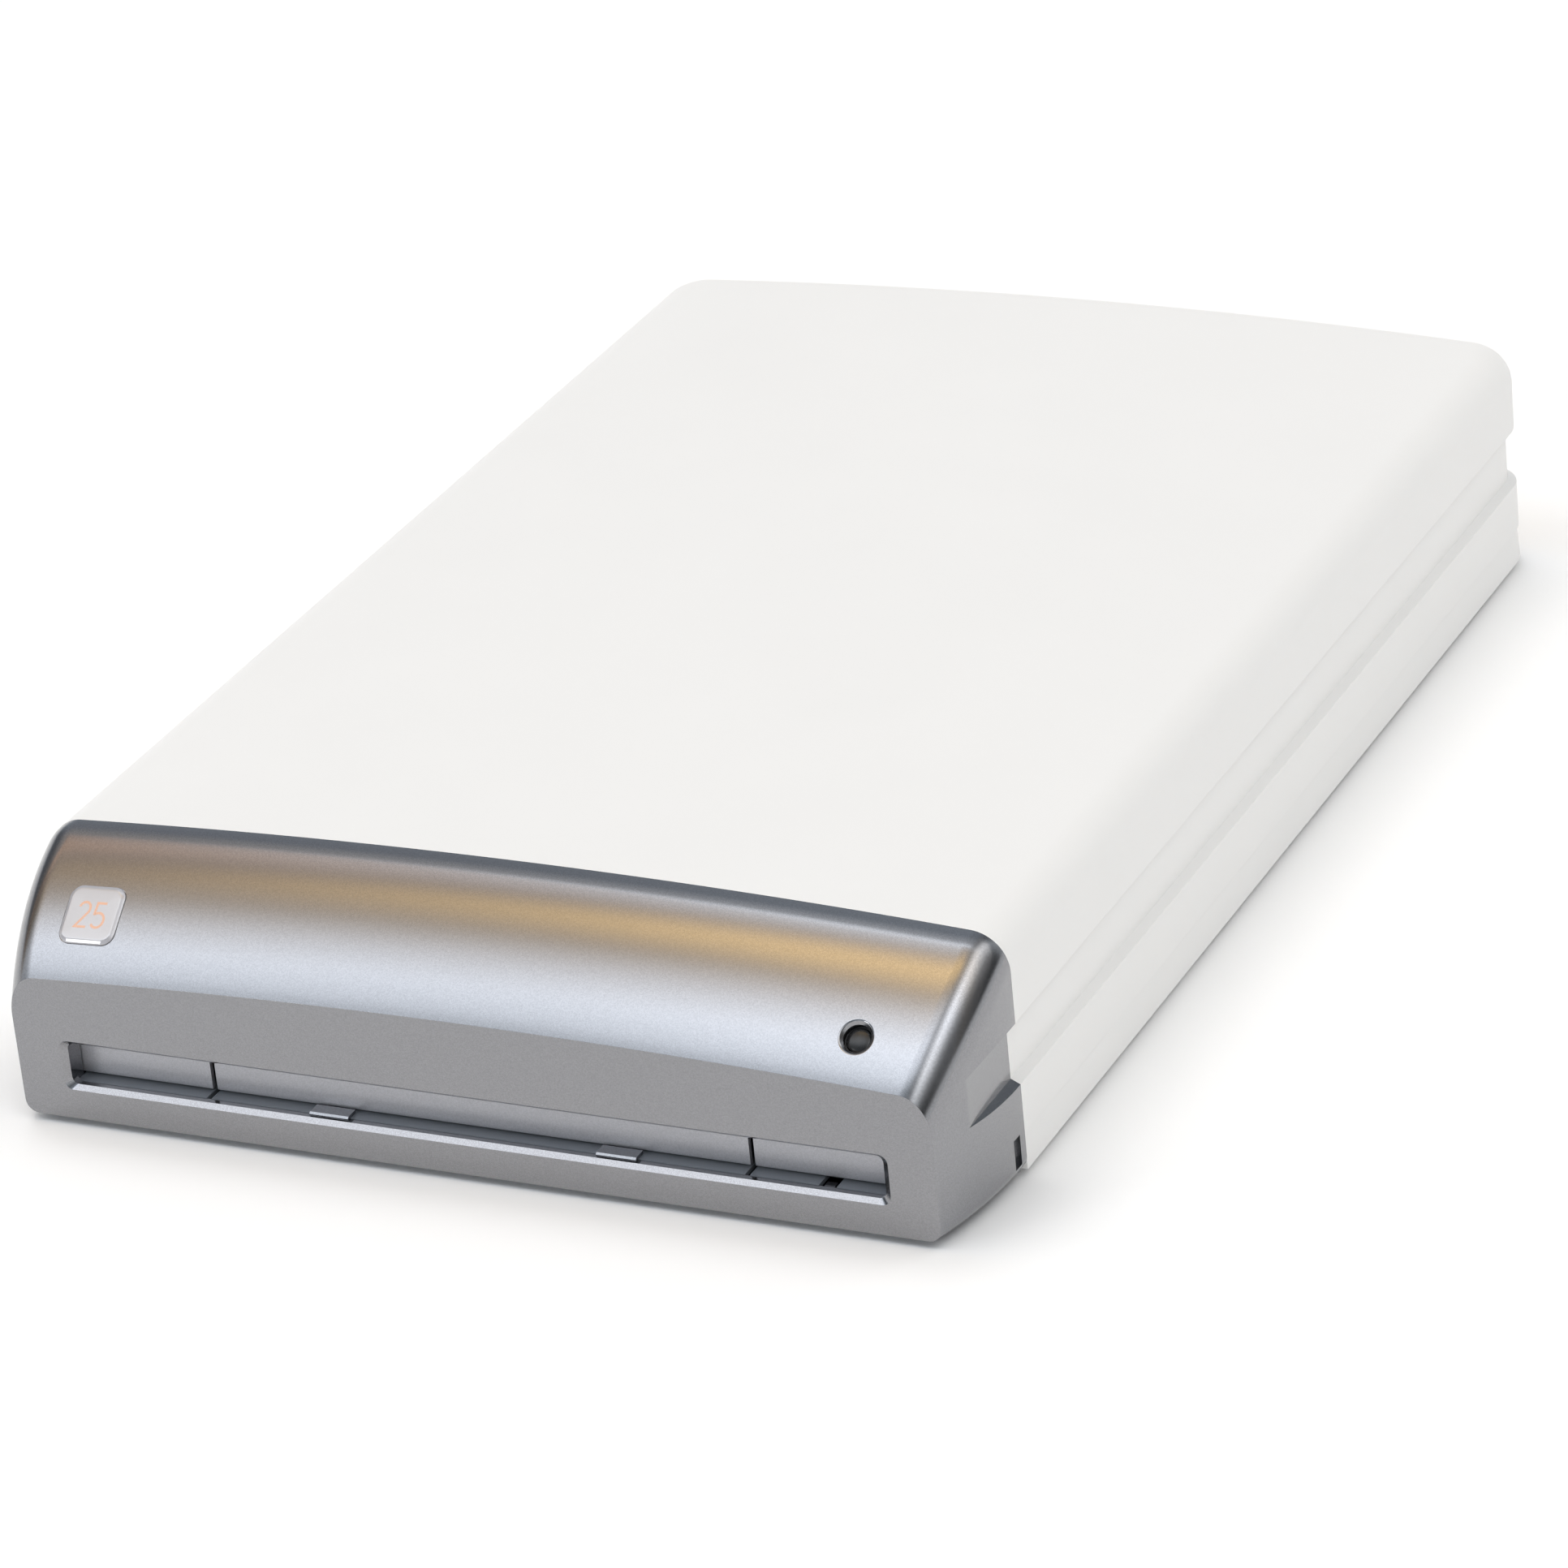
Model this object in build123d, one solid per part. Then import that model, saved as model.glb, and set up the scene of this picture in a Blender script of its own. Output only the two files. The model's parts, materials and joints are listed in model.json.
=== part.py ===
from build123d import *
import math
import os

# Phosphor plate scanner on a table. Millimetres, +Z up, the front faces -Y, and the
# origin is on the table under the middle of the machine. Widths follow the cassette's
# slot, the length follows the carriage's travel, and heights stack up from the feet.

# Shared values
MID_SHARE = 0.5
CUT_OVERRUN = 5.0
RUNNING_GAP = 0.05
WALL = 3.0

# Widths across the machine
SLOT_HALF_WIDTH = 195.5
SLOT_SIDE = 31.5
HALF_WIDTH = SLOT_HALF_WIDTH + SLOT_SIDE
CHEEK_SWEEP = 10.3
FASCIA_HALF_WIDTH = HALF_WIDTH - CHEEK_SWEEP
CHASSIS_INSET = 11.0
CHASSIS_HALF_WIDTH = HALF_WIDTH - CHASSIS_INSET
RAIL_INSET = 26.0
RAIL_X = CHASSIS_HALF_WIDTH - RAIL_INSET

# Lengths along the machine, from the bezel to the rear panel
BEZEL_DEPTH = 66.5
CHASSIS_LEAD = 22.0
RAIL_LEAD = 6.0
CARRIAGE_FRONT_ROOM = 26.0
CARRIAGE_TRAVEL = 430.0
CARRIAGE_REAR_ROOM = 22.0
DRIVE_ROOM = 34.0
BOARD_DEPTH = 110.0
PANEL_ROOM = 40.5
DEPTH = (BEZEL_DEPTH - CHASSIS_LEAD + RAIL_LEAD + CARRIAGE_FRONT_ROOM + CARRIAGE_TRAVEL
         + CARRIAGE_REAR_ROOM + DRIVE_ROOM + BOARD_DEPTH + PANEL_ROOM)
FRONT_Y = -MID_SHARE * DEPTH
REAR_Y = MID_SHARE * DEPTH
SEAM_Y = FRONT_Y + BEZEL_DEPTH
CHASSIS_FRONT_Y = SEAM_Y - CHASSIS_LEAD
RAIL_FRONT_Y = CHASSIS_FRONT_Y + RAIL_LEAD
CARRIAGE_Y = RAIL_FRONT_Y + CARRIAGE_FRONT_ROOM + CARRIAGE_TRAVEL
RAIL_REAR_Y = CARRIAGE_Y + CARRIAGE_REAR_ROOM

# Heights, from the table to the crown of the cover
FOOT_HEIGHT = 4.0
CHASSIS_SHEET = 2.0
BED_HEIGHT = 16.0
RAIL_RISE = 8.0
BEAM_RISE = 1.0
BEAM_HEIGHT = 12.0
BEAM_HEADROOM = 8.0
BENCH_SHEET = 4.0
OPTICS_RISE = 18.0
COVER_HEADROOM = 44.0
BODY_Z = FOOT_HEIGHT
FLOOR_Z = BODY_Z + WALL
CHASSIS_Z = FLOOR_Z + CHASSIS_SHEET
BED_TOP_Z = CHASSIS_Z + BED_HEIGHT
RAIL_Z = BED_TOP_Z + RAIL_RISE
BEAM_Z = (RAIL_Z + BEAM_RISE, RAIL_Z + BEAM_RISE + BEAM_HEIGHT)
CHASSIS_FLANGE_TOP = BEAM_Z[1] + BEAM_HEADROOM
BENCH_Z = (CHASSIS_FLANGE_TOP, CHASSIS_FLANGE_TOP + BENCH_SHEET)
LASER_LINE_Z = BENCH_Z[1] + OPTICS_RISE
TOP_Z = LASER_LINE_Z + COVER_HEADROOM

# Crown, edges and corners of the housing
CROWN_DROP = 7.2
EDGE_RADIUS = 17.5
REAR_CORNER_RADIUS = 24.0
CROWN_RADIUS = (HALF_WIDTH ** 2 + CROWN_DROP ** 2) / (2 * CROWN_DROP)
CROWN_AXIS_Z = TOP_Z - CROWN_RADIUS

# Side groove between the top cover and the lower case
GROOVE_DEPTH = 4.3
LEDGE_HEIGHT = 40.1
LEDGE_RISE = 2.1
GROOVE_HEIGHT = 22.1
LIP_RISE = 4.3
SKIRT_STEP = 1.0
SKIRT_HEIGHT = 17.0
LEDGE_LOW_Z = BODY_Z + LEDGE_HEIGHT
LEDGE_HIGH_Z = LEDGE_LOW_Z + LEDGE_RISE
PART_Z = LEDGE_HIGH_Z + GROOVE_HEIGHT
LIP_Z = PART_Z + LIP_RISE
SKIRT_Z = BODY_Z + SKIRT_HEIGHT

# Cassette slot in the fascia
SLOT_SILL = 14.1
SLOT_HEIGHT = 23.8
SLOT_CORNER = 4.5
SLOT_DRAFT = 2.4
SLOT_FLOOR_RISE = 1.1
SLOT_DEPTH = 6.5
COLLAR_WALL = 3.4
SLOT_LOW_Z = BODY_Z + SLOT_SILL
SLOT_HIGH_Z = SLOT_LOW_Z + SLOT_HEIGHT
SLOT_REAR_Y = FRONT_Y + SLOT_DEPTH

# Front bezel
FASCIA_HEADER = 34.9
FASCIA_TOP_Z = SLOT_HIGH_Z + FASCIA_HEADER
BROW_RADIUS = 25.0
BROW_ANGLE = 25.0
BEZEL_FOOT_RADIUS = 6.0
CHEEK_RADIUS = (BEZEL_DEPTH ** 2 + CHEEK_SWEEP ** 2) / (2 * CHEEK_SWEEP)
UPWARD_FACE_SHARE = 0.5
SIDEWAYS_FACE_SHARE = 0.75
SIDE_NOTCH_SETBACK = 8.0
SIDE_NOTCH_WIDTH = 6.0
SIDE_NOTCH_RISE = 5.0
SIDE_NOTCH_HEIGHT = 14.0
SIDE_NOTCH_DEPTH = 1.6

# Slot floor and guide tabs
FLOOR_SIDE_GAP = 0.5
FLOOR_STEP = 0.3
FLOOR_THICKNESS = 2.0
FLOOR_OVERHANG = 4.0
FLOOR_RIB = 2.0
FLOOR_RIB_SHARES = (-0.97, -0.5, 0.0, 0.5, 0.97)
SIDE_FLAP_WIDTH = 68.0
SLIT_WIDTH = 2.3
SLIT_SETBACK = 10.0
NOTCH_INSET = 31.5
NOTCH_WIDTH = 8.0
NOTCH_DEPTH = 11.0
TAB_X = 68.0
TAB_WIDTH = 18.6
TAB_LEAD = 2.4
TAB_LENGTH = 7.2
TAB_THICKNESS = 1.6
FLOOR_HALF_WIDTH = SLOT_HALF_WIDTH - SLOT_DRAFT - FLOOR_SIDE_GAP
FLOOR_TOP_Z = SLOT_LOW_Z + SLOT_FLOOR_RISE + FLOOR_STEP
FLOOR_REAR_Y = CHASSIS_FRONT_Y + FLOOR_OVERHANG
SLIT_X = SLOT_HALF_WIDTH - SIDE_FLAP_WIDTH
SLIT_REAR_Y = FLOOR_REAR_Y - SLIT_SETBACK
NOTCH_X = SLOT_HALF_WIDTH - NOTCH_INSET
TAB_FRONT_Y = SLOT_REAR_Y - TAB_LEAD
TAB_REAR_Y = TAB_FRONT_Y + TAB_LENGTH

# Shutter flaps on their hinge rod
FLAP_SETBACK = 6.0
FLAP_THICKNESS = 2.4
FLAP_FLOOR_GAP = 0.9
FLAP_END_GAP = 0.7
HINGE_SETBACK = 3.4
HINGE_RISE = 4.5
HINGE_ROD_RADIUS = 2.0
HINGE_BARREL_RADIUS = 3.6
LUG_THICKNESS = 1.5
LUG_RADIUS = 4.2
END_LUG_THICKNESS = 3.0
CARRIER_DEPTH = 18.0
CARRIER_GAP = 2.2
CARRIER_THICKNESS = 4.0
FLAP_FRONT_Y = SLOT_REAR_Y + FLAP_SETBACK
HINGE_Y = FLAP_FRONT_Y + HINGE_SETBACK
HINGE_Z = SLOT_HIGH_Z + HINGE_RISE
CARRIER_LOW_Z = HINGE_Z + HINGE_BARREL_RADIUS + CARRIER_GAP
CARRIER_Z = (CARRIER_LOW_Z, CARRIER_LOW_Z + CARRIER_THICKNESS)

# Status window and its board
WINDOW_INSET = 33.7
WINDOW_SETBACK = 22.5
WINDOW_SIZE = 27.5
WINDOW_CORNER = 6.0
WINDOW_POCKET = 1.4
WINDOW_GAP = 0.2
WINDOW_STAND = 1.2
WINDOW_EDGE = 0.9
DISPLAY_SIZE = 24.0
DISPLAY_THICKNESS = 1.6
DISPLAY_POST_RADIUS = 1.8
DISPLAY_POST_LENGTH = 3.0
WINDOW_X = WINDOW_INSET - FASCIA_HALF_WIDTH
WINDOW_Y = FRONT_Y + WINDOW_SETBACK

# Power button in its sleeve
BUTTON_INSET = 37.2
BUTTON_SETBACK = 15.0
BUTTON_RADIUS = 5.5
BUTTON_HOLE_GAP = 0.6
BUTTON_MOUTH_RIM = 1.4
BUTTON_MOUTH_DEPTH = 1.6
BUTTON_BOSS_RADIUS = 10.5
BUTTON_BOSS_DEPTH = 5.0
BUTTON_GAP = 0.3
BUTTON_SINK = 3.0
BUTTON_LENGTH = 7.0
BUTTON_DOME = 1.2
BUTTON_TRAVEL = 1.5
BUTTON_STEM_RADIUS = 1.6
BUTTON_STEM_LENGTH = 5.0
SLEEVE_FLANGE = 2.0
SLEEVE_WALL = 1.3
SLEEVE_FLOOR = 2.0
SLEEVE_SPRING_ROOM = 5.5
BUTTON_X = FASCIA_HALF_WIDTH - BUTTON_INSET
BUTTON_Y = FRONT_Y + BUTTON_SETBACK
BUTTON_HOLE_RADIUS = BUTTON_RADIUS + BUTTON_HOLE_GAP
BUTTON_MOUTH_RADIUS = BUTTON_HOLE_RADIUS + BUTTON_MOUTH_RIM
SLEEVE_FLOOR_DEPTH = BUTTON_SINK + BUTTON_LENGTH + BUTTON_TRAVEL + SLEEVE_SPRING_ROOM

# Cassette latch hook in front of the flaps, and its solenoid
HOOK_SIZE = 4.6
HOOK_FLAP_GAP = 0.7
HOOK_DROP = 0.9
HOOK_TRAVEL = 6.0
HOOK_NOSE = 1.5
HOOK_HOLD = 0.4
SOLENOID_WALL = 3.4
SOLENOID_GAP = 0.3
SOLENOID_BASE = 0.7
HOOK_Y = FLAP_FRONT_Y - HOOK_FLAP_GAP - MID_SHARE * HOOK_SIZE
HOOK_TOP_Z = FLOOR_TOP_Z - HOOK_DROP
HOOK_LOW_Z = FLOOR_Z + SOLENOID_BASE + SOLENOID_GAP
SOLENOID_TOP_Z = HOOK_LOW_Z + HOOK_TRAVEL + HOOK_HOLD

# Base chassis, folded from sheet
CHASSIS_FLANGE_TAIL = 4.0
CHASSIS_LIP = 12.0
CHASSIS_REAR_FLANGE = 4.0
CHASSIS_BEND = 3.0
CHASSIS_FAN_GAP = 1.0
CHASSIS_FLANGE_REAR_Y = RAIL_REAR_Y + CHASSIS_FLANGE_TAIL
VERTEX_MATCH = 0.5

# Rails and their brackets
RAIL_RADIUS = 4.0
RAIL_BRACKET = 8.0
RAIL_BRACKET_HALF_WIDTH = 6.5
RAIL_BRACKET_HEAD = 6.5

# Carriage with its bushes, gripper and belt clamp
BEAM_DEPTH = 24.0
BEAM_POCKET = 8.0
BEAM_POCKET_COUNT = 8
BEAM_WEB = 3.0
BUSH_RADIUS = 5.6
BUSH_BLOCK_HALF_WIDTH = 7.4
BUSH_BLOCK_WALL = 0.8
GRIPPER_INSET = 28.5
GRIPPER_REACH = 14.0
GRIPPER_LIFT = 1.0
GRIPPER_DEPTH = 16.0
GRIPPER_JAW = 2.4
GRIPPER_MOUTH = 1.6
CLAMP_WIDTH = 12.6
CLAMP_DEPTH = 14.0
CLAMP_WALL = 3.3
CLAMP_BELT_GAP = 0.4
BEAM_HALF_WIDTH = RAIL_X + BUSH_BLOCK_HALF_WIDTH
BUSH_BLOCK_LOW_Z = RAIL_Z - BUSH_RADIUS - BUSH_BLOCK_WALL
GRIPPER_Z = (BED_TOP_Z + GRIPPER_LIFT, BEAM_Z[0])

# Transport bed on its bearers, and the side guides
BED_SHEET = 2.0
BED_SIDE_GAP = 0.5
BED_LEAD = 12.0
BED_TAIL = 4.0
BEARER_WIDTH = 4.0
BEARER_SHARES = (-0.97, -0.5, 0.0, 0.5, 0.97)
GUIDE_SIDE_GAP = 0.6
GUIDE_WIDTH = 3.5
GUIDE_HEIGHT = 6.0
GUIDE_LEAD = 12.0
BED_HALF_WIDTH = RAIL_X - RAIL_BRACKET_HALF_WIDTH - BED_SIDE_GAP
BED_FRONT_Y = RAIL_FRONT_Y + BED_LEAD
BED_REAR_Y = RAIL_REAR_Y - BED_TAIL
GUIDE_OUTER_X = RAIL_X - BUSH_BLOCK_HALF_WIDTH - GUIDE_SIDE_GAP
GUIDE_INNER_X = GUIDE_OUTER_X - GUIDE_WIDTH
GRIPPER_HALF_WIDTH = GUIDE_INNER_X - GRIPPER_INSET

# Belt drive
BELT_SIDE_ROOM = 6.6
BELT_WIDTH = 6.0
BELT_THICKNESS = 1.4
BELT_GAP = 0.3
PULLEY_RADIUS = 9.0
PULLEY_RIM = 2.0
PULLEY_FLANGE = 1.2
PULLEY_SIDE_GAP = 0.4
SHAFT_RADIUS = 2.5
SHAFT_END_GAP = 0.4
MOTOR_SIZE = 42.0
MOTOR_LENGTH = 40.0
MOTOR_CORNER = 5.0
MOTOR_GAP = 2.0
MOTOR_FACE_GAP = 16.0
MOTOR_BOSS_RADIUS = 11.0
MOTOR_BOSS = 2.0
MOTOR_CAP_SHARE = 0.22
MOTOR_CAP_STEP = 1.0
IDLER_SETBACK = 8.0
IDLER_PIN_RADIUS = 3.0
IDLER_PLATE = 4.0
IDLER_PLATE_HEIGHT = 18.0
BELT_X = BEAM_HALF_WIDTH + BELT_SIDE_ROOM
PULLEY_Z = CHASSIS_Z + MID_SHARE * MOTOR_SIZE
PULLEY_FLANGE_RADIUS = PULLEY_RADIUS + PULLEY_RIM
DRIVE_Y = RAIL_REAR_Y + MOTOR_GAP + MID_SHARE * MOTOR_SIZE
IDLER_Y = RAIL_FRONT_Y + IDLER_SETBACK
MOTOR_FACE_X = BELT_X - MOTOR_FACE_GAP

# Home sensor beside the left rail
SENSOR_SIZE = 14.8
SENSOR_DEPTH = 7.0
SENSOR_HEIGHT = 24.0
SENSOR_GAP = 0.4
SENSOR_SLOT = 7.4

# Optics on the bench above the bed
BENCH_INSET = 3.0
BENCH_SEAM_GAP = 4.0
BENCH_TAIL = 32.0
BENCH_CORNER = 10.0
SCAN_SETBACK = 86.0
SCAN_SLIT_DEPTH = 14.0
SCAN_OVERSCAN = 1.5
POLYGON_TAIL = 80.0
POLYGON_FACE_COUNT = 8
POLYGON_RADIUS = 22.0
POLYGON_HEIGHT = 8.0
POLYGON_BASE_RADIUS = 26.0
POLYGON_SHAFT_RADIUS = 3.0
POLYGON_HUB_RADIUS = 9.0
POLYGON_HUB_HEIGHT = 4.0
SPIN_GAP = 0.5
LENS_HEIGHT = 14.0
LENS_WIDTHS = (96.0, 190.0)
LENS_SETBACKS = (50.0, 120.0)
LENS_DEPTH = 12.0
LENS_BOW = 9.0
LENS_BASE = 4.0
LASER_INSET = 63.0
LASER_BARREL_RADIUS = 8.0
LASER_BARREL_LENGTH = 30.0
LASER_BLOCK = (44.0, 36.0)
LASER_BLOCK_HEIGHT = 34.0
LASER_FIN_COUNT = 6
LASER_FIN_DEPTH = 8.0
FOLD_WIDTH = 26.0
FOLD_THICKNESS = 5.0
FOLD_ANGLE = 45.0
FOLD_BRACKET = 8.0
FOLD_BRACKET_DEPTH = 30.0
FOLD_BRACKET_RISE = 20.0
COLLECTOR_SETBACK = 22.0
COLLECTOR_THICKNESS = 6.0
COLLECTOR_DROP = 5.5
COLLECTOR_SHOULDER = 8.0
COLLECTOR_RISE = 16.0
COLLECTOR_NECK = 15.0
COLLECTOR_SLIT_GAP = 1.0
TUBE_RADIUS = 15.0
TUBE_RISE = 32.0
TUBE_LENGTH = 46.0
TUBE_BASE_RADIUS = 17.0
TUBE_BASE_LENGTH = 8.0
TUBE_FOOT = 12.0
LAMP_SETBACK = 52.0
LAMP_DEPTH = 16.0
LAMP_DROP = 5.5
LAMP_LENS_DROP = 1.6
LAMP_COUNT = 18
BENCH_HALF_WIDTH = CHASSIS_HALF_WIDTH - BENCH_INSET
BENCH_FRONT_Y = SEAM_Y + BENCH_SEAM_GAP
BENCH_REAR_Y = RAIL_REAR_Y - BENCH_TAIL
SCAN_Y = BENCH_FRONT_Y + SCAN_SETBACK
SCAN_HALF_WIDTH = GUIDE_INNER_X + SCAN_OVERSCAN
POLYGON_Y = BENCH_REAR_Y - POLYGON_TAIL
LENS_PLACES_Y = tuple(POLYGON_Y - setback for setback in LENS_SETBACKS)
LASER_X = LASER_INSET - BENCH_HALF_WIDTH
COLLECTOR_Y = SCAN_Y - COLLECTOR_SETBACK
TUBE_Z = BENCH_Z[1] + TUBE_RISE
LAMP_Y = SCAN_Y - LAMP_SETBACK
LAMP_LOW_Z = BENCH_Z[0] - LAMP_DROP

# Electronics at the rear
BOARD_INSET = 20.0
BOARD_WIDTH = 160.0
BOARD_THICKNESS = 1.6
STANDOFF_HEIGHT = 8.0
STANDOFF_RADIUS = 3.0
STANDOFF_INSET = 6.0
SUPPLY_LEFT_X = 10.0
SUPPLY_WIDTH = 108.0
SUPPLY_DEPTH = 100.0
SUPPLY_HEIGHT = 40.0
SUPPLY_SLOT_COUNT = 9
SUPPLY_SLOT_WIDTH = 3.0
SUPPLY_SLOT_DEPTH = 1.5
BOARD_LEFT_X = BOARD_INSET - CHASSIS_HALF_WIDTH
BOARD_X = (BOARD_LEFT_X, BOARD_LEFT_X + BOARD_WIDTH)
BOARD_Y = (RAIL_REAR_Y + DRIVE_ROOM, RAIL_REAR_Y + DRIVE_ROOM + BOARD_DEPTH)
BOARD_Z = CHASSIS_Z + STANDOFF_HEIGHT
SUPPLY_X = (SUPPLY_LEFT_X, SUPPLY_LEFT_X + SUPPLY_WIDTH)
SUPPLY_Y = (BOARD_Y[0], BOARD_Y[0] + SUPPLY_DEPTH)
SUPPLY_TOP_Z = CHASSIS_Z + SUPPLY_HEIGHT

# Each chip's place along and across the board, then its length, depth and height
CHIP_SHARES = ((0.30, 0.55), (0.62, 0.35), (0.62, 0.72), (0.14, 0.25), (0.86, 0.55))
CHIP_SIZES = ((34.0, 34.0, 10.0), (22.0, 22.0, 2.4), (26.0, 14.0, 2.4), (16.0, 30.0, 9.0), (12.0, 60.0, 8.0))

# Rear bay and its panel
BAY_HALF_WIDTH = 165.0
BAY_SILL = 6.0
BAY_LINTEL = 6.3
BAY_CORNER = 6.0
PANEL_THICKNESS = 2.0
PANEL_MARGIN = 5.0
PANEL_FLOOR_GAP = 0.3
SOCKET_RISE = 25.0
BAY_Z = (FLOOR_Z + BAY_SILL, PART_Z - BAY_LINTEL)
PANEL_REAR_Y = REAR_Y - GROOVE_DEPTH - WALL
PANEL_Y = (PANEL_REAR_Y - PANEL_THICKNESS, PANEL_REAR_Y)
SOCKET_Z = BAY_Z[0] + SOCKET_RISE

# Mains inlet
INLET_INSET = 53.0
INLET_SIZE = (30.0, 24.0)
INLET_CORNER = 2.0
INLET_FLANGE = (40.0, 30.0)
INLET_FLANGE_THICKNESS = 2.5
INLET_BODY_DEPTH = 22.0
INLET_CAVITY = (24.0, 16.5)
INLET_CAVITY_DEPTH = 15.0
INLET_CHAMFER = 4.5
PIN_SIZE = (2.0, 4.0)
PIN_LENGTH = 12.0
PIN_SPACING = 7.0
PIN_RISE = 4.0
INLET_X = BAY_HALF_WIDTH - INLET_INSET

# Mains rocker in its frame
ROCKER_SPACING = 40.0
ROCKER_FRAME_SIZE = (15.0, 21.0)
ROCKER_FRAME_WALL = 2.0
ROCKER_FRAME_FLANGE = 2.5
ROCKER_FRAME_DEPTH = 16.0
ROCKER_ANGLE = 8.0
ROCKER_SIDE_GAP = 0.5
ROCKER_END_GAP = 1.5
ROCKER_DEPTH = 7.0
ROCKER_HEEL = 3.0
ROCKER_PIN_RADIUS = 1.2
ROCKER_X = INLET_X - ROCKER_SPACING

# Data sockets
PORT_GAP = 52.0
PORT_SPACING = 24.0
PORT_COUNT = 2
PORT_SIZE = (16.0, 14.0)
PORT_WALL = 1.2
PORT_DEPTH = 18.0
PORT_PROUD = 0.8

# Fan, its guard and the vents beside it
FAN_INSET = 53.0
FAN_SIZE = 48.0
FAN_DEPTH = 14.0
FAN_CORNER = 5.0
FAN_RIM = 2.0
FAN_HUB_RADIUS = 9.5
FAN_BLADE_COUNT = 7
FAN_BLADE_THICKNESS = 1.2
FAN_BLADE_ANGLE = 38.0
FAN_TIP_GAP = 0.7
FAN_STRUT = 2.4
FAN_PIN_RADIUS = 1.5
GUARD_WIRE = 1.0
GUARD_RING_COUNT = 4
GUARD_SPOKE_ANGLES = (45.0, 135.0)
VENT_GAP = 23.0
VENT_COUNT = 6
VENT_SPACING = 6.0
VENT_SIZE = (2.6, 26.0)
VENT_CORNER_SHARE = 0.48
FAN_X = FAN_INSET - BAY_HALF_WIDTH
FAN_Z = CHASSIS_Z + MID_SHARE * FAN_SIZE
FAN_BORE_RADIUS = MID_SHARE * FAN_SIZE - FAN_RIM
FAN_Y = (PANEL_Y[0] - FAN_DEPTH, PANEL_Y[0])

# Feet, screws and cover bosses
FOOT_RADIUS = 11.0
FOOT_INSET = 39.0
FOOT_SETBACKS = (34.5, 38.5)
FOOT_SINK = 1.0
FOOT_CHAMFER = 1.2
SCREW_RADIUS = 2.0
SCREW_HEAD_RADIUS = 3.6
SCREW_HEAD = 2.0
SCREW_LENGTH = 9.0
SCREW_INSET = 37.0
SCREW_SETBACK = 28.0
SCREW_MIDDLE_Y = 40.0
COVER_BOSS_RADIUS = 4.5
COVER_BOSS_INSET = 10.0
COVER_BOSS_SETBACK = 18.0
FOOT_X = HALF_WIDTH - FOOT_INSET
FOOT_PLACES_Y = (FRONT_Y + FOOT_SETBACKS[0], REAR_Y - FOOT_SETBACKS[1])
SCREW_X = HALF_WIDTH - SCREW_INSET
SCREW_PLACES_Y = (SEAM_Y + SCREW_SETBACK, SCREW_MIDDLE_Y, -SEAM_Y - SCREW_SETBACK)
COVER_BOSS_X = CHASSIS_HALF_WIDTH - COVER_BOSS_INSET
COVER_BOSS_PLACES_Y = (BENCH_FRONT_Y + COVER_BOSS_SETBACK, BENCH_REAR_Y - COVER_BOSS_SETBACK)


def block(xs, ys, zs):
    """Solid block between three pairs of limits."""
    size = [max(pair) - min(pair) for pair in (xs, ys, zs)]
    middle = [MID_SHARE * (pair[0] + pair[1]) for pair in (xs, ys, zs)]
    return Pos(*middle) * Box(*size)


def slab(face_x, face_z, corner, ys, middle_x=0, middle_z=0):
    """Rounded rectangle in the XZ plane, standing between two Y limits."""
    sketch = Plane.XZ * RectangleRounded(face_x, face_z, corner)
    solid = extrude(sketch, amount=max(ys) - min(ys))
    return Pos(middle_x, max(ys), middle_z) * solid


def rod_x(start, end, radius, y, z):
    """Round bar along X."""
    return Pos(MID_SHARE * (start + end), y, z) * Rot(0, 90, 0) * Cylinder(radius, abs(end - start))


def rod_y(start, end, radius, x, z):
    """Round bar along Y."""
    return Pos(x, MID_SHARE * (start + end), z) * Rot(90, 0, 0) * Cylinder(radius, abs(end - start))


def rod_z(start, end, radius, x, y):
    """Round bar along Z."""
    return Pos(x, y, MID_SHARE * (start + end)) * Cylinder(radius, abs(end - start))


def both_sides(solid):
    """The solid and its mirror image across the machine's middle plane."""
    return solid + mirror(solid, Plane.YZ)


def plan_face(inset, z):
    """Outline of the white housing seen from above, with rounded rear corners.

    It runs past the seam in front, where the housing is cut square."""
    front = SEAM_Y - REAR_CORNER_RADIUS - CUT_OVERRUN
    rear = REAR_Y - inset
    outline = RectangleRounded(2 * (HALF_WIDTH - inset), rear - front, REAR_CORNER_RADIUS - inset)
    return Pos(0, MID_SHARE * (front + rear), z) * outline


def plan_block(inset, low, high):
    """Straight-sided block with the housing's plan outline."""
    return extrude(plan_face(inset, low), amount=high - low)


def plan_taper(low_inset, low, high_inset, high):
    """Sloping band between two plan outlines."""
    return loft([plan_face(low_inset, low), plan_face(high_inset, high)], ruled=True)


def behind_seam(solid):
    """Cuts the housing square at the seam with the bezel."""
    reach = 2 * (REAR_Y - FRONT_Y)
    keep = block((-HALF_WIDTH - CUT_OVERRUN, HALF_WIDTH + CUT_OVERRUN), (SEAM_Y, SEAM_Y + reach),
                 (-TOP_Z, 2 * TOP_Z))
    return solid & keep


def crown_prism(inset):
    """Everything below the crown of the cover, as a long prism along Y."""
    side = HALF_WIDTH + CUT_OVERRUN
    radius = CROWN_RADIUS - inset
    edge_z = CROWN_AXIS_Z + math.sqrt(radius ** 2 - side ** 2)
    low_z = -CUT_OVERRUN
    outline = Polyline((side, edge_z), (side, low_z), (-side, low_z), (-side, edge_z))
    arc = ThreePointArc((-side, edge_z), (0, TOP_Z - inset), (side, edge_z))
    reach = REAR_Y - FRONT_Y + 2 * REAR_CORNER_RADIUS
    prism = extrude(Plane.XZ * make_face([outline, arc]), amount=reach, both=True)
    return prism


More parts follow.
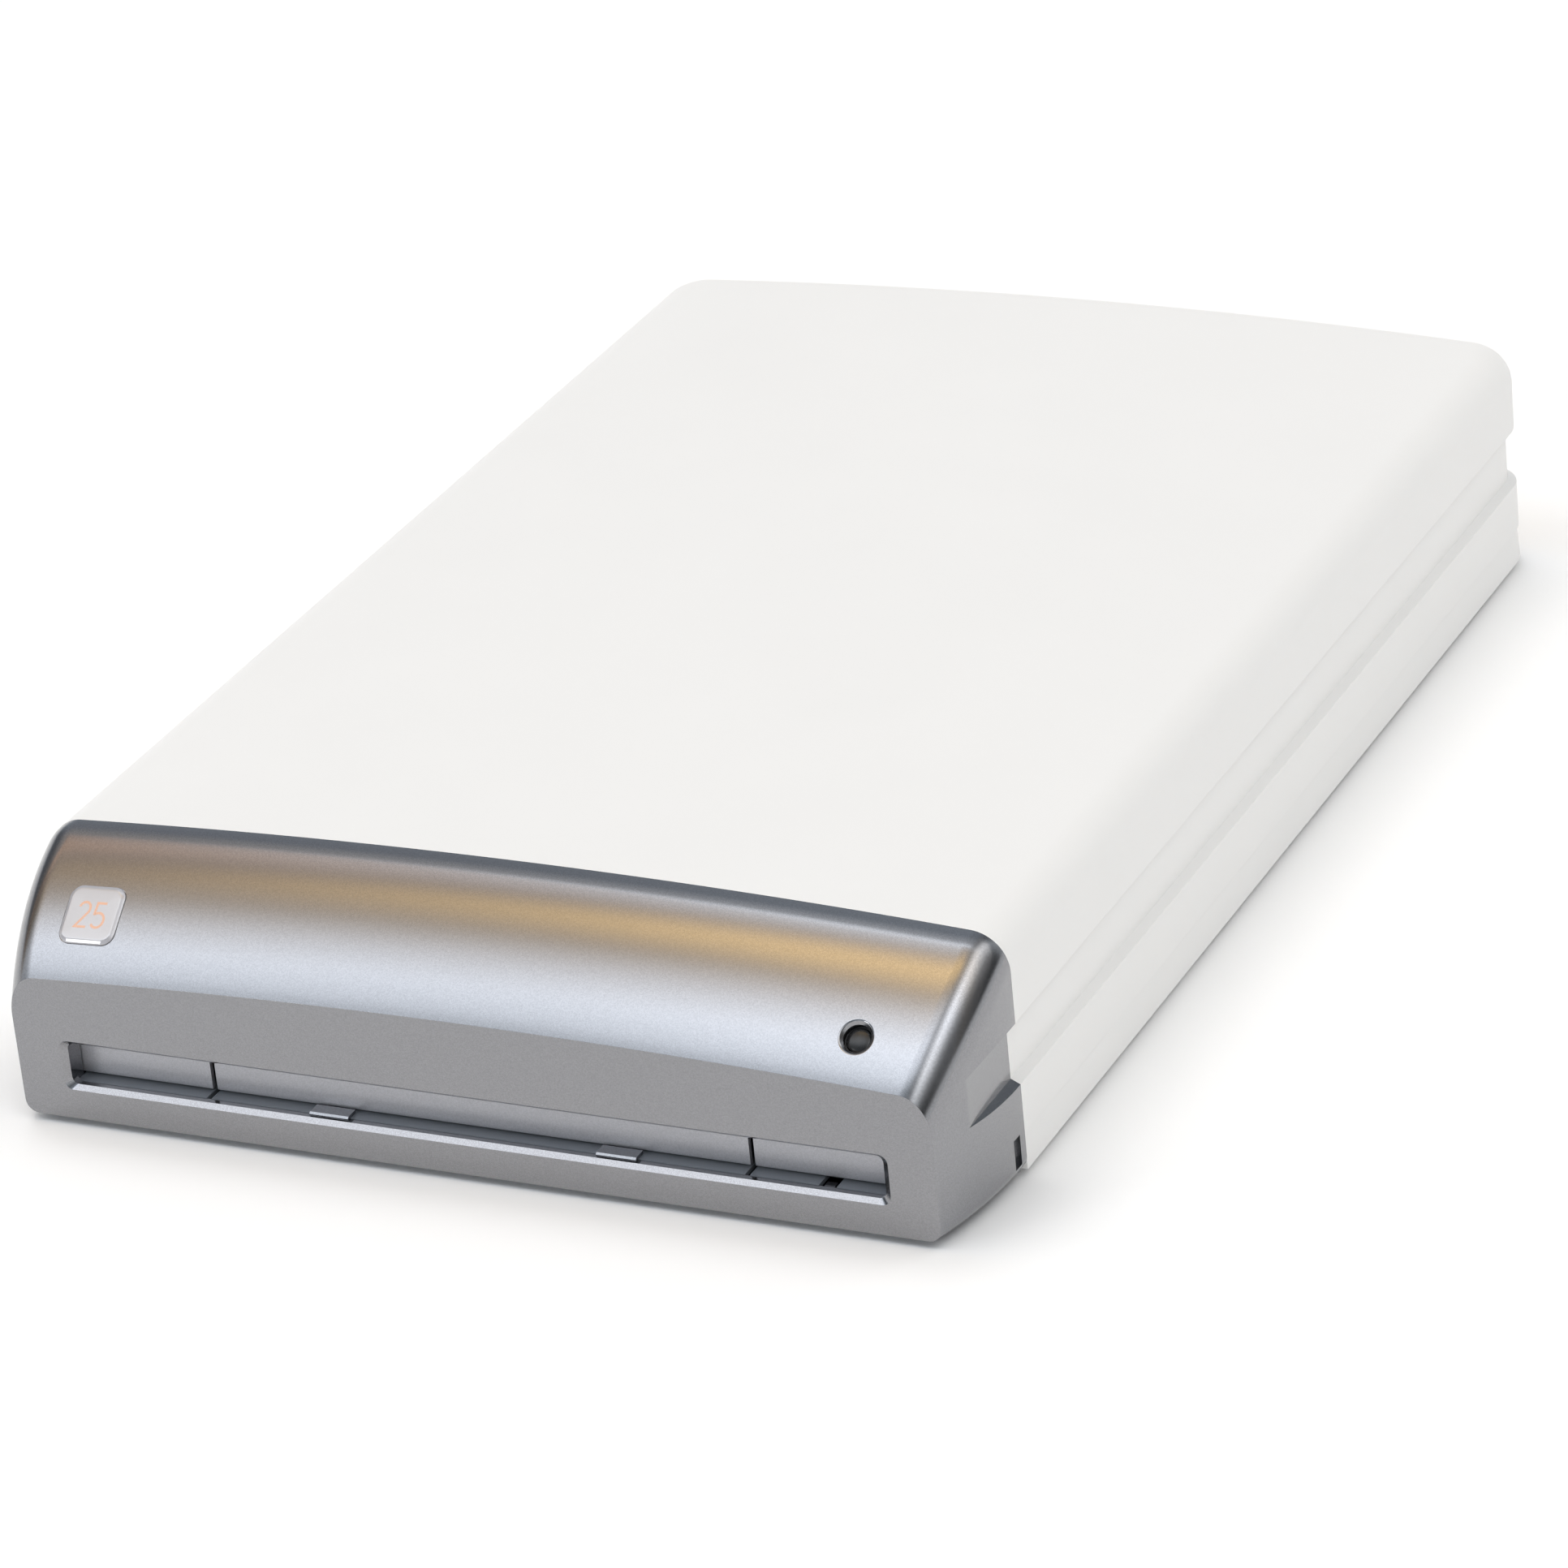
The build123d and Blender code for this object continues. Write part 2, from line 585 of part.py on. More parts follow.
def cover_form(inset):
    """Outside of the top cover, or its hollow when the inset is one wall."""
    foot = plan_taper(GROOVE_DEPTH + inset, PART_Z, inset, LIP_Z)
    body = plan_block(inset, LIP_Z, TOP_Z + CUT_OVERRUN) & crown_prism(inset)
    rim = body.faces().sort_by(Axis.Z)[-1].edges()
    body = fillet(rim, EDGE_RADIUS - inset)
    return behind_seam(foot + body)


def make_top_cover():
    """Crowned cover with four bosses that stand on the optics bench."""
    hollow = cover_form(WALL)
    shell = cover_form(0) - hollow
    bosses = Part()
    for place_y in COVER_BOSS_PLACES_Y:
        bosses += both_sides(rod_z(BENCH_Z[1], TOP_Z, COVER_BOSS_RADIUS, COVER_BOSS_X, place_y))
    bosses = bosses & cover_form(MID_SHARE * WALL)
    low_bosses = Part()
    for place_y in COVER_BOSS_PLACES_Y:
        low_bosses += both_sides(rod_z(BENCH_Z[1], LIP_Z + WALL, COVER_BOSS_RADIUS,
                                       COVER_BOSS_X, place_y))
    return shell + bosses + low_bosses


def case_form(inset):
    """Outside of the lower case, or its hollow when the inset is one wall."""
    floor = BODY_Z + inset
    skirt = plan_taper(inset, floor, SKIRT_STEP + inset, SKIRT_Z)
    side = plan_block(inset, SKIRT_Z, LEDGE_LOW_Z - inset)
    ledge = plan_taper(inset, LEDGE_LOW_Z - inset, GROOVE_DEPTH + inset, LEDGE_HIGH_Z - inset)
    top = PART_Z if inset == 0 else PART_Z + CUT_OVERRUN
    strip = plan_block(GROOVE_DEPTH + inset, LEDGE_HIGH_Z - inset, top)
    return behind_seam(skirt + side + ledge + strip)


def screw_places():
    """Where the case screws stand, as pairs of X and Y."""
    return [(side * SCREW_X, y) for y in SCREW_PLACES_Y for side in (-1, 1)]


def foot_places():
    """Where the rubber feet stand, as pairs of X and Y."""
    return [(side * FOOT_X, y) for y in FOOT_PLACES_Y for side in (-1, 1)]


def make_lower_case():
    """Open tray with the groove, the rear bay and holes for screws and rear feet."""
    tray = case_form(0) - case_form(WALL)
    bay_z = MID_SHARE * (BAY_Z[0] + BAY_Z[1])
    tray -= slab(2 * BAY_HALF_WIDTH, BAY_Z[1] - BAY_Z[0], BAY_CORNER,
                 (PANEL_Y[1], REAR_Y + CUT_OVERRUN), 0, bay_z)
    for x, y in screw_places():
        tray -= rod_z(BODY_Z - CUT_OVERRUN, FLOOR_Z + CUT_OVERRUN, SCREW_RADIUS, x, y)
        tray -= rod_z(BODY_Z - CUT_OVERRUN, BODY_Z + SCREW_HEAD, SCREW_HEAD_RADIUS, x, y)
    for x, y in foot_places():
        if y > SEAM_Y:
            tray -= rod_z(BODY_Z - CUT_OVERRUN, BODY_Z + FOOT_SINK, FOOT_RADIUS, x, y)
    return tray


def nose_arcs(inset):
    """Centre and radius of the long nose arc, and where the brow arc hands over to it."""
    angle = math.radians(BROW_ANGLE)
    normal = Vector(-math.sin(angle), math.cos(angle))
    brow_centre = Vector(SEAM_Y, TOP_Z - BROW_RADIUS)
    hand_over = brow_centre + normal * BROW_RADIUS
    fall = Vector(FRONT_Y, FASCIA_TOP_Z) - hand_over
    radius = -fall.dot(fall) / (2 * fall.dot(normal))
    centre = hand_over - normal * radius
    return brow_centre, hand_over - normal * inset, centre, radius - inset


def nose_point(y, inset=0):
    """Point of the nose on the middle plane, as Y and Z, and its outward direction."""
    centre, radius = nose_arcs(inset)[2:]
    rise = math.sqrt(radius ** 2 - (y - centre.X) ** 2)
    return (y, centre.Y + rise), Vector(0, (y - centre.X) / radius, rise / radius)


def nose_form(inset):
    """Everything under the nose, turned about the crown's axis so that it is crowned too."""
    brow_centre, hand_over, centre, radius = nose_arcs(inset)
    top = (SEAM_Y, TOP_Z - inset)
    brow_mid_angle = math.radians(MID_SHARE * BROW_ANGLE)
    brow_radius = BROW_RADIUS - inset
    brow_mid = (brow_centre.X - brow_radius * math.sin(brow_mid_angle),
                brow_centre.Y + brow_radius * math.cos(brow_mid_angle))
    front_y = FRONT_Y + inset
    front = nose_point(front_y, inset)[0]
    middle = nose_point(MID_SHARE * (hand_over.X + front_y), inset)[0]
    low_z = -2 * CROWN_DROP
    lines = Polyline(front, (front_y, low_z), (SEAM_Y, low_z), top)
    brow = ThreePointArc(top, brow_mid, (hand_over.X, hand_over.Y))
    nose = ThreePointArc((hand_over.X, hand_over.Y), middle, front)
    face = Plane.YZ * make_face([lines, brow, nose])
    axis = Axis((0, 0, CROWN_AXIS_Z), (0, 1, 0))
    half_turn = math.degrees(math.asin((HALF_WIDTH + CUT_OVERRUN) / (CROWN_RADIUS - TOP_Z)))
    return revolve(face.rotate(axis, -half_turn), axis, 2 * half_turn)


def cheek_x(y, inset):
    """Half width of the bezel at a depth, on the cheek's sweep."""
    radius = CHEEK_RADIUS - inset
    return HALF_WIDTH - CHEEK_RADIUS + math.sqrt(radius ** 2 - (y - SEAM_Y) ** 2)


def cheek_block(inset, low, high):
    """Block with the bezel's plan outline."""
    front_y = FRONT_Y + inset
    middle_y = MID_SHARE * (SEAM_Y + front_y)
    points = [(cheek_x(y, inset), y) for y in (SEAM_Y, middle_y, front_y)]
    mirrored = [(-x, y) for x, y in reversed(points)]
    outline = [ThreePointArc(*points), Line(points[-1], mirrored[0]),
               ThreePointArc(*mirrored), Line(mirrored[-1], points[0])]
    return Pos(0, 0, low) * extrude(make_face(outline), amount=high - low)


def bezel_form(inset):
    """Outside of the bezel, or its hollow when the inset is one wall."""
    solid = cheek_block(inset, BODY_Z + inset, TOP_Z + CUT_OVERRUN) & nose_form(inset)
    tops = solid.faces().filter_by(lambda f: f.normal_at().Z > UPWARD_FACE_SHARE)
    sides = solid.faces().filter_by(lambda f: abs(f.normal_at().X) > SIDEWAYS_FACE_SHARE)
    shared = [e for e in tops.edges() if any(e.is_same(s) for s in sides.edges())]
    solid = fillet(shared, EDGE_RADIUS - inset)
    low = solid.faces().sort_by(Axis.Z)[0].edges()
    sides = solid.faces().filter_by(lambda f: abs(f.normal_at().X) > SIDEWAYS_FACE_SHARE)
    shared = [e for e in low if any(e.is_same(s) for s in sides.edges())]
    return fillet(shared, BEZEL_FOOT_RADIUS - inset)


def slot_cut():
    """Drafted mouth of the slot: wide at the fascia, narrower at the collar's rear."""
    width = 2 * SLOT_HALF_WIDTH
    height = SLOT_HIGH_Z - SLOT_LOW_Z
    rise = SLOT_FLOOR_RISE
    middle_z = MID_SHARE * (SLOT_LOW_Z + SLOT_HIGH_Z)
    mouth = RectangleRounded(width, height, SLOT_CORNER)
    throat = RectangleRounded(width - 2 * SLOT_DRAFT, height - rise - SLOT_DRAFT,
                              SLOT_CORNER - MID_SHARE * SLOT_DRAFT)
    throat_z = middle_z + MID_SHARE * (rise - SLOT_DRAFT)
    near = Pos(0, FRONT_Y, middle_z) * (Plane.XZ * mouth)
    far = Pos(0, SLOT_REAR_Y, throat_z) * (Plane.XZ * throat)
    return loft([near, far], ruled=True)


def slot_collar():
    """Solid frame round the slot, behind the fascia."""
    width = 2 * (SLOT_HALF_WIDTH + COLLAR_WALL)
    height = SLOT_HIGH_Z - SLOT_LOW_Z + 2 * COLLAR_WALL
    middle_z = MID_SHARE * (SLOT_LOW_Z + SLOT_HIGH_Z)
    return slab(width, height, SLOT_CORNER + COLLAR_WALL, (FRONT_Y + MID_SHARE * WALL, SLOT_REAR_Y),
                0, middle_z)


def groove_prism(grow):
    """The side groove carried forward into the bezel's cheek, on the right.

    Grown by one wall, it is what the bezel's hollow leaves solid round the groove."""
    inner = HALF_WIDTH - GROOVE_DEPTH - grow
    outer = HALF_WIDTH + CUT_OVERRUN
    over = CUT_OVERRUN / GROOVE_DEPTH
    low = LEDGE_HIGH_Z - grow
    high = PART_Z + grow
    points = [(inner, low), (inner, high), (HALF_WIDTH - grow, LIP_Z + grow),
              (outer, LIP_Z + grow + over * (LIP_Z - PART_Z)),
              (outer, LEDGE_LOW_Z - grow - over * (LEDGE_HIGH_Z - LEDGE_LOW_Z)),
              (HALF_WIDTH - grow, LEDGE_LOW_Z - grow)]
    face = Plane.XZ * make_face(Polyline(*points, close=True))
    return Pos(0, SEAM_Y + CUT_OVERRUN, 0) * extrude(face, amount=BEZEL_DEPTH + 2 * CUT_OVERRUN)


def on_nose(solid, x, y):
    """Sets a piece that is built on +Z at the origin upright on the nose at X and Y."""
    (place_y, place_z), normal = nose_point(y)
    plane = Plane(origin=(0, place_y, place_z), x_dir=(1, 0, 0), z_dir=normal)
    turn = math.degrees(math.asin(x / (place_z - CROWN_AXIS_Z)))
    axis = Axis((0, 0, CROWN_AXIS_Z), (0, 1, 0))
    return (plane.location * solid).rotate(axis, turn)


def make_front_bezel():
    """Moulded bezel: nose, fascia, cheeks, slot collar, window pocket, button boss and mouth."""
    hollow = bezel_form(WALL) - both_sides(groove_prism(WALL))
    shell = bezel_form(0) - hollow
    collar = slot_collar()
    boss = on_nose(Pos(0, 0, -MID_SHARE * BUTTON_BOSS_DEPTH)
                   * Cylinder(BUTTON_BOSS_RADIUS, BUTTON_BOSS_DEPTH), BUTTON_X, BUTTON_Y)
    shell = shell + collar + (boss & bezel_form(MID_SHARE * WALL))
    shell -= slot_cut()
    shell -= both_sides(groove_prism(0))
    pocket = WINDOW_SIZE + 2 * WINDOW_GAP
    pocket = extrude(RectangleRounded(pocket, pocket, WINDOW_CORNER), amount=WINDOW_POCKET + CUT_OVERRUN)
    shell -= on_nose(Pos(0, 0, -WINDOW_POCKET) * pocket, WINDOW_X, WINDOW_Y)
    reach = BUTTON_BOSS_DEPTH + CUT_OVERRUN
    hole = Cylinder(BUTTON_HOLE_RADIUS, 2 * reach)
    over = BUTTON_MOUTH_RADIUS - BUTTON_HOLE_RADIUS
    mouth = Cone(BUTTON_HOLE_RADIUS, BUTTON_MOUTH_RADIUS + over, 2 * BUTTON_MOUTH_DEPTH)
    shell -= on_nose(hole + mouth, BUTTON_X, BUTTON_Y)
    notch_y = SEAM_Y - SIDE_NOTCH_SETBACK
    notch_z = BODY_Z + SIDE_NOTCH_RISE
    notch = block((HALF_WIDTH - SKIRT_STEP - SIDE_NOTCH_DEPTH, HALF_WIDTH + CUT_OVERRUN),
                  (notch_y - MID_SHARE * SIDE_NOTCH_WIDTH, notch_y + MID_SHARE * SIDE_NOTCH_WIDTH),
                  (notch_z, notch_z + SIDE_NOTCH_HEIGHT))
    shell -= both_sides(notch)
    for x, y in foot_places():
        if y < SEAM_Y:
            shell -= rod_z(BODY_Z - CUT_OVERRUN, BODY_Z + FOOT_SINK, FOOT_RADIUS, x, y)
    return shell


def make_slot_floor():
    """Ledge behind the collar with two slits, the latch notch and ribs down to the bezel."""
    plate = block((-FLOOR_HALF_WIDTH, FLOOR_HALF_WIDTH), (SLOT_REAR_Y, FLOOR_REAR_Y),
                  (FLOOR_TOP_Z - FLOOR_THICKNESS, FLOOR_TOP_Z))
    for share in FLOOR_RIB_SHARES:
        x = share * FLOOR_HALF_WIDTH
        plate += block((x - MID_SHARE * FLOOR_RIB, x + MID_SHARE * FLOOR_RIB),
                       (SLOT_REAR_Y + MID_SHARE * SLOT_DEPTH, CHASSIS_FRONT_Y - CHASSIS_SHEET),
                       (FLOOR_Z, FLOOR_TOP_Z - FLOOR_THICKNESS))
    slit = block((SLIT_X - MID_SHARE * SLIT_WIDTH, SLIT_X + MID_SHARE * SLIT_WIDTH),
                 (SLOT_REAR_Y - CUT_OVERRUN, SLIT_REAR_Y),
                 (FLOOR_TOP_Z - FLOOR_THICKNESS - CUT_OVERRUN, FLOOR_TOP_Z + CUT_OVERRUN))
    notch = block((NOTCH_X - MID_SHARE * NOTCH_WIDTH, NOTCH_X + MID_SHARE * NOTCH_WIDTH),
                  (SLOT_REAR_Y - CUT_OVERRUN, SLOT_REAR_Y + NOTCH_DEPTH),
                  (FLOOR_TOP_Z - FLOOR_THICKNESS - CUT_OVERRUN, FLOOR_TOP_Z + CUT_OVERRUN))
    return plate - both_sides(slit) - notch


def make_guide_tabs():
    """Two low tabs that lead the cassette over the floor's front edge."""
    tab = block((TAB_X - MID_SHARE * TAB_WIDTH, TAB_X + MID_SHARE * TAB_WIDTH), (TAB_FRONT_Y, TAB_REAR_Y),
                (FLOOR_TOP_Z, FLOOR_TOP_Z + TAB_THICKNESS))
    front = tab.edges().filter_by(Axis.X).group_by(Axis.Y)[0].sort_by(Axis.Z)[-1]
    tab = chamfer(front, MID_SHARE * TAB_THICKNESS)
    return both_sides(tab)


def flap_spans():
    """Left and right limits of the three flaps."""
    end = SLOT_HALF_WIDTH - SLOT_DRAFT - FLAP_END_GAP + COLLAR_WALL
    gap = MID_SHARE * SLIT_WIDTH
    return {"flap_left": (-end, -SLIT_X - gap), "flap_centre": (-SLIT_X + gap, SLIT_X - gap),
            "flap_right": (SLIT_X + gap, end)}


def make_flap(span):
    """Shutter flap: flat leaf with a stiffening rib and the hinge barrel, bored for the rod."""
    low_z = FLOOR_TOP_Z + FLAP_FLOOR_GAP
    leaf = block(span, (FLAP_FRONT_Y, FLAP_FRONT_Y + FLAP_THICKNESS), (low_z, HINGE_Z))
    foot = leaf.edges().filter_by(Axis.X).group_by(Axis.Z)[0]
    leaf = fillet(foot, MID_SHARE * MID_SHARE * FLAP_THICKNESS)
    rib_z = MID_SHARE * (low_z + HINGE_Z)
    leaf += block((span[0] + FLAP_THICKNESS, span[1] - FLAP_THICKNESS),
                  (FLAP_FRONT_Y + MID_SHARE * FLAP_THICKNESS, FLAP_FRONT_Y + 2 * FLAP_THICKNESS),
                  (rib_z, rib_z + FLAP_THICKNESS))
    leaf += rod_x(span[0], span[1], HINGE_BARREL_RADIUS, HINGE_Y, HINGE_Z)
    over = CUT_OVERRUN
    return leaf - rod_x(span[0] - over, span[1] + over, HINGE_ROD_RADIUS + RUNNING_GAP, HINGE_Y, HINGE_Z)


def lug_places():
    """Limits in X of the lugs that hold the hinge rod."""
    end = flap_spans()["flap_right"][1] + MID_SHARE * FLAP_END_GAP
    half = MID_SHARE * LUG_THICKNESS
    return [(-end - END_LUG_THICKNESS, -end), (-SLIT_X - half, -SLIT_X + half),
            (SLIT_X - half, SLIT_X + half), (end, end + END_LUG_THICKNESS)]


def make_flap_carrier():
    """Bar screwed behind the fascia, with four lugs for the hinge rod."""
    lugs = lug_places()
    bar = block((lugs[0][0], lugs[-1][1]), (FRONT_Y + WALL, FRONT_Y + WALL + CARRIER_DEPTH), CARRIER_Z)
    for lug in lugs:
        bar += rod_x(lug[0], lug[1], LUG_RADIUS, HINGE_Y, HINGE_Z)
        bar += block(lug, (HINGE_Y - LUG_RADIUS, HINGE_Y + LUG_RADIUS), (HINGE_Z, CARRIER_Z[0]))
    return bar - rod_x(lugs[0][0], lugs[-1][1] + CUT_OVERRUN, HINGE_ROD_RADIUS, HINGE_Y, HINGE_Z)


def make_flap_hinge_rod():
    """Steel rod through the lugs and the flaps' barrels."""
    lugs = lug_places()
    return rod_x(lugs[0][0], lugs[-1][1], HINGE_ROD_RADIUS, HINGE_Y, HINGE_Z)


def make_status_window():
    """Clear domed tile in its pocket on the nose."""
    height = WINDOW_POCKET + WINDOW_STAND
    tile = extrude(RectangleRounded(WINDOW_SIZE, WINDOW_SIZE, WINDOW_CORNER), amount=height)
    tile = fillet(tile.faces().sort_by(Axis.Z)[-1].edges(), WINDOW_EDGE)
    return on_nose(Pos(0, 0, -WINDOW_POCKET) * tile, WINDOW_X, WINDOW_Y)


def make_display_board():
    """Small board behind the window, on posts against the bezel's inside."""
    board = Box(DISPLAY_SIZE, DISPLAY_SIZE, DISPLAY_THICKNESS)
    drop = WALL + DISPLAY_POST_LENGTH + MID_SHARE * DISPLAY_THICKNESS
    board = Pos(0, 0, -drop) * board
    reach = MID_SHARE * DISPLAY_SIZE - DISPLAY_POST_RADIUS
    for x in (-reach, reach):
        for y in (-reach, reach):
            post = Cylinder(DISPLAY_POST_RADIUS, WALL + DISPLAY_POST_LENGTH)
            board += Pos(x, y, -MID_SHARE * (WALL + DISPLAY_POST_LENGTH)) * post
    return on_nose(board, WINDOW_X, WINDOW_Y) & bezel_form(WALL)


def down_from_nose(radius, top_depth, low_depth):
    """Cylinder between two depths under the nose surface."""
    return Pos(0, 0, -MID_SHARE * (top_depth + low_depth)) * Cylinder(radius, low_depth - top_depth)


def make_button_sleeve():
    """Flanged cup behind the boss that guides the button, with its switch inside the floor."""
    seat = BUTTON_BOSS_DEPTH
    floor = SLEEVE_FLOOR_DEPTH
    rear = floor + SLEEVE_FLOOR
    bore = BUTTON_RADIUS + BUTTON_GAP
    sleeve = down_from_nose(bore + SLEEVE_WALL, seat, rear)
    sleeve += down_from_nose(BUTTON_BOSS_RADIUS, seat, seat + SLEEVE_FLANGE)
    sleeve -= down_from_nose(bore, seat - CUT_OVERRUN, floor)
    sleeve -= down_from_nose(BUTTON_STEM_RADIUS + BUTTON_GAP, floor - CUT_OVERRUN, rear + CUT_OVERRUN)
    return on_nose(sleeve, BUTTON_X, BUTTON_Y)


def make_power_button():
    """Domed dark cap with a stem through the sleeve's floor."""
    low = BUTTON_SINK + BUTTON_LENGTH
    cap = down_from_nose(BUTTON_RADIUS, BUTTON_SINK, low)
    cap = fillet(cap.edges().group_by(Axis.Z)[-1], BUTTON_DOME)
    stem = down_from_nose(BUTTON_STEM_RADIUS, low, SLEEVE_FLOOR_DEPTH + BUTTON_STEM_LENGTH)
    return on_nose(cap + stem, BUTTON_X, BUTTON_Y)


def make_latch_hook():
    """Square pin under the notch that rises into the cassette's latch."""
    half = MID_SHARE * HOOK_SIZE
    pin = block((NOTCH_X - half, NOTCH_X + half), (HOOK_Y - half, HOOK_Y + half), (HOOK_LOW_Z, HOOK_TOP_Z))
    top = pin.edges().filter_by(Axis.X).group_by(Axis.Z)[-1].sort_by(Axis.Y)[0]
    return chamfer(top, HOOK_NOSE)


def make_latch_solenoid():
    """Coil body on the bezel's floor, with a square well for the hook."""
    well = MID_SHARE * HOOK_SIZE + SOLENOID_GAP
    half = well + SOLENOID_WALL
    body = block((NOTCH_X - half, NOTCH_X + half), (HOOK_Y - half, HOOK_Y + half), (FLOOR_Z, SOLENOID_TOP_Z))
    body = fillet(body.edges().filter_by(Axis.Z), SOLENOID_WALL)
    return body - block((NOTCH_X - well, NOTCH_X + well), (HOOK_Y - well, HOOK_Y + well),
                        (FLOOR_Z + SOLENOID_BASE, SOLENOID_TOP_Z + CUT_OVERRUN))


def make_base_chassis():
    """Folded sheet: floor, two side flanges with lips for the optics bench, low rear flange."""
    half = CHASSIS_HALF_WIDTH
    sheet = CHASSIS_SHEET
    side = [(0, FLOOR_Z), (half, FLOOR_Z), (half, CHASSIS_FLANGE_TOP),
            (half - CHASSIS_LIP, CHASSIS_FLANGE_TOP)]
    inner = [(half - CHASSIS_LIP, CHASSIS_FLANGE_TOP - sheet), (half - sheet, CHASSIS_FLANGE_TOP - sheet),
             (half - sheet, CHASSIS_Z), (0, CHASSIS_Z)]
    face = make_face(Polyline(*side, *inner, close=True))
    bends = [v for v in face.vertices() if v.X > half - sheet - VERTEX_MATCH]
    outer = [v for v in bends if v.X > half - MID_SHARE * sheet]
    inner_bends = [v for v in bends if v.X < half - MID_SHARE * sheet]
    face = fillet(outer, CHASSIS_BEND)
    inner_now = [v for v in face.vertices()
                 if any((v.center() - w.center()).length < VERTEX_MATCH for w in inner_bends)]
    face = fillet(inner_now, CHASSIS_BEND - sheet)
    length = CHASSIS_FLANGE_REAR_Y - CHASSIS_FRONT_Y
    flange = Pos(0, CHASSIS_FLANGE_REAR_Y, 0) * extrude(Plane.XZ * face, amount=length)
    rear_y = PANEL_Y[0]
    floor = block((0, half), (CHASSIS_FLANGE_REAR_Y, rear_y), (FLOOR_Z, CHASSIS_Z))
    flange_top = CHASSIS_Z + CHASSIS_REAR_FLANGE
    rear = block((0, half - REAR_CORNER_RADIUS), (rear_y - sheet, rear_y), (FLOOR_Z, flange_top))
    corner = floor.edges().filter_by(Axis.Z).sort_by(lambda e: e.center().X + e.center().Y)[-1]
    floor = fillet(corner, REAR_CORNER_RADIUS - GROOVE_DEPTH)
    right = flange + floor + rear
    chassis = both_sides(right)
    fan_half = MID_SHARE * FAN_SIZE + CHASSIS_FAN_GAP
    chassis -= block((FAN_X - fan_half, FAN_X + fan_half), (rear_y - sheet, rear_y),
                     (CHASSIS_Z, flange_top))
    for x, y in screw_places():
        chassis -= rod_z(FLOOR_Z - CUT_OVERRUN, CHASSIS_Z + CUT_OVERRUN, SCREW_RADIUS, x, y)
    return chassis


def make_transport_bed():
    """Flat bed sheet with a lead-in at its front edge."""
    half = BED_HALF_WIDTH
    plate = block((-half, half), (BED_FRONT_Y, BED_REAR_Y), (BED_TOP_Z - BED_SHEET, BED_TOP_Z))
    front = plate.edges().filter_by(Axis.X).group_by(Axis.Y)[0].sort_by(Axis.Z)[-1]
    return chamfer(front, MID_SHARE * BED_SHEET)


def make_bed_bearers():
    """Five long bars on the chassis that carry the bed."""
    bearers = Part()
    for share in BEARER_SHARES:
        x = share * BED_HALF_WIDTH
        bearers += block((x - MID_SHARE * BEARER_WIDTH, x + MID_SHARE * BEARER_WIDTH),
                         (BED_FRONT_Y + BEARER_WIDTH, BED_REAR_Y), (CHASSIS_Z, BED_TOP_Z - BED_SHEET))
    return bearers


def make_side_guides():
    """Two strips that keep the plate in the middle, flared at the front."""
    outer = GUIDE_OUTER_X
    front = BED_FRONT_Y + BED_SHEET
    points = [(GUIDE_INNER_X, front + GUIDE_LEAD), (GUIDE_INNER_X, BED_REAR_Y), (outer, BED_REAR_Y),
              (outer, front), (outer - MID_SHARE * GUIDE_WIDTH, front)]
    strip = Pos(0, 0, BED_TOP_Z) * extrude(make_face(Polyline(*points, close=True)), amount=GUIDE_HEIGHT)
    return both_sides(strip)


def make_guide_rails():
    """Two ground shafts for the carriage."""
    return both_sides(rod_y(RAIL_FRONT_Y, RAIL_REAR_Y, RAIL_RADIUS, RAIL_X, RAIL_Z))


def make_rail_brackets():
    """Four blocks on the chassis that hold the rail ends."""
    brackets = Part()
    half = RAIL_BRACKET_HALF_WIDTH
    for near, far in ((RAIL_FRONT_Y, RAIL_FRONT_Y + RAIL_BRACKET), (RAIL_REAR_Y - RAIL_BRACKET, RAIL_REAR_Y)):
        head = rod_y(near, far, RAIL_BRACKET_HEAD, RAIL_X, RAIL_Z)
        head += block((RAIL_X - half, RAIL_X + half), (near, far), (CHASSIS_Z, RAIL_Z))
        brackets += both_sides(head - rod_y(near - CUT_OVERRUN, far + CUT_OVERRUN, RAIL_RADIUS, RAIL_X, RAIL_Z))
    return brackets


def beam_limits():
    """Front and rear of the carriage beam at rest."""
    return CARRIAGE_Y - MID_SHARE * BEAM_DEPTH, CARRIAGE_Y + MID_SHARE * BEAM_DEPTH


def make_carriage_beam():
    """Cast beam with lightening pockets between webs, and a block round each rail."""
    near, far = beam_limits()
    beam = block((-BEAM_HALF_WIDTH, BEAM_HALF_WIDTH), (near, far), BEAM_Z)
    span = 2 * (RAIL_X - BUSH_BLOCK_HALF_WIDTH) / BEAM_POCKET_COUNT
    for index in range(BEAM_POCKET_COUNT):
        middle = (index + MID_SHARE - MID_SHARE * BEAM_POCKET_COUNT) * span
        half = MID_SHARE * (span - BEAM_WEB)
        beam -= block((middle - half, middle + half), (near + BEAM_WEB, far - BEAM_WEB),
                      (BEAM_Z[1] - BEAM_POCKET, BEAM_Z[1] + CUT_OVERRUN))
    half = BUSH_BLOCK_HALF_WIDTH
    low = block((RAIL_X - half, RAIL_X + half), (near, far), (BUSH_BLOCK_LOW_Z, BEAM_Z[1]))
    low = fillet(low.edges().filter_by(Axis.Y).group_by(Axis.Z)[0], MID_SHARE * BEAM_WEB)
    beam += both_sides(low)
    bore = rod_y(near - CUT_OVERRUN, far + CUT_OVERRUN, BUSH_RADIUS, RAIL_X, RAIL_Z)
    return beam - both_sides(bore)


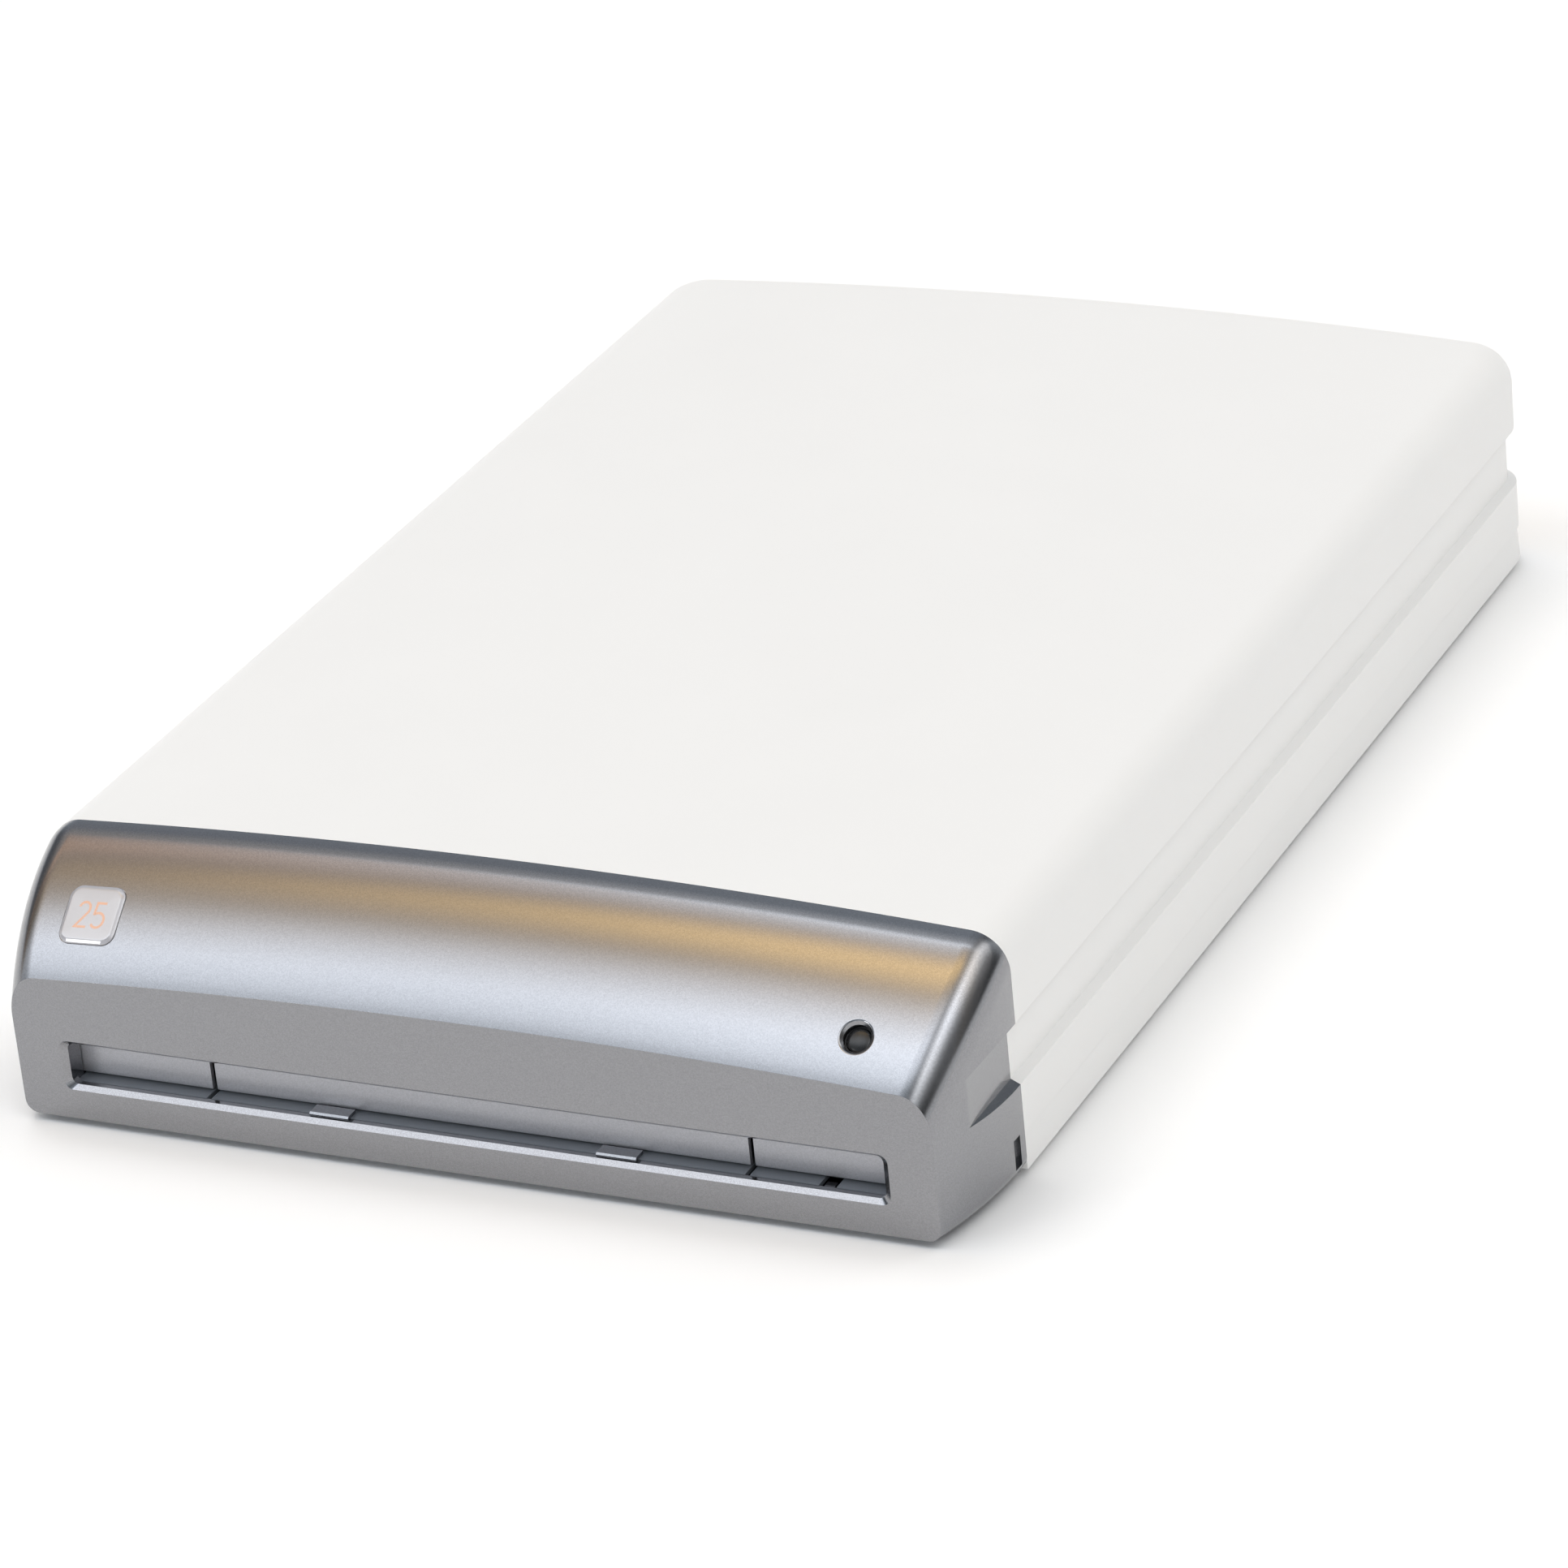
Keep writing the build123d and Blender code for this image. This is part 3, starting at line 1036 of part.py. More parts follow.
def make_linear_bushes():
    """Two plain bushes that run on the rails."""
    near, far = beam_limits()
    bush = rod_y(near, far, BUSH_RADIUS, RAIL_X, RAIL_Z)
    bush -= rod_y(near - CUT_OVERRUN, far + CUT_OVERRUN, RAIL_RADIUS + RUNNING_GAP, RAIL_X, RAIL_Z)
    return both_sides(bush)


def make_plate_gripper():
    """Jaw bar under the beam's front that holds the plate's edge."""
    near = beam_limits()[0]
    low, high = GRIPPER_Z
    front = near - GRIPPER_REACH
    mouth_z = low + GRIPPER_JAW
    points = [(near + GRIPPER_DEPTH, high), (near, high), (front, mouth_z + GRIPPER_MOUTH + GRIPPER_JAW),
              (front, mouth_z + GRIPPER_MOUTH), (near, mouth_z + GRIPPER_MOUTH), (near, mouth_z),
              (front, mouth_z), (front + GRIPPER_JAW, low), (near + GRIPPER_DEPTH, low)]
    face = Plane.YZ * make_face(Polyline(*points, close=True))
    return extrude(face, amount=GRIPPER_HALF_WIDTH, both=True)


def belt_heights():
    """Lower and upper face of the belt's upper run."""
    low = PULLEY_Z + PULLEY_RADIUS + BELT_GAP
    return low, low + BELT_THICKNESS


def make_belt_clamp():
    """Clamp on the beam's right end, closed round the belt's upper run."""
    half = MID_SHARE * CLAMP_DEPTH
    low, high = belt_heights()
    body = block((BEAM_HALF_WIDTH, BEAM_HALF_WIDTH + CLAMP_WIDTH),
                 (CARRIAGE_Y - half, CARRIAGE_Y + half), (low - CLAMP_WALL, BEAM_Z[1]))
    reach = MID_SHARE * BELT_WIDTH + CLAMP_BELT_GAP
    return body - block((BELT_X - reach, BELT_X + reach), (CARRIAGE_Y - BEAM_DEPTH, CARRIAGE_Y + BEAM_DEPTH),
                        (low - CLAMP_BELT_GAP, high + CLAMP_BELT_GAP))


def stadium(radius, low_x, high_x):
    """Racetrack solid round both pulleys, lying along Y."""
    sketch = Pos(MID_SHARE * (IDLER_Y + DRIVE_Y), PULLEY_Z) * SlotCenterToCenter(DRIVE_Y - IDLER_Y, 2 * radius)
    return Pos(low_x, 0, 0) * extrude(Plane.YZ * sketch, amount=high_x - low_x)


def make_drive_belt():
    """Endless belt round the drive pulley and the idler."""
    half = MID_SHARE * BELT_WIDTH
    inner = PULLEY_RADIUS + BELT_GAP
    loop = stadium(inner + BELT_THICKNESS, BELT_X - half, BELT_X + half)
    return loop - stadium(inner, BELT_X - half - CUT_OVERRUN, BELT_X + half + CUT_OVERRUN)


def pulley(y):
    """Flanged pulley body on an X axis."""
    half = MID_SHARE * BELT_WIDTH + PULLEY_SIDE_GAP
    body = rod_x(BELT_X - half, BELT_X + half, PULLEY_RADIUS, y, PULLEY_Z)
    for side in (-1, 1):
        inner = BELT_X + side * half
        body += rod_x(inner, inner + side * PULLEY_FLANGE, PULLEY_FLANGE_RADIUS, y, PULLEY_Z)
    return body


def make_drive_pulley():
    """Pulley pressed on the motor's shaft, which turns with it."""
    end = BELT_X + MID_SHARE * BELT_WIDTH + PULLEY_SIDE_GAP + PULLEY_FLANGE
    return pulley(DRIVE_Y) + rod_x(MOTOR_FACE_X - MOTOR_BOSS, end, SHAFT_RADIUS, DRIVE_Y, PULLEY_Z)


def make_transport_motor():
    """Square stepper motor with end caps, front boss and a bore for its shaft."""
    low = MOTOR_FACE_X - MOTOR_LENGTH
    section = RectangleRounded(MOTOR_SIZE, MOTOR_SIZE, MOTOR_CORNER)
    body = extrude(Plane.YZ * section, amount=MOTOR_LENGTH)
    step = MOTOR_CAP_STEP
    core = RectangleRounded(MOTOR_SIZE, MOTOR_SIZE, MOTOR_CORNER) - RectangleRounded(
        MOTOR_SIZE - 2 * step, MOTOR_SIZE - 2 * step, MOTOR_CORNER - step)
    cap = MOTOR_CAP_SHARE * MOTOR_LENGTH
    body -= Pos(cap, 0, 0) * extrude(Plane.YZ * core, amount=MOTOR_LENGTH - 2 * cap)
    body = Pos(low, DRIVE_Y, PULLEY_Z) * body
    body += rod_x(MOTOR_FACE_X, MOTOR_FACE_X + MOTOR_BOSS, MOTOR_BOSS_RADIUS, DRIVE_Y, PULLEY_Z)
    return body - rod_x(MOTOR_FACE_X - MOTOR_BOSS - SHAFT_END_GAP, MOTOR_FACE_X + CUT_OVERRUN,
                        SHAFT_RADIUS + RUNNING_GAP, DRIVE_Y, PULLEY_Z)


def make_idler_pulley():
    """Idler pulley with its running bore."""
    reach = BELT_WIDTH + CUT_OVERRUN
    return pulley(IDLER_Y) - rod_x(BELT_X - reach, BELT_X + reach, IDLER_PIN_RADIUS + RUNNING_GAP,
                                   IDLER_Y, PULLEY_Z)


def make_idler_bracket():
    """Plate on the chassis floor beside the flange, with the idler's pin."""
    flange = CHASSIS_HALF_WIDTH - CHASSIS_SHEET
    inner = flange - IDLER_PLATE
    half = MID_SHARE * IDLER_PLATE_HEIGHT
    plate = block((inner, flange), (IDLER_Y - half, IDLER_Y + half), (CHASSIS_Z + CHASSIS_BEND, PULLEY_Z + half))
    pulley_end = BELT_X - MID_SHARE * BELT_WIDTH - PULLEY_SIDE_GAP - PULLEY_FLANGE
    return plate + rod_x(pulley_end, inner, IDLER_PIN_RADIUS, IDLER_Y, PULLEY_Z)


def make_optics_bench():
    """Plate across the chassis lips, slit for the scan line and for the light collector."""
    plate = block((-BENCH_HALF_WIDTH, BENCH_HALF_WIDTH), (BENCH_FRONT_Y, BENCH_REAR_Y), BENCH_Z)
    plate = fillet(plate.edges().filter_by(Axis.Z), BENCH_CORNER)
    half = MID_SHARE * SCAN_SLIT_DEPTH
    over = (BENCH_Z[0] - CUT_OVERRUN, BENCH_Z[1] + CUT_OVERRUN)
    plate -= block((-SCAN_HALF_WIDTH, SCAN_HALF_WIDTH), (SCAN_Y - half, SCAN_Y + half), over)
    gap = COLLECTOR_SLIT_GAP
    plate -= block((-SCAN_HALF_WIDTH - gap, SCAN_HALF_WIDTH + gap),
                   (COLLECTOR_Y, COLLECTOR_Y + COLLECTOR_THICKNESS + gap), over)
    return plate


def make_polygon_motor():
    """Low round motor with its spindle, under the polygon mirror."""
    top = LASER_LINE_Z - MID_SHARE * POLYGON_HEIGHT - POLYGON_HUB_HEIGHT - SPIN_GAP
    base = rod_z(BENCH_Z[1], top, POLYGON_BASE_RADIUS, 0, POLYGON_Y)
    base = fillet(base.edges().group_by(Axis.Z)[-1], MID_SHARE * POLYGON_SHAFT_RADIUS)
    return base + rod_z(top, LASER_LINE_Z, POLYGON_SHAFT_RADIUS, 0, POLYGON_Y)


def make_polygon_mirror():
    """Eight-sided mirror with a hub on each face, bored for the spindle."""
    low = LASER_LINE_Z - MID_SHARE * POLYGON_HEIGHT
    facets = extrude(RegularPolygon(POLYGON_RADIUS, POLYGON_FACE_COUNT), amount=POLYGON_HEIGHT)
    mirror_part = Pos(0, POLYGON_Y, low) * facets
    high = low + POLYGON_HEIGHT + POLYGON_HUB_HEIGHT
    mirror_part += rod_z(low - POLYGON_HUB_HEIGHT, high, POLYGON_HUB_RADIUS, 0, POLYGON_Y)
    return mirror_part - rod_z(low - POLYGON_HEIGHT, LASER_LINE_Z + SPIN_GAP,
                               POLYGON_SHAFT_RADIUS + RUNNING_GAP, 0, POLYGON_Y)


def lens_bar(width, y):
    """Meniscus bar lens on a low base, bowed away from the polygon."""
    half = MID_SHARE * width
    low = LASER_LINE_Z - MID_SHARE * LENS_HEIGHT
    front = ThreePointArc((-half, y), (0, y - LENS_BOW), (half, y))
    rear_y = y + LENS_DEPTH
    rear = ThreePointArc((half, rear_y), (0, rear_y - MID_SHARE * LENS_BOW), (-half, rear_y))
    outline = [front, Line((half, y), (half, rear_y)), rear, Line((-half, rear_y), (-half, y))]
    return Pos(0, 0, low) * extrude(make_face(outline), amount=LENS_HEIGHT)


def make_scan_lenses():
    """The two scan lenses in the beam's way."""
    lenses = Part()
    for width, y in zip(LENS_WIDTHS, LENS_PLACES_Y):
        lenses += lens_bar(width, y)
    return lenses


def make_lens_cradles():
    """Low cradles on the bench that carry the two lenses."""
    cradles = Part()
    low = LASER_LINE_Z - MID_SHARE * LENS_HEIGHT
    for width, y in zip(LENS_WIDTHS, LENS_PLACES_Y):
        half = MID_SHARE * width + LENS_BASE
        cradle = block((-half, half), (y - LENS_BASE, y + LENS_DEPTH + LENS_BASE), (BENCH_Z[1], low))
        inset = MID_SHARE * width - LENS_DEPTH
        cradle -= block((-inset, inset), (y - LENS_BOW, y + LENS_DEPTH + LENS_BOW),
                        (BENCH_Z[1] + LENS_BASE, low - MID_SHARE * LENS_BASE))
        cradles += cradle
    return cradles


def make_laser_module():
    """Finned block on the bench with a barrel aimed at the polygon."""
    half_x = MID_SHARE * LASER_BLOCK[0]
    half_y = MID_SHARE * LASER_BLOCK[1]
    high = BENCH_Z[1] + LASER_BLOCK_HEIGHT
    body = block((LASER_X - half_x, LASER_X + half_x), (POLYGON_Y - half_y, POLYGON_Y + half_y),
                 (BENCH_Z[1], high))
    pitch = LASER_BLOCK[1] / LASER_FIN_COUNT
    for index in range(LASER_FIN_COUNT):
        middle = POLYGON_Y - half_y + (index + MID_SHARE) * pitch
        quarter = MID_SHARE * MID_SHARE * pitch
        body -= block((LASER_X - half_x - CUT_OVERRUN, LASER_X + half_x + CUT_OVERRUN),
                      (middle - quarter, middle + quarter), (high - LASER_FIN_DEPTH, high + CUT_OVERRUN))
    end = LASER_X + half_x + LASER_BARREL_LENGTH
    barrel = rod_x(LASER_X + half_x, end, LASER_BARREL_RADIUS, POLYGON_Y, LASER_LINE_Z)
    barrel -= rod_x(end - LASER_BARREL_RADIUS, end + CUT_OVERRUN, MID_SHARE * LASER_BARREL_RADIUS,
                    POLYGON_Y, LASER_LINE_Z)
    return body + barrel


def make_fold_mirror():
    """Long strip mirror at 45 degrees over the scan line."""
    strip = Box(2 * SCAN_HALF_WIDTH, FOLD_WIDTH, FOLD_THICKNESS)
    lift = MID_SHARE * FOLD_THICKNESS / math.cos(math.radians(FOLD_ANGLE))
    return Pos(0, SCAN_Y - lift, LASER_LINE_Z) * Rot(180 - FOLD_ANGLE, 0, 0) * strip


def make_mirror_brackets():
    """Two end brackets with a slanted seat for the fold mirror."""
    half = MID_SHARE * FOLD_BRACKET_DEPTH
    arm = block((SCAN_HALF_WIDTH, SCAN_HALF_WIDTH + FOLD_BRACKET), (SCAN_Y - half, SCAN_Y + half),
                (BENCH_Z[1], LASER_LINE_Z + FOLD_BRACKET_RISE))
    top = arm.edges().filter_by(Axis.X).group_by(Axis.Z)[-1]
    return both_sides(chamfer(top, MID_SHARE * half))


def make_light_collector():
    """Clear blade that gathers the plate's light and narrows towards the photomultiplier."""
    low = BENCH_Z[0] - COLLECTOR_DROP
    shoulder = BENCH_Z[1] + COLLECTOR_SHOULDER
    top = TUBE_Z + COLLECTOR_RISE
    points = [(-SCAN_HALF_WIDTH, low), (SCAN_HALF_WIDTH, low), (SCAN_HALF_WIDTH, shoulder),
              (COLLECTOR_NECK, top), (-COLLECTOR_NECK, top), (-SCAN_HALF_WIDTH, shoulder)]
    face = Plane.XZ * make_face(Polyline(*points, close=True))
    return Pos(0, COLLECTOR_Y + COLLECTOR_THICKNESS, 0) * extrude(face, amount=COLLECTOR_THICKNESS)


def make_photomultiplier():
    """Light sensor tube against the collector's neck, on a saddle foot."""
    end = COLLECTOR_Y - TUBE_LENGTH
    tube = rod_y(end, COLLECTOR_Y, TUBE_RADIUS, 0, TUBE_Z)
    tube += rod_y(end, end + TUBE_BASE_LENGTH, TUBE_BASE_RADIUS, 0, TUBE_Z)
    half = MID_SHARE * TUBE_FOOT
    middle = COLLECTOR_Y - MID_SHARE * TUBE_LENGTH
    return tube + block((-half, half), (middle - half, middle + half), (BENCH_Z[1], TUBE_Z))


def make_eraser_lamp():
    """Lamp bar under the bench, with a row of small lenses that face the plate."""
    half = MID_SHARE * LAMP_DEPTH
    bar = block((-SCAN_HALF_WIDTH, SCAN_HALF_WIDTH), (LAMP_Y - half, LAMP_Y + half), (LAMP_LOW_Z, BENCH_Z[0]))
    pitch = 2 * SCAN_HALF_WIDTH / LAMP_COUNT
    size = MID_SHARE * half
    for index in range(LAMP_COUNT):
        x = (index + MID_SHARE) * pitch - SCAN_HALF_WIDTH
        bar += block((x - size, x + size), (LAMP_Y - size, LAMP_Y + size), (LAMP_LOW_Z - LAMP_LENS_DROP, LAMP_LOW_Z))
    return bar


def make_home_sensor():
    """Fork sensor on the chassis behind the bed, beside the left rail."""
    x = SENSOR_SIZE - RAIL_X
    half = MID_SHARE * SENSOR_SIZE
    near = BED_REAR_Y + SENSOR_GAP
    top = CHASSIS_Z + SENSOR_HEIGHT
    body = block((x - half, x + half), (near, near + SENSOR_DEPTH), (CHASSIS_Z, top))
    slot = block((x - MID_SHARE * SENSOR_SLOT, x + MID_SHARE * SENSOR_SLOT),
                 (near - CUT_OVERRUN, near + SENSOR_DEPTH + CUT_OVERRUN), (top - SENSOR_SLOT, top + CUT_OVERRUN))
    return body - slot


def board_corners():
    """Places of the board's four standoffs."""
    xs = (BOARD_X[0] + STANDOFF_INSET, BOARD_X[1] - STANDOFF_INSET)
    ys = (BOARD_Y[0] + STANDOFF_INSET, BOARD_Y[1] - STANDOFF_INSET)
    return [(x, y) for x in xs for y in ys]


def make_main_board():
    """Circuit board."""
    return block(BOARD_X, BOARD_Y, (BOARD_Z, BOARD_Z + BOARD_THICKNESS))


def make_board_standoffs():
    """Four posts under the board."""
    posts = Part()
    for x, y in board_corners():
        posts += rod_z(CHASSIS_Z, BOARD_Z, STANDOFF_RADIUS, x, y)
    return posts


def make_board_parts():
    """Heat sink, chips and connectors on the board."""
    parts = Part()
    top = BOARD_Z + BOARD_THICKNESS
    for (along, across), (length, depth, height) in zip(CHIP_SHARES, CHIP_SIZES):
        x = BOARD_X[0] + along * (BOARD_X[1] - BOARD_X[0])
        y = BOARD_Y[0] + across * (BOARD_Y[1] - BOARD_Y[0])
        parts += block((x - MID_SHARE * length, x + MID_SHARE * length),
                       (y - MID_SHARE * depth, y + MID_SHARE * depth), (top, top + height))
    return parts


def make_power_supply():
    """Closed supply box with a row of vent grooves in its lid."""
    box = block(SUPPLY_X, SUPPLY_Y, (CHASSIS_Z, SUPPLY_TOP_Z))
    pitch = (SUPPLY_X[1] - SUPPLY_X[0]) / (SUPPLY_SLOT_COUNT + 1)
    for index in range(SUPPLY_SLOT_COUNT):
        x = SUPPLY_X[0] + (index + 1) * pitch
        box -= block((x - MID_SHARE * SUPPLY_SLOT_WIDTH, x + MID_SHARE * SUPPLY_SLOT_WIDTH),
                     (SUPPLY_Y[0] + pitch, SUPPLY_Y[1] - pitch),
                     (SUPPLY_TOP_Z - SUPPLY_SLOT_DEPTH, SUPPLY_TOP_Z + CUT_OVERRUN))
    return box


def port_places():
    """Middles of the data ports in X."""
    return [ROCKER_X - PORT_GAP - index * PORT_SPACING for index in range(PORT_COUNT)]


def make_rear_panel():
    """Sheet panel inside the bay, cut for the inlet, the rocker, the ports, the fan and vents."""
    low = FLOOR_Z + PANEL_FLOOR_GAP
    high = BAY_Z[1] + PANEL_MARGIN
    panel = slab(2 * (BAY_HALF_WIDTH + PANEL_MARGIN), high - low, BAY_CORNER, PANEL_Y, 0, MID_SHARE * (low + high))
    through = (PANEL_Y[0] - CUT_OVERRUN, PANEL_Y[1] + CUT_OVERRUN)
    panel -= slab(*INLET_SIZE, INLET_CORNER, through, INLET_X, SOCKET_Z)
    panel -= slab(*ROCKER_FRAME_SIZE, ROCKER_FRAME_WALL, through, ROCKER_X, SOCKET_Z)
    for x in port_places():
        panel -= slab(*PORT_SIZE, PORT_WALL, through, x, SOCKET_Z)
    panel -= rod_y(through[0], through[1], FAN_BORE_RADIUS, FAN_X, FAN_Z)
    for index in range(VENT_COUNT):
        x = FAN_X + FAN_BORE_RADIUS + VENT_GAP + index * VENT_SPACING
        panel -= slab(*VENT_SIZE, VENT_CORNER_SHARE * VENT_SIZE[0], through, x, SOCKET_Z)
    return panel


def make_mains_inlet():
    """Flanged inlet with a chamfered cavity and three flat pins."""
    front = PANEL_Y[1] + INLET_FLANGE_THICKNESS
    body = slab(*INLET_FLANGE, INLET_CORNER, (PANEL_Y[1], front), INLET_X, SOCKET_Z)
    body += slab(*INLET_SIZE, INLET_CORNER, (PANEL_Y[1] - INLET_BODY_DEPTH, PANEL_Y[1]), INLET_X, SOCKET_Z)
    mouth = Rectangle(*INLET_CAVITY)
    mouth = chamfer(mouth.vertices().group_by(Axis.Y)[-1], INLET_CHAMFER)
    cavity = Pos(INLET_X, front + CUT_OVERRUN, SOCKET_Z) * extrude(
        Plane.XZ * mouth, amount=INLET_CAVITY_DEPTH + CUT_OVERRUN)
    body -= cavity
    deep = front - INLET_CAVITY_DEPTH
    for index in (-1, 0, 1):
        rise = -MID_SHARE * PIN_RISE if index else MID_SHARE * PIN_RISE
        x = INLET_X + index * PIN_SPACING
        body += block((x - MID_SHARE * PIN_SIZE[0], x + MID_SHARE * PIN_SIZE[0]), (deep, deep + PIN_LENGTH),
                      (SOCKET_Z + rise - MID_SHARE * PIN_SIZE[1], SOCKET_Z + rise + MID_SHARE * PIN_SIZE[1]))
    return body


def rocker_front():
    """Front face of the rocker's frame in Y."""
    return PANEL_Y[1] + ROCKER_FRAME_FLANGE


def make_switch_frame():
    """Snap-in frame of the mains rocker with its pivot pin."""
    front = rocker_front()
    width, height = ROCKER_FRAME_SIZE
    wall = ROCKER_FRAME_WALL
    frame = slab(width + 2 * wall, height + 2 * wall, wall, (PANEL_Y[1], front), ROCKER_X, SOCKET_Z)
    frame += slab(width, height, wall, (PANEL_Y[1] - ROCKER_FRAME_DEPTH, PANEL_Y[1]), ROCKER_X, SOCKET_Z)
    inner_x = MID_SHARE * width - wall
    inner_z = MID_SHARE * height - wall
    frame -= block((ROCKER_X - inner_x, ROCKER_X + inner_x), (front - 2 * ROCKER_DEPTH, front + CUT_OVERRUN),
                   (SOCKET_Z - inner_z, SOCKET_Z + inner_z))
    return frame + rod_x(ROCKER_X - inner_x, ROCKER_X + inner_x, ROCKER_PIN_RADIUS,
                         front - ROCKER_DEPTH, SOCKET_Z)


def make_power_rocker():
    """Rocker key, hollow-faced, tilted to its off position about the pivot pin."""
    width, height = ROCKER_FRAME_SIZE
    half_x = MID_SHARE * width - ROCKER_FRAME_WALL - ROCKER_SIDE_GAP
    half_z = MID_SHARE * height - ROCKER_FRAME_WALL - ROCKER_END_GAP
    face_y = rocker_front()
    pivot_y = face_y - ROCKER_DEPTH
    heel_y = pivot_y - ROCKER_HEEL
    points = [(heel_y, -MID_SHARE * half_z), (face_y, -half_z)]
    upper = [(face_y, half_z), (heel_y, MID_SHARE * half_z)]
    outline = [Line(*points), ThreePointArc(points[1], (face_y - MID_SHARE * ROCKER_HEEL, 0), upper[0]),
               Line(*upper), Line(upper[1], points[0])]
    key = extrude(Plane.YZ * make_face(outline), amount=half_x, both=True)
    key -= rod_x(-half_x - CUT_OVERRUN, half_x + CUT_OVERRUN, ROCKER_PIN_RADIUS + RUNNING_GAP, pivot_y, 0)
    key = Pos(ROCKER_X, 0, SOCKET_Z) * key
    return key.rotate(Axis((ROCKER_X, pivot_y, SOCKET_Z), (1, 0, 0)), ROCKER_ANGLE)


def make_data_ports():
    """Square metal sockets for the data lines."""
    ports = Part()
    width, height = PORT_SIZE
    front = PANEL_Y[1] + PORT_PROUD
    for x in port_places():
        shell = block((x - MID_SHARE * width, x + MID_SHARE * width), (front - PORT_DEPTH, front),
                      (SOCKET_Z - MID_SHARE * height, SOCKET_Z + MID_SHARE * height))
        inner = (MID_SHARE * width - PORT_WALL, MID_SHARE * height - PORT_WALL)
        shell -= block((x - inner[0], x + inner[0]), (front - PORT_DEPTH + 2 * PORT_WALL, front + CUT_OVERRUN),
                       (SOCKET_Z - inner[1], SOCKET_Z + inner[1]))
        ports += shell & slab(width, height, PORT_WALL, (front - PORT_DEPTH, front), x, SOCKET_Z)
    return ports


def make_fan_frame():
    """Square fan frame with its bore, four struts and the rotor's pin."""
    near, far = FAN_Y
    z = FAN_Z
    frame = slab(FAN_SIZE, FAN_SIZE, FAN_CORNER, (near, far), FAN_X, z)
    frame -= rod_y(near - CUT_OVERRUN, far + CUT_OVERRUN, FAN_BORE_RADIUS, FAN_X, z)
    thick = FAN_STRUT
    half = MID_SHARE * FAN_STRUT
    reach = FAN_BORE_RADIUS + half
    frame += block((FAN_X - reach, FAN_X + reach), (near, near + thick), (z - half, z + half))
    frame += block((FAN_X - half, FAN_X + half), (near, near + thick), (z - reach, z + reach))
    frame += rod_y(near, near + thick, FAN_HUB_RADIUS, FAN_X, z)
    return frame + rod_y(near + thick, MID_SHARE * (near + far), FAN_PIN_RADIUS, FAN_X, z)


def make_fan_rotor():
    """Hub with pitched blades on the frame's pin."""
    near, far = FAN_Y
    z = FAN_Z
    low = near + FAN_STRUT + SPIN_GAP
    high = far - SPIN_GAP
    depth = high - low
    tip = FAN_BORE_RADIUS - FAN_TIP_GAP
    rotor = Cylinder(FAN_HUB_RADIUS, depth)
    blade_depth = MID_SHARE * depth / math.cos(math.radians(FAN_BLADE_ANGLE))
    length = tip - MID_SHARE * FAN_HUB_RADIUS
    blade = Pos(tip - MID_SHARE * length, 0, 0) * Rot(FAN_BLADE_ANGLE, 0, 0) * Box(
        length, FAN_BLADE_THICKNESS, blade_depth)
    for index in range(FAN_BLADE_COUNT):
        rotor += Rot(0, 0, index * 360 / FAN_BLADE_COUNT) * blade
    rotor = rotor & Cylinder(tip, depth)
    rotor -= Pos(0, 0, MID_SHARE * depth) * Cylinder(FAN_PIN_RADIUS + RUNNING_GAP, 2 * depth - FAN_STRUT)
    return Pos(FAN_X, MID_SHARE * (low + high), z) * Rot(90, 0, 0) * rotor


def make_fan_guard():
    """Wire guard of rings and spokes behind the panel."""
    z = FAN_Z
    middle = PANEL_Y[1] + MID_SHARE * GUARD_WIRE
    guard = Part()
    for index in range(GUARD_RING_COUNT):
        radius = FAN_BORE_RADIUS * (index + 1) / GUARD_RING_COUNT + MID_SHARE * GUARD_WIRE
        ring = Cylinder(radius + MID_SHARE * GUARD_WIRE, GUARD_WIRE) - Cylinder(
            radius - MID_SHARE * GUARD_WIRE, 2 * GUARD_WIRE)
        guard += Pos(FAN_X, middle, z) * Rot(90, 0, 0) * ring
    reach = FAN_BORE_RADIUS + GUARD_WIRE
    for angle in GUARD_SPOKE_ANGLES:
        spoke = Pos(FAN_X, middle, z) * Rot(0, angle, 0) * Box(2 * reach, GUARD_WIRE, GUARD_WIRE)
        guard += spoke
    return guard


def make_rubber_feet():
    """Four round feet, sunk a little into the case."""
    feet = Part()
    for x, y in foot_places():
        foot = rod_z(0, BODY_Z + FOOT_SINK, FOOT_RADIUS, x, y)
        feet += chamfer(foot.edges().group_by(Axis.Z)[0], FOOT_CHAMFER)
    return feet


def make_case_screws():
    """Screws up through the case into the chassis."""
    screws = Part()
    for x, y in screw_places():
        screws += rod_z(BODY_Z, BODY_Z + SCREW_HEAD, SCREW_HEAD_RADIUS, x, y)
        screws += rod_z(BODY_Z, BODY_Z + SCREW_LENGTH, SCREW_RADIUS, x, y)
    return screws


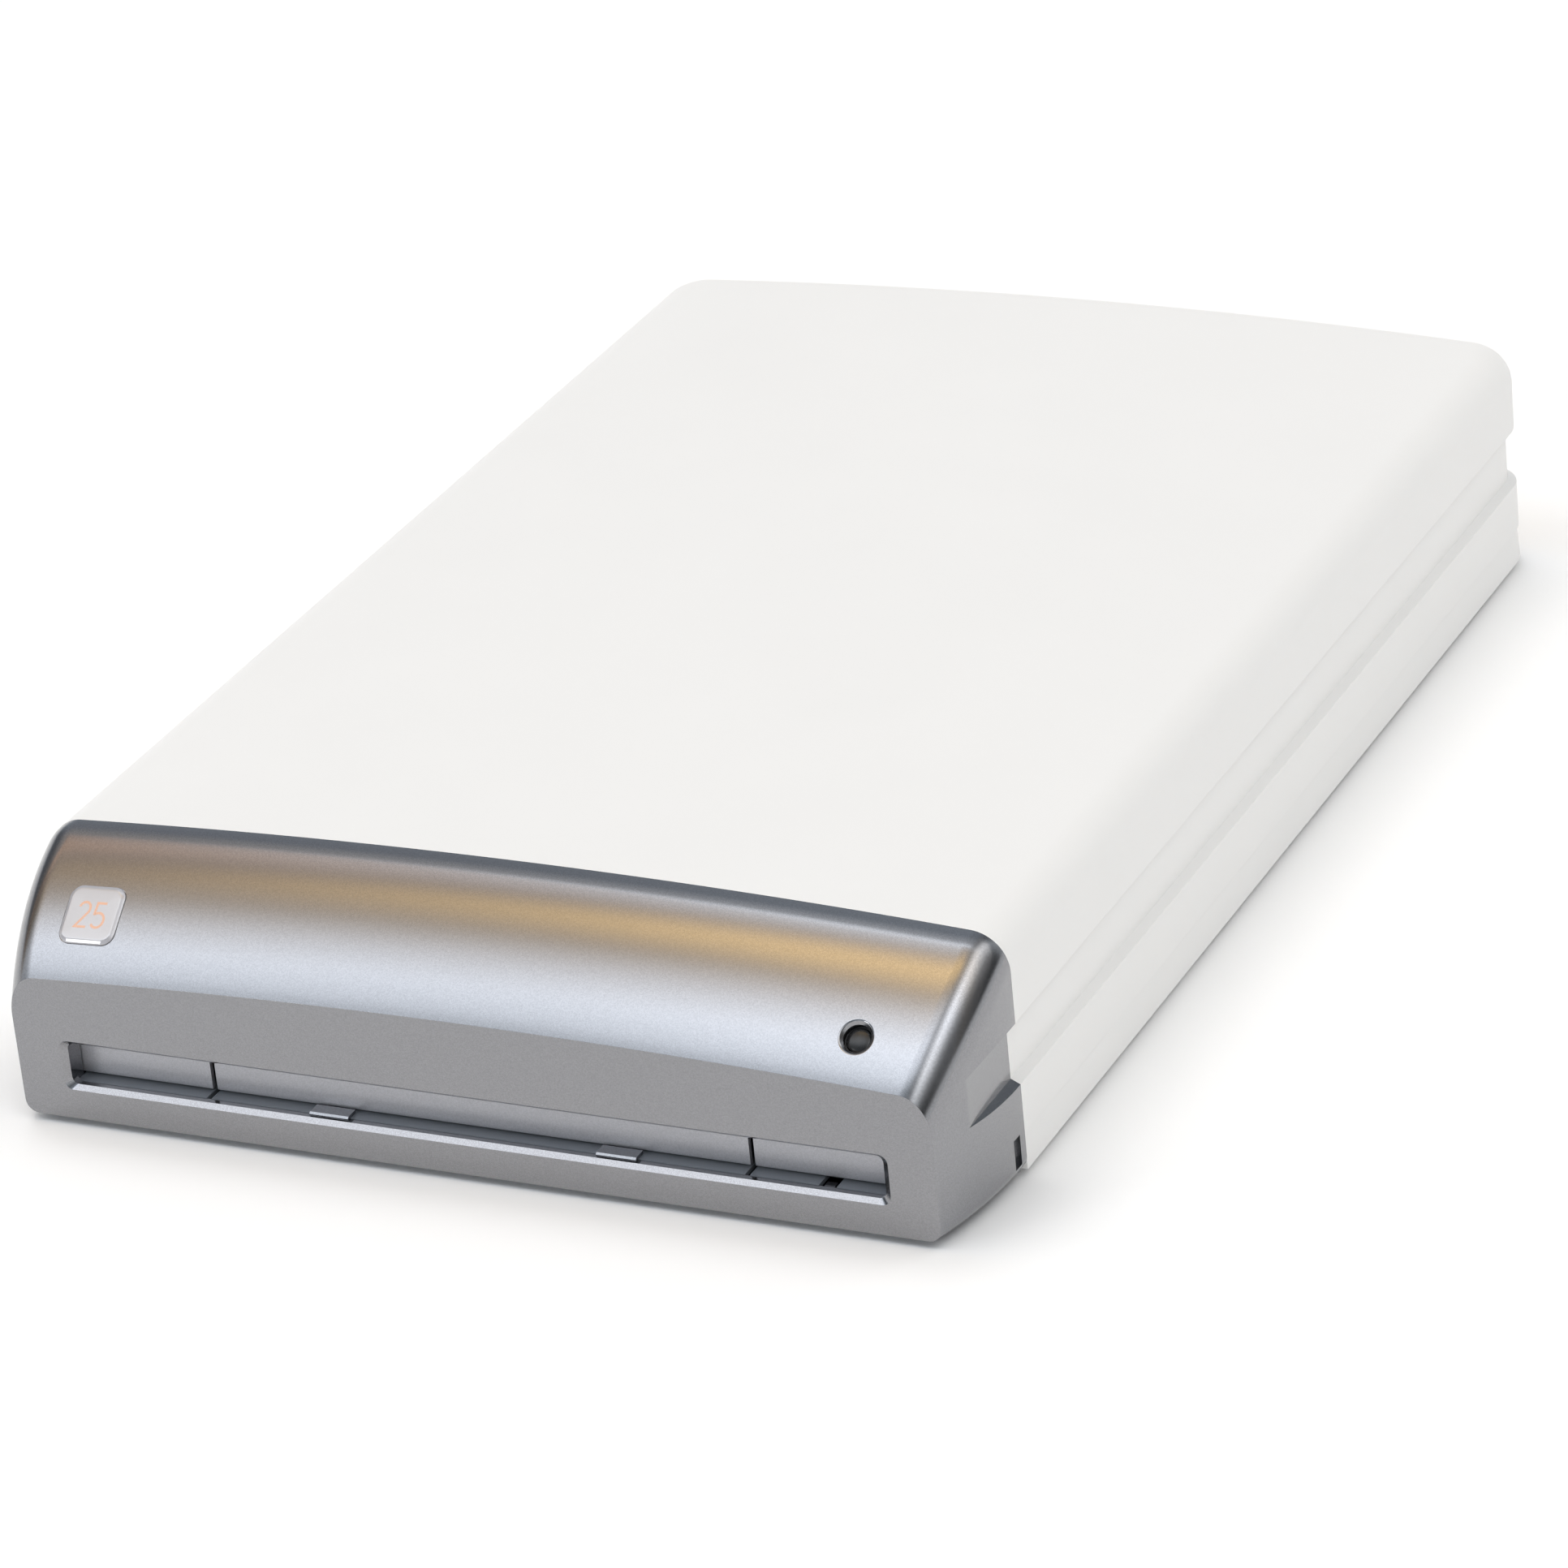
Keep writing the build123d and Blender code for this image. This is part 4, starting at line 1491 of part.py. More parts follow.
def build_nodes():
    """Every sub-part by its node name."""
    nodes = {
        "top_cover": make_top_cover(),
        "lower_case": make_lower_case(),
        "front_bezel": make_front_bezel(),
        "slot_floor": make_slot_floor(),
        "guide_tabs": make_guide_tabs(),
        "flap_carrier": make_flap_carrier(),
        "flap_hinge_rod": make_flap_hinge_rod(),
        "status_window": make_status_window(),
        "display_board": make_display_board(),
        "button_sleeve": make_button_sleeve(),
        "power_button": make_power_button(),
        "latch_hook": make_latch_hook(),
        "latch_solenoid": make_latch_solenoid(),
        "base_chassis": make_base_chassis(),
        "transport_bed": make_transport_bed(),
        "bed_bearers": make_bed_bearers(),
        "side_guides": make_side_guides(),
        "guide_rails": make_guide_rails(),
        "rail_brackets": make_rail_brackets(),
        "carriage_beam": make_carriage_beam(),
        "linear_bushes": make_linear_bushes(),
        "plate_gripper": make_plate_gripper(),
        "belt_clamp": make_belt_clamp(),
        "drive_belt": make_drive_belt(),
        "drive_pulley": make_drive_pulley(),
        "transport_motor": make_transport_motor(),
        "idler_pulley": make_idler_pulley(),
        "idler_bracket": make_idler_bracket(),
        "home_sensor": make_home_sensor(),
        "optics_bench": make_optics_bench(),
        "polygon_motor": make_polygon_motor(),
        "polygon_mirror": make_polygon_mirror(),
        "scan_lenses": make_scan_lenses(),
        "lens_cradles": make_lens_cradles(),
        "laser_module": make_laser_module(),
        "fold_mirror": make_fold_mirror(),
        "mirror_brackets": make_mirror_brackets(),
        "light_collector": make_light_collector(),
        "photomultiplier": make_photomultiplier(),
        "eraser_lamp": make_eraser_lamp(),
        "main_board": make_main_board(),
        "board_standoffs": make_board_standoffs(),
        "board_parts": make_board_parts(),
        "power_supply": make_power_supply(),
        "rear_panel": make_rear_panel(),
        "mains_inlet": make_mains_inlet(),
        "switch_frame": make_switch_frame(),
        "power_rocker": make_power_rocker(),
        "data_ports": make_data_ports(),
        "fan_frame": make_fan_frame(),
        "fan_rotor": make_fan_rotor(),
        "fan_guard": make_fan_guard(),
        "rubber_feet": make_rubber_feet(),
        "case_screws": make_case_screws(),
    }
    for name, span in flap_spans().items():
        nodes[name] = make_flap(span)
    return nodes


os.makedirs("parts", exist_ok=True)
for node, shape in build_nodes().items():
    export_step(shape, f"parts/{node}.step")
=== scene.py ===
import enum
import json
import logging
import math
from dataclasses import dataclass, field
from functools import partial
from typing import Any, Callable, Iterable, Sequence

import bmesh
import bpy
from mathutils import Matrix, Vector


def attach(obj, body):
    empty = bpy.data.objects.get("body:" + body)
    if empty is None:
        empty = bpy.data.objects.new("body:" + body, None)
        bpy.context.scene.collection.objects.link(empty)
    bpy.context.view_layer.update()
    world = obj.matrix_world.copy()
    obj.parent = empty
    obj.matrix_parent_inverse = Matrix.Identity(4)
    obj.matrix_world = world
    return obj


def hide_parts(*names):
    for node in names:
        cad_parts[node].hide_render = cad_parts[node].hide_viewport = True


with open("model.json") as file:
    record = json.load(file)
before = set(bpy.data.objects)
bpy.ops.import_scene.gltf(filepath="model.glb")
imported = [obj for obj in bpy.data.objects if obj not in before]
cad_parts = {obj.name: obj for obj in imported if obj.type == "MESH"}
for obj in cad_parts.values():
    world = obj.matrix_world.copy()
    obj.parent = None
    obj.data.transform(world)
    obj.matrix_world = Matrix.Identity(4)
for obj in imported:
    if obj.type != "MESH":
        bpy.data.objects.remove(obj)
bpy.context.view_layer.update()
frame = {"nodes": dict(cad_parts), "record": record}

LOG = logging.getLogger("scanner")

# Shapes are in millimetres, and add_piece turns their points into metres.
MM = 0.001
HALF = 0.5
QUARTER_TURN = HALF * math.pi
SIDES = (-1, 1)
SHARP_ANGLE = 28.0
CREASE_ANGLE = 32.0
MERGE_DISTANCE = 0.002
NEAR = 1e-3
SAME_DIRECTION = 1e-6
MATRIX_SIZE = 4

# Sockets of a Mix node for colours: its share with the two colours, and its result.
MIX_INPUTS = (0, 6, 7)
MIX_RESULT = 2

Colour = tuple[float, float, float]
Bands = tuple[tuple[float, Colour], ...]
Socket = bpy.types.NodeSocket
Pair = tuple[float, float]
Point = tuple[float, float, float]
Ring = list[Point]
Skin = tuple[list[Point], list[tuple[int, ...]]]

# A step is a place on the housing's outline, x and y, with its outward direction, x and y.
# A station turns each step into a point of the skin.
Step = tuple[float, float, float, float]
Station = Callable[[Step], Point]


class Body(enum.Enum):
    """The bodies that pieces made here ride on."""

    HOUSING = "root"
    BUTTON = "power_button"


class Slot(enum.Enum):
    """The record's material slots."""

    WHITE_SHELL = "white_shell"
    SILVER_BEZEL = "silver_bezel"
    SILVER_FLAP = "silver_flap"
    DARK_PLASTIC = "dark_plastic"
    BLACK_PLASTIC = "black_plastic"
    WHITE_POLYMER = "white_polymer"
    WINDOW_RESIN = "window_resin"
    GREEN_BOARD = "green_board"
    BRIGHT_STEEL = "bright_steel"
    ZINC_SHEET = "zinc_sheet"
    GREY_PANEL = "grey_panel"
    BLACK_PAINT = "black_paint"
    CAST_ALUMINIUM = "cast_aluminium"
    DARK_ANODISED = "dark_anodised"
    BRONZE_BUSH = "bronze_bush"
    BRASS_POST = "brass_post"
    BLACK_RUBBER = "black_rubber"
    MIRROR_FACE = "mirror_face"
    CLEAR_GLASS = "clear_glass"


class Special(enum.Enum):
    """Finishes of single pieces, each in place of its slot's finish."""

    DIGIT_INK = "digit_ink"
    BUTTON_GLOSS = "button_gloss"
    # Dark latch hook: partly its own dark finish, partly painted shade of the notch it shows through.
    DARK_STEEL = "dark_steel"
    FLOOR_GREY = "floor_grey"


class Effect(enum.Enum):
    """Surface effects that several finishes share."""

    GRAIN = "fine_grain"
    FLAKE = "paint_flake"
    LINES = "tool_lines"
    DUST = "settled_dust"
    # Paler edges on worked metal: partly wear, partly a painted highlight along the edges.
    WEAR = "edge_wear"


class Join(enum.Enum):
    """What a tool does to a piece."""

    CUT = "DIFFERENCE"
    ADD = "UNION"


Look = Slot | Special


def as_rgba(colour: Colour) -> tuple[float, float, float, float]:
    """The colour with full opacity."""
    return (*colour, 1.0)


class Nodes:
    """A node tree with a short way to add nodes, set their sockets and join them."""

    def __init__(self, tree: bpy.types.NodeTree) -> None:
        """Starts from an empty tree."""
        self.tree = tree
        tree.nodes.clear()

    def add(self, kind: str, inputs: dict[Any, Any] | None = None, **settings: Any) -> bpy.types.Node:
        """Adds one node.

        Args:
            kind: Blender's type name of the node.
            inputs: Socket names or places, each with a value or with the output that feeds it.
            settings: Properties of the node itself.

        Returns:
            The new node.
        """
        node = self.tree.nodes.new(kind)
        for name, value in settings.items():
            setattr(node, name, value)
        self.feed(node, inputs or {})
        return node

    def feed(self, node: bpy.types.Node, inputs: dict[Any, Any]) -> None:
        """Sets a node's sockets.

        Args:
            node: The node.
            inputs: Socket names or places, each with a value or with the output that feeds it.
        """
        for key, value in inputs.items():
            if isinstance(value, Socket):
                self.tree.links.new(value, node.inputs[key])
            else:
                node.inputs[key].default_value = value

    def maths(self, operation: str, *values: Any, clamp: bool = False) -> Socket:
        """The result of a Math node on up to three values or outputs."""
        node = self.add("ShaderNodeMath", dict(enumerate(values)), operation=operation, use_clamp=clamp)
        return node.outputs[0]

    def blend(self, share: Any, first: Any, second: Any, mode: str = "MIX") -> Socket:
        """The colour between two colours, at a share from 0 to 1."""
        inputs = dict(zip(MIX_INPUTS, (share, first, second)))
        return self.add("ShaderNodeMix", inputs, data_type="RGBA", blend_type=mode).outputs[MIX_RESULT]

    def climb(self, value: Socket, first: float, last: float) -> Socket:
        """A share that goes from 0 at the first value to 1 at the last."""
        inputs = {"Value": value, "From Min": first, "From Max": last}
        return self.add("ShaderNodeMapRange", inputs).outputs[0]

    def place(self) -> Socket:
        """The shaded point in its object's own frame."""
        return self.add("ShaderNodeTexCoord").outputs["Object"]

    def noise(self, place: Socket, cells: Any, detail: float, **more: Any) -> Socket:
        """A cloud between 0 and 1, with its number of cells in each metre."""
        inputs = {"Vector": place, "Scale": cells, "Detail": detail, **more}
        return self.add("ShaderNodeTexNoise", inputs).outputs[0]

    def ramp(self, feed: Socket, stops: Sequence[tuple[float, Colour]]) -> Socket:
        """The colour that a ramp gives for a value.

        Args:
            feed: The value.
            stops: Places from 0 to 1 in rising order, each with its colour.

        Returns:
            The colour.
        """
        node = self.add("ShaderNodeValToRGB", {0: feed})
        elements = node.color_ramp.elements
        while len(elements) < len(stops):
            elements.new(1.0)
        for element, (place, colour) in zip(elements, stops):
            element.position = place
            element.color = as_rgba(colour)
        return node.outputs[0]


@dataclass
class Effects:
    """The shared effects, each a node group with named number sockets."""

    drift_cells: float = 14.0
    dust_cells: float = 55.0
    # The next three shape the paler edges, which are partly wear and partly a painted highlight.
    wear_and_highlight_cells: float = 240.0
    wear_and_highlight_gain: float = 4.0
    wear_and_highlight_samples: int = 4
    groups: dict[Effect, bpy.types.NodeTree] = field(default_factory=dict)

    def build(self) -> None:
        """Builds every group once."""
        self.group(Effect.GRAIN, {"Cells": 900.0, "Roughening": 0.5}, self.grain)
        self.group(Effect.FLAKE, {"Cells": 2600.0}, self.flake)
        self.group(Effect.LINES, {"Cells": 1200.0, "Stretch": 0.04}, self.lines)
        self.group(Effect.DUST, {"Amount": 0.2}, self.dust)
        self.group(Effect.WEAR, {"Width": 0.0006, "Amount": 0.5}, self.wear)

    def group(self, effect: Effect, inputs: dict[str, float],
              draw: Callable[[Nodes, Any], dict[str, Socket]]) -> None:
        """Makes one group.

        Args:
            effect: The effect, which names the group.
            inputs: Names of the inputs with their usual values.
            draw: From the group's nodes and its inputs to its outputs by name.
        """
        tree = bpy.data.node_groups.new(effect.value, "ShaderNodeTree")
        for label, value in inputs.items():
            socket = tree.interface.new_socket(name=label, in_out="INPUT", socket_type="NodeSocketFloat")
            socket.default_value = value
        nodes = Nodes(tree)
        outputs = draw(nodes, nodes.add("NodeGroupInput").outputs)
        for label in outputs:
            tree.interface.new_socket(name=label, in_out="OUTPUT", socket_type="NodeSocketFloat")
        nodes.add("NodeGroupOutput", outputs)
        self.groups[effect] = tree

    def grain(self, nodes: Nodes, given: Any) -> dict[str, Socket]:
        """Fine moulded or sprayed texture, with a slow drift of tone over the whole piece.

        Args:
            nodes: The group's nodes.
            given: The group's inputs.

        Returns:
            Height of the texture, and the tone.
        """
        place = nodes.place()
        return {"Height": nodes.noise(place, given["Cells"], detail=3.0, Roughness=given["Roughening"]),
                "Tone": nodes.noise(place, self.drift_cells, detail=2.0)}

    def flake(self, nodes: Nodes, given: Any) -> dict[str, Socket]:
        """Metal flakes in paint: small cells, each with its own brightness and tilt.

        Args:
            nodes: The group's nodes.
            given: The group's inputs.

        Returns:
            Brightness of the flake, and its height.
        """
        place = nodes.place()
        cells = nodes.add("ShaderNodeTexVoronoi", {"Vector": place, "Scale": given["Cells"]})
        parts = nodes.add("ShaderNodeSeparateColor", {0: cells.outputs["Color"]})
        return {"Sparkle": parts.outputs[0], "Height": nodes.noise(place, given["Cells"], detail=1.0)}

    def lines(self, nodes: Nodes, given: Any) -> dict[str, Socket]:
        """Lines left by grinding, drawing or turning, along the piece's X axis.

        Args:
            nodes: The group's nodes.
            given: The group's inputs.

        Returns:
            Height of the lines, and the tone.
        """
        place = nodes.place()
        along = nodes.add("ShaderNodeCombineXYZ", {0: given["Stretch"], 1: 1.0, 2: 1.0})
        drawn = nodes.add("ShaderNodeVectorMath", {0: place, 1: along.outputs[0]}, operation="MULTIPLY")
        return {"Height": nodes.noise(drawn.outputs[0], given["Cells"], detail=4.0),
                "Tone": nodes.noise(place, self.drift_cells, detail=3.0)}

    def dust(self, nodes: Nodes, given: Any) -> dict[str, Socket]:
        """Thin dust on faces that look up, broken by a cloud.

        Args:
            nodes: The group's nodes.
            given: The group's inputs.

        Returns:
            The mask.
        """
        normal = nodes.add("ShaderNodeNewGeometry").outputs["Normal"]
        upward = nodes.add("ShaderNodeSeparateXYZ", {0: normal}).outputs[2]
        cloud = nodes.noise(nodes.place(), self.dust_cells, detail=5.0)
        settled = nodes.maths("MULTIPLY", nodes.maths("MAXIMUM", upward, 0.0), cloud)
        return {"Mask": nodes.maths("MULTIPLY", settled, given["Amount"], clamp=True)}

    def wear(self, nodes: Nodes, given: Any) -> dict[str, Socket]:
        """Paler edges, where the rounded normal leaves the true one: partly rubbed wear, partly a painted
        highlight along the edges.

        Args:
            nodes: The group's nodes.
            given: The group's inputs.

        Returns:
            The mask.
        """
        rounded = nodes.add("ShaderNodeBevel", {"Radius": given["Width"]}, samples=self.wear_and_highlight_samples)
        true = nodes.add("ShaderNodeNewGeometry").outputs["Normal"]
        match = nodes.add("ShaderNodeVectorMath", {0: rounded.outputs[0], 1: true}, operation="DOT_PRODUCT")
        edge = nodes.maths("SUBTRACT", 1.0, match.outputs["Value"])
        cloud = nodes.noise(nodes.place(), self.wear_and_highlight_cells, detail=3.0)
        broken = nodes.maths("MULTIPLY", nodes.maths("MULTIPLY", edge, self.wear_and_highlight_gain, clamp=True), cloud)
        return {"Mask": nodes.maths("MULTIPLY", broken, given["Amount"], clamp=True)}

    def place(self, nodes: Nodes, effect: Effect, **values: float) -> Any:
        """Puts a group into a material, with that material's own values, and gives its outputs."""
        return nodes.add("ShaderNodeGroup", values, node_tree=self.groups[effect]).outputs


@dataclass(frozen=True)
class Finish:
    """What all finishes have: a colour that drifts, a gloss that varies and a fine relief.

    Attributes:
        colour: Linear base colour.
        roughness: Middle of the roughness over the surface.
        spread: How far tone and roughness move round their middles.
        relief: Height of the fine relief in metres.
        cells: Cells of the relief in each metre.
        dust: Share of dust on faces that look up.
        dust_colour: Linear colour of the dust.
        constants: Shader sockets that are the same all over, by name.
    """

    colour: Colour
    roughness: float
    spread: float = 0.04
    relief: float = 0.00001
    cells: float = 900.0
    dust: float = 0.0
    dust_colour: Colour = (0.52, 0.51, 0.49)
    constants: tuple[tuple[str, Any], ...] = ()

    def material(self, name: str, effects: Effects) -> bpy.types.Material:
        """Builds the material.

        Args:
            name: Name of the material.
            effects: The shared effects.

        Returns:
            The finished material.
        """
        material = bpy.data.materials.new(name)
        material.use_nodes = True
        nodes = Nodes(material.node_tree)
        shader = nodes.add("ShaderNodeBsdfPrincipled")
        for socket, value in self.constants:
            shader.inputs[socket].default_value = value
        colour, roughness, height = self.surface(nodes, effects)
        if self.dust:
            mask = effects.place(nodes, Effect.DUST, Amount=self.dust)["Mask"]
            colour = nodes.blend(mask, colour, as_rgba(self.dust_colour))
            roughness = nodes.maths("ADD", roughness, nodes.maths("MULTIPLY", mask, HALF), clamp=True)
        bump = nodes.add("ShaderNodeBump", {"Height": height, "Distance": self.relief, "Strength": 1.0})
        nodes.feed(shader, {"Base Color": colour, "Roughness": roughness, "Normal": bump.outputs[0]})
        nodes.add("ShaderNodeOutputMaterial", {"Surface": shader.outputs[0]})
        return material

    def vary(self, nodes: Nodes, tone: Socket) -> tuple[Socket, Socket]:
        """Lets the finish follow a tone.

        Args:
            nodes: The material's nodes.
            tone: The tone, between 0 and 1.

        Returns:
            The colour and the roughness.
        """
        low, high = (tuple(c * (1 + way * self.spread) for c in self.colour) for way in SIDES)
        colour = nodes.blend(tone, as_rgba(low), as_rgba(high))
        change = nodes.maths("MULTIPLY", nodes.maths("SUBTRACT", tone, HALF), 2 * self.spread)
        return colour, nodes.maths("ADD", change, self.roughness, clamp=True)

    def surface(self, nodes: Nodes, effects: Effects) -> tuple[Socket, Socket, Socket]:
        """Colour, roughness and height of a plain moulded or sprayed surface."""
        grain = effects.place(nodes, Effect.GRAIN, Cells=self.cells)
        return (*self.vary(nodes, grain["Tone"]), grain["Height"])


@dataclass(frozen=True)
class SilverPaint(Finish):
    """Satin silver paint: flakes of metal under a thin clear coat."""

    flake_cells: float = 2400.0
    flake_depth: float = 0.09

    def surface(self, nodes: Nodes, effects: Effects) -> tuple[Socket, Socket, Socket]:
        """The sprayed paint, broken by flakes.

        Args:
            nodes: The material's nodes.
            effects: The shared effects.

        Returns:
            Colour, roughness and height.
        """
        grain = effects.place(nodes, Effect.GRAIN, Cells=self.cells)
        flake = effects.place(nodes, Effect.FLAKE, Cells=self.flake_cells)
        colour, roughness = self.vary(nodes, grain["Tone"])
        dull, bright = (as_rgba((1 + way * self.flake_depth,) * 3) for way in SIDES)
        fleck = nodes.blend(flake["Sparkle"], dull, bright)
        return nodes.blend(1.0, colour, fleck, "MULTIPLY"), roughness, flake["Height"]


@dataclass(frozen=True)
class WorkedMetal(Finish):
    """Bare or plated metal with lines of its making, and edges painted paler: partly wear, partly a painted
    highlight.
    """

    stretch: float = 0.05
    # The paler edges set here are partly wear and partly a painted highlight.
    wear: float = 0.5
    wear_and_highlight_width: float = 0.0005
    wear_and_highlight_colour: Colour = (0.8, 0.8, 0.8)

    def surface(self, nodes: Nodes, effects: Effects) -> tuple[Socket, Socket, Socket]:
        """The worked metal, paler along its edges: partly wear, partly a painted highlight.

        Args:
            nodes: The material's nodes.
            effects: The shared effects.

        Returns:
            Colour, roughness and height.
        """
        lines = effects.place(nodes, Effect.LINES, Cells=self.cells, Stretch=self.stretch)
        worn_and_lit = effects.place(nodes, Effect.WEAR, Width=self.wear_and_highlight_width, Amount=self.wear)
        colour, roughness = self.vary(nodes, lines["Tone"])
        # Blends the edges towards the paler colour: partly wear, partly a painted highlight.
        return nodes.blend(worn_and_lit["Mask"], colour, as_rgba(self.wear_and_highlight_colour)), roughness, lines["Height"]


@dataclass(frozen=True)
class BoardLacquer(Finish):
    """Green lacquer over copper tracks on a circuit board."""

    track_colour: Colour = (0.09, 0.32, 0.13)
    track_cells: float = 320.0
    track_gap: float = 0.02
    track_share: float = 0.42

    def surface(self, nodes: Nodes, effects: Effects) -> tuple[Socket, Socket, Socket]:
        """Lacquer with paler tracks that stand a little proud.

        Args:
            nodes: The material's nodes.
            effects: The shared effects.

        Returns:
            Colour, roughness and height.
        """
        tracks = nodes.add("ShaderNodeTexBrick", {
            "Vector": nodes.place(), "Scale": self.track_cells, "Mortar Size": self.track_gap,
            "Color1": as_rgba((0.0, 0.0, 0.0)), "Color2": as_rgba((1.0, 1.0, 1.0))})
        mask = nodes.maths("LESS_THAN", tracks.outputs["Fac"], self.track_share)
        grain = effects.place(nodes, Effect.GRAIN, Cells=self.cells)
        colour, roughness = self.vary(nodes, grain["Tone"])
        share = nodes.maths("MULTIPLY", mask, tracks.outputs["Color"])
        return nodes.blend(share, colour, as_rgba(self.track_colour)), roughness, share


BARE_METAL = (("Metallic", 1.0),)

# The numbers are roughness, spread, relief, cells and dust, in that order.
FINISHES: dict[Look, Finish] = {
    Slot.WHITE_SHELL: Finish((0.865, 0.86, 0.845), 0.42, 0.012, 0.000004, 1500.0,
                             constants=(("Specular IOR Level", 0.42),)),
    Slot.SILVER_BEZEL: SilverPaint(
        (0.295, 0.297, 0.31), 0.155, 0.01, 0.0000006, 1400.0,
        constants=(("Metallic", 0.95), ("Coat Weight", 0.15), ("Coat Roughness", 0.15))),
    Slot.SILVER_FLAP: SilverPaint(
        (0.44, 0.445, 0.475), 0.40, 0.01, 0.0000008, 1400.0,
        constants=(("Metallic", 0.6), ("Coat Weight", 0.2), ("Coat Roughness", 0.25))),
    Slot.DARK_PLASTIC: Finish((0.085, 0.09, 0.098), 0.45, 0.08, 0.00001, 1600.0, 0.04),
    Slot.BLACK_PLASTIC: Finish((0.022, 0.022, 0.024), 0.42, 0.10, 0.000012, 1500.0, 0.04),
    Slot.WHITE_POLYMER: Finish((0.78, 0.78, 0.74), 0.5, 0.03, 0.000006, 1200.0,
                               constants=(("Subsurface Weight", 0.05), ("Subsurface Scale", 0.002))),
    Slot.WINDOW_RESIN: Finish(
        (0.42, 0.41, 0.43), 0.16, 0.02, 0.000001, 600.0,
        constants=(("Coat Weight", 1.0), ("Coat Roughness", 0.04), ("Coat IOR", 1.9),
                   ("Specular IOR Level", 0.9))),
    Slot.GREEN_BOARD: BoardLacquer((0.03, 0.19, 0.07), 0.35, 0.06, 0.00003, 900.0, 0.08),
    Slot.BRIGHT_STEEL: WorkedMetal((0.6, 0.6, 0.61), 0.22, 0.05, 0.000003, 1500.0, constants=BARE_METAL),
    Slot.ZINC_SHEET: WorkedMetal((0.52, 0.53, 0.55), 0.38, 0.12, 0.000006, 260.0, stretch=1.0,
                                 constants=BARE_METAL),
    Slot.GREY_PANEL: Finish((0.27, 0.275, 0.285), 0.5, 0.05, 0.00003, 1300.0, 0.05),
    Slot.BLACK_PAINT: Finish((0.035, 0.035, 0.04), 0.34, 0.08, 0.000015, 900.0, 0.05),
    Slot.CAST_ALUMINIUM: WorkedMetal((0.58, 0.585, 0.6), 0.42, 0.08, 0.00002, 700.0, stretch=0.8,
                                     constants=BARE_METAL),
    # The wear amounts and colours below paint paler edges: partly wear, partly a painted highlight.
    Slot.DARK_ANODISED: WorkedMetal((0.06, 0.06, 0.068), 0.36, 0.08, 0.000006, 1500.0, wear=0.25,
                                    wear_and_highlight_colour=(0.3, 0.3, 0.32), constants=(("Metallic", 0.85),)),
    Slot.BRONZE_BUSH: WorkedMetal((0.5, 0.33, 0.15), 0.4, 0.08, 0.00001, 1100.0, wear=0.3,
                                  wear_and_highlight_colour=(0.75, 0.6, 0.35), constants=BARE_METAL),
    Slot.BRASS_POST: WorkedMetal((0.68, 0.52, 0.22), 0.25, 0.05, 0.000004, 1500.0, wear=0.3,
                                 wear_and_highlight_colour=(0.9, 0.78, 0.45), constants=BARE_METAL),
    Slot.BLACK_RUBBER: Finish((0.02, 0.02, 0.02), 0.75, 0.12, 0.00003, 1100.0, 0.1),
    Slot.MIRROR_FACE: Finish((0.86, 0.87, 0.88), 0.03, 0.01, 0.0000002, 300.0, constants=BARE_METAL),
    Slot.CLEAR_GLASS: Finish((0.93, 0.97, 0.97), 0.03, 0.01, 0.0000002, 300.0,
                             constants=(("Transmission Weight", 1.0), ("IOR", 1.5))),
    Special.DIGIT_INK: Finish((0.74, 0.42, 0.28), 0.35, 0.02, 0.000001, 900.0,
                              constants=(("Coat Weight", 0.5),)),
    Special.BUTTON_GLOSS: Finish((0.012, 0.012, 0.013), 0.26, 0.03, 0.000002, 1500.0),
    # Dark steel for the latch hook: partly its own finish, partly painted shade of its notch.
    Special.DARK_STEEL: Finish((0.05, 0.05, 0.055), 0.42, 0.05, 0.000002, 1500.0,
                               constants=(("Metallic", 0.7),)),
    Special.FLOOR_GREY: Finish((0.20, 0.215, 0.24), 0.38, 0.05, 0.000006, 1600.0, 0.04),
}


@dataclass
class Palette:
    """The finished materials."""

    effects: Effects
    materials: dict[Look, bpy.types.Material] = field(default_factory=dict)

    def build(self) -> None:
        """Builds one material for each slot of the record, and the special ones."""
        for look, finish in FINISHES.items():
            self.materials[look] = finish.material(look.value, self.effects)

    def dress(self, obj: bpy.types.Object, look: Look) -> None:
        """Puts a finish on the whole of a piece.

        Args:
            obj: The piece.
            look: The slot or the special finish.
        """
        if obj.material_slots:
            for place in obj.material_slots:
                place.material = self.materials[look]
        else:
            obj.data.materials.append(self.materials[look])


def add_object(name: str, data: bpy.types.ID) -> bpy.types.Object:
    """Makes an object and puts it into the scene.

    Args:
        name: Name of the object.
        data: Its mesh, lamp or camera.

    Returns:
        The new object.
    """
    obj = bpy.data.objects.new(name, data)
    bpy.context.scene.collection.objects.link(obj)
    return obj


def add_piece(name: str, points: Iterable[Point], faces: Iterable[Sequence[int]]) -> bpy.types.Object:
    """Makes a mesh object from points in millimetres.

    Args:
        name: Name of the piece.
        points: Its corners.
        faces: Its faces, as places in the list of corners.

    Returns:
        The new object, with doubled points merged and faces turned outwards.
    """
    mesh = bpy.data.meshes.new(name)
    mesh.from_pydata([tuple(MM * c for c in point) for point in points], [], [list(f) for f in faces])
    cleaned = bmesh.new()
    cleaned.from_mesh(mesh)
    bmesh.ops.remove_doubles(cleaned, verts=cleaned.verts, dist=MM * MERGE_DISTANCE)
    bmesh.ops.recalc_face_normals(cleaned, faces=cleaned.faces)
    cleaned.to_mesh(mesh)
    cleaned.free()
    return add_object(name, mesh)


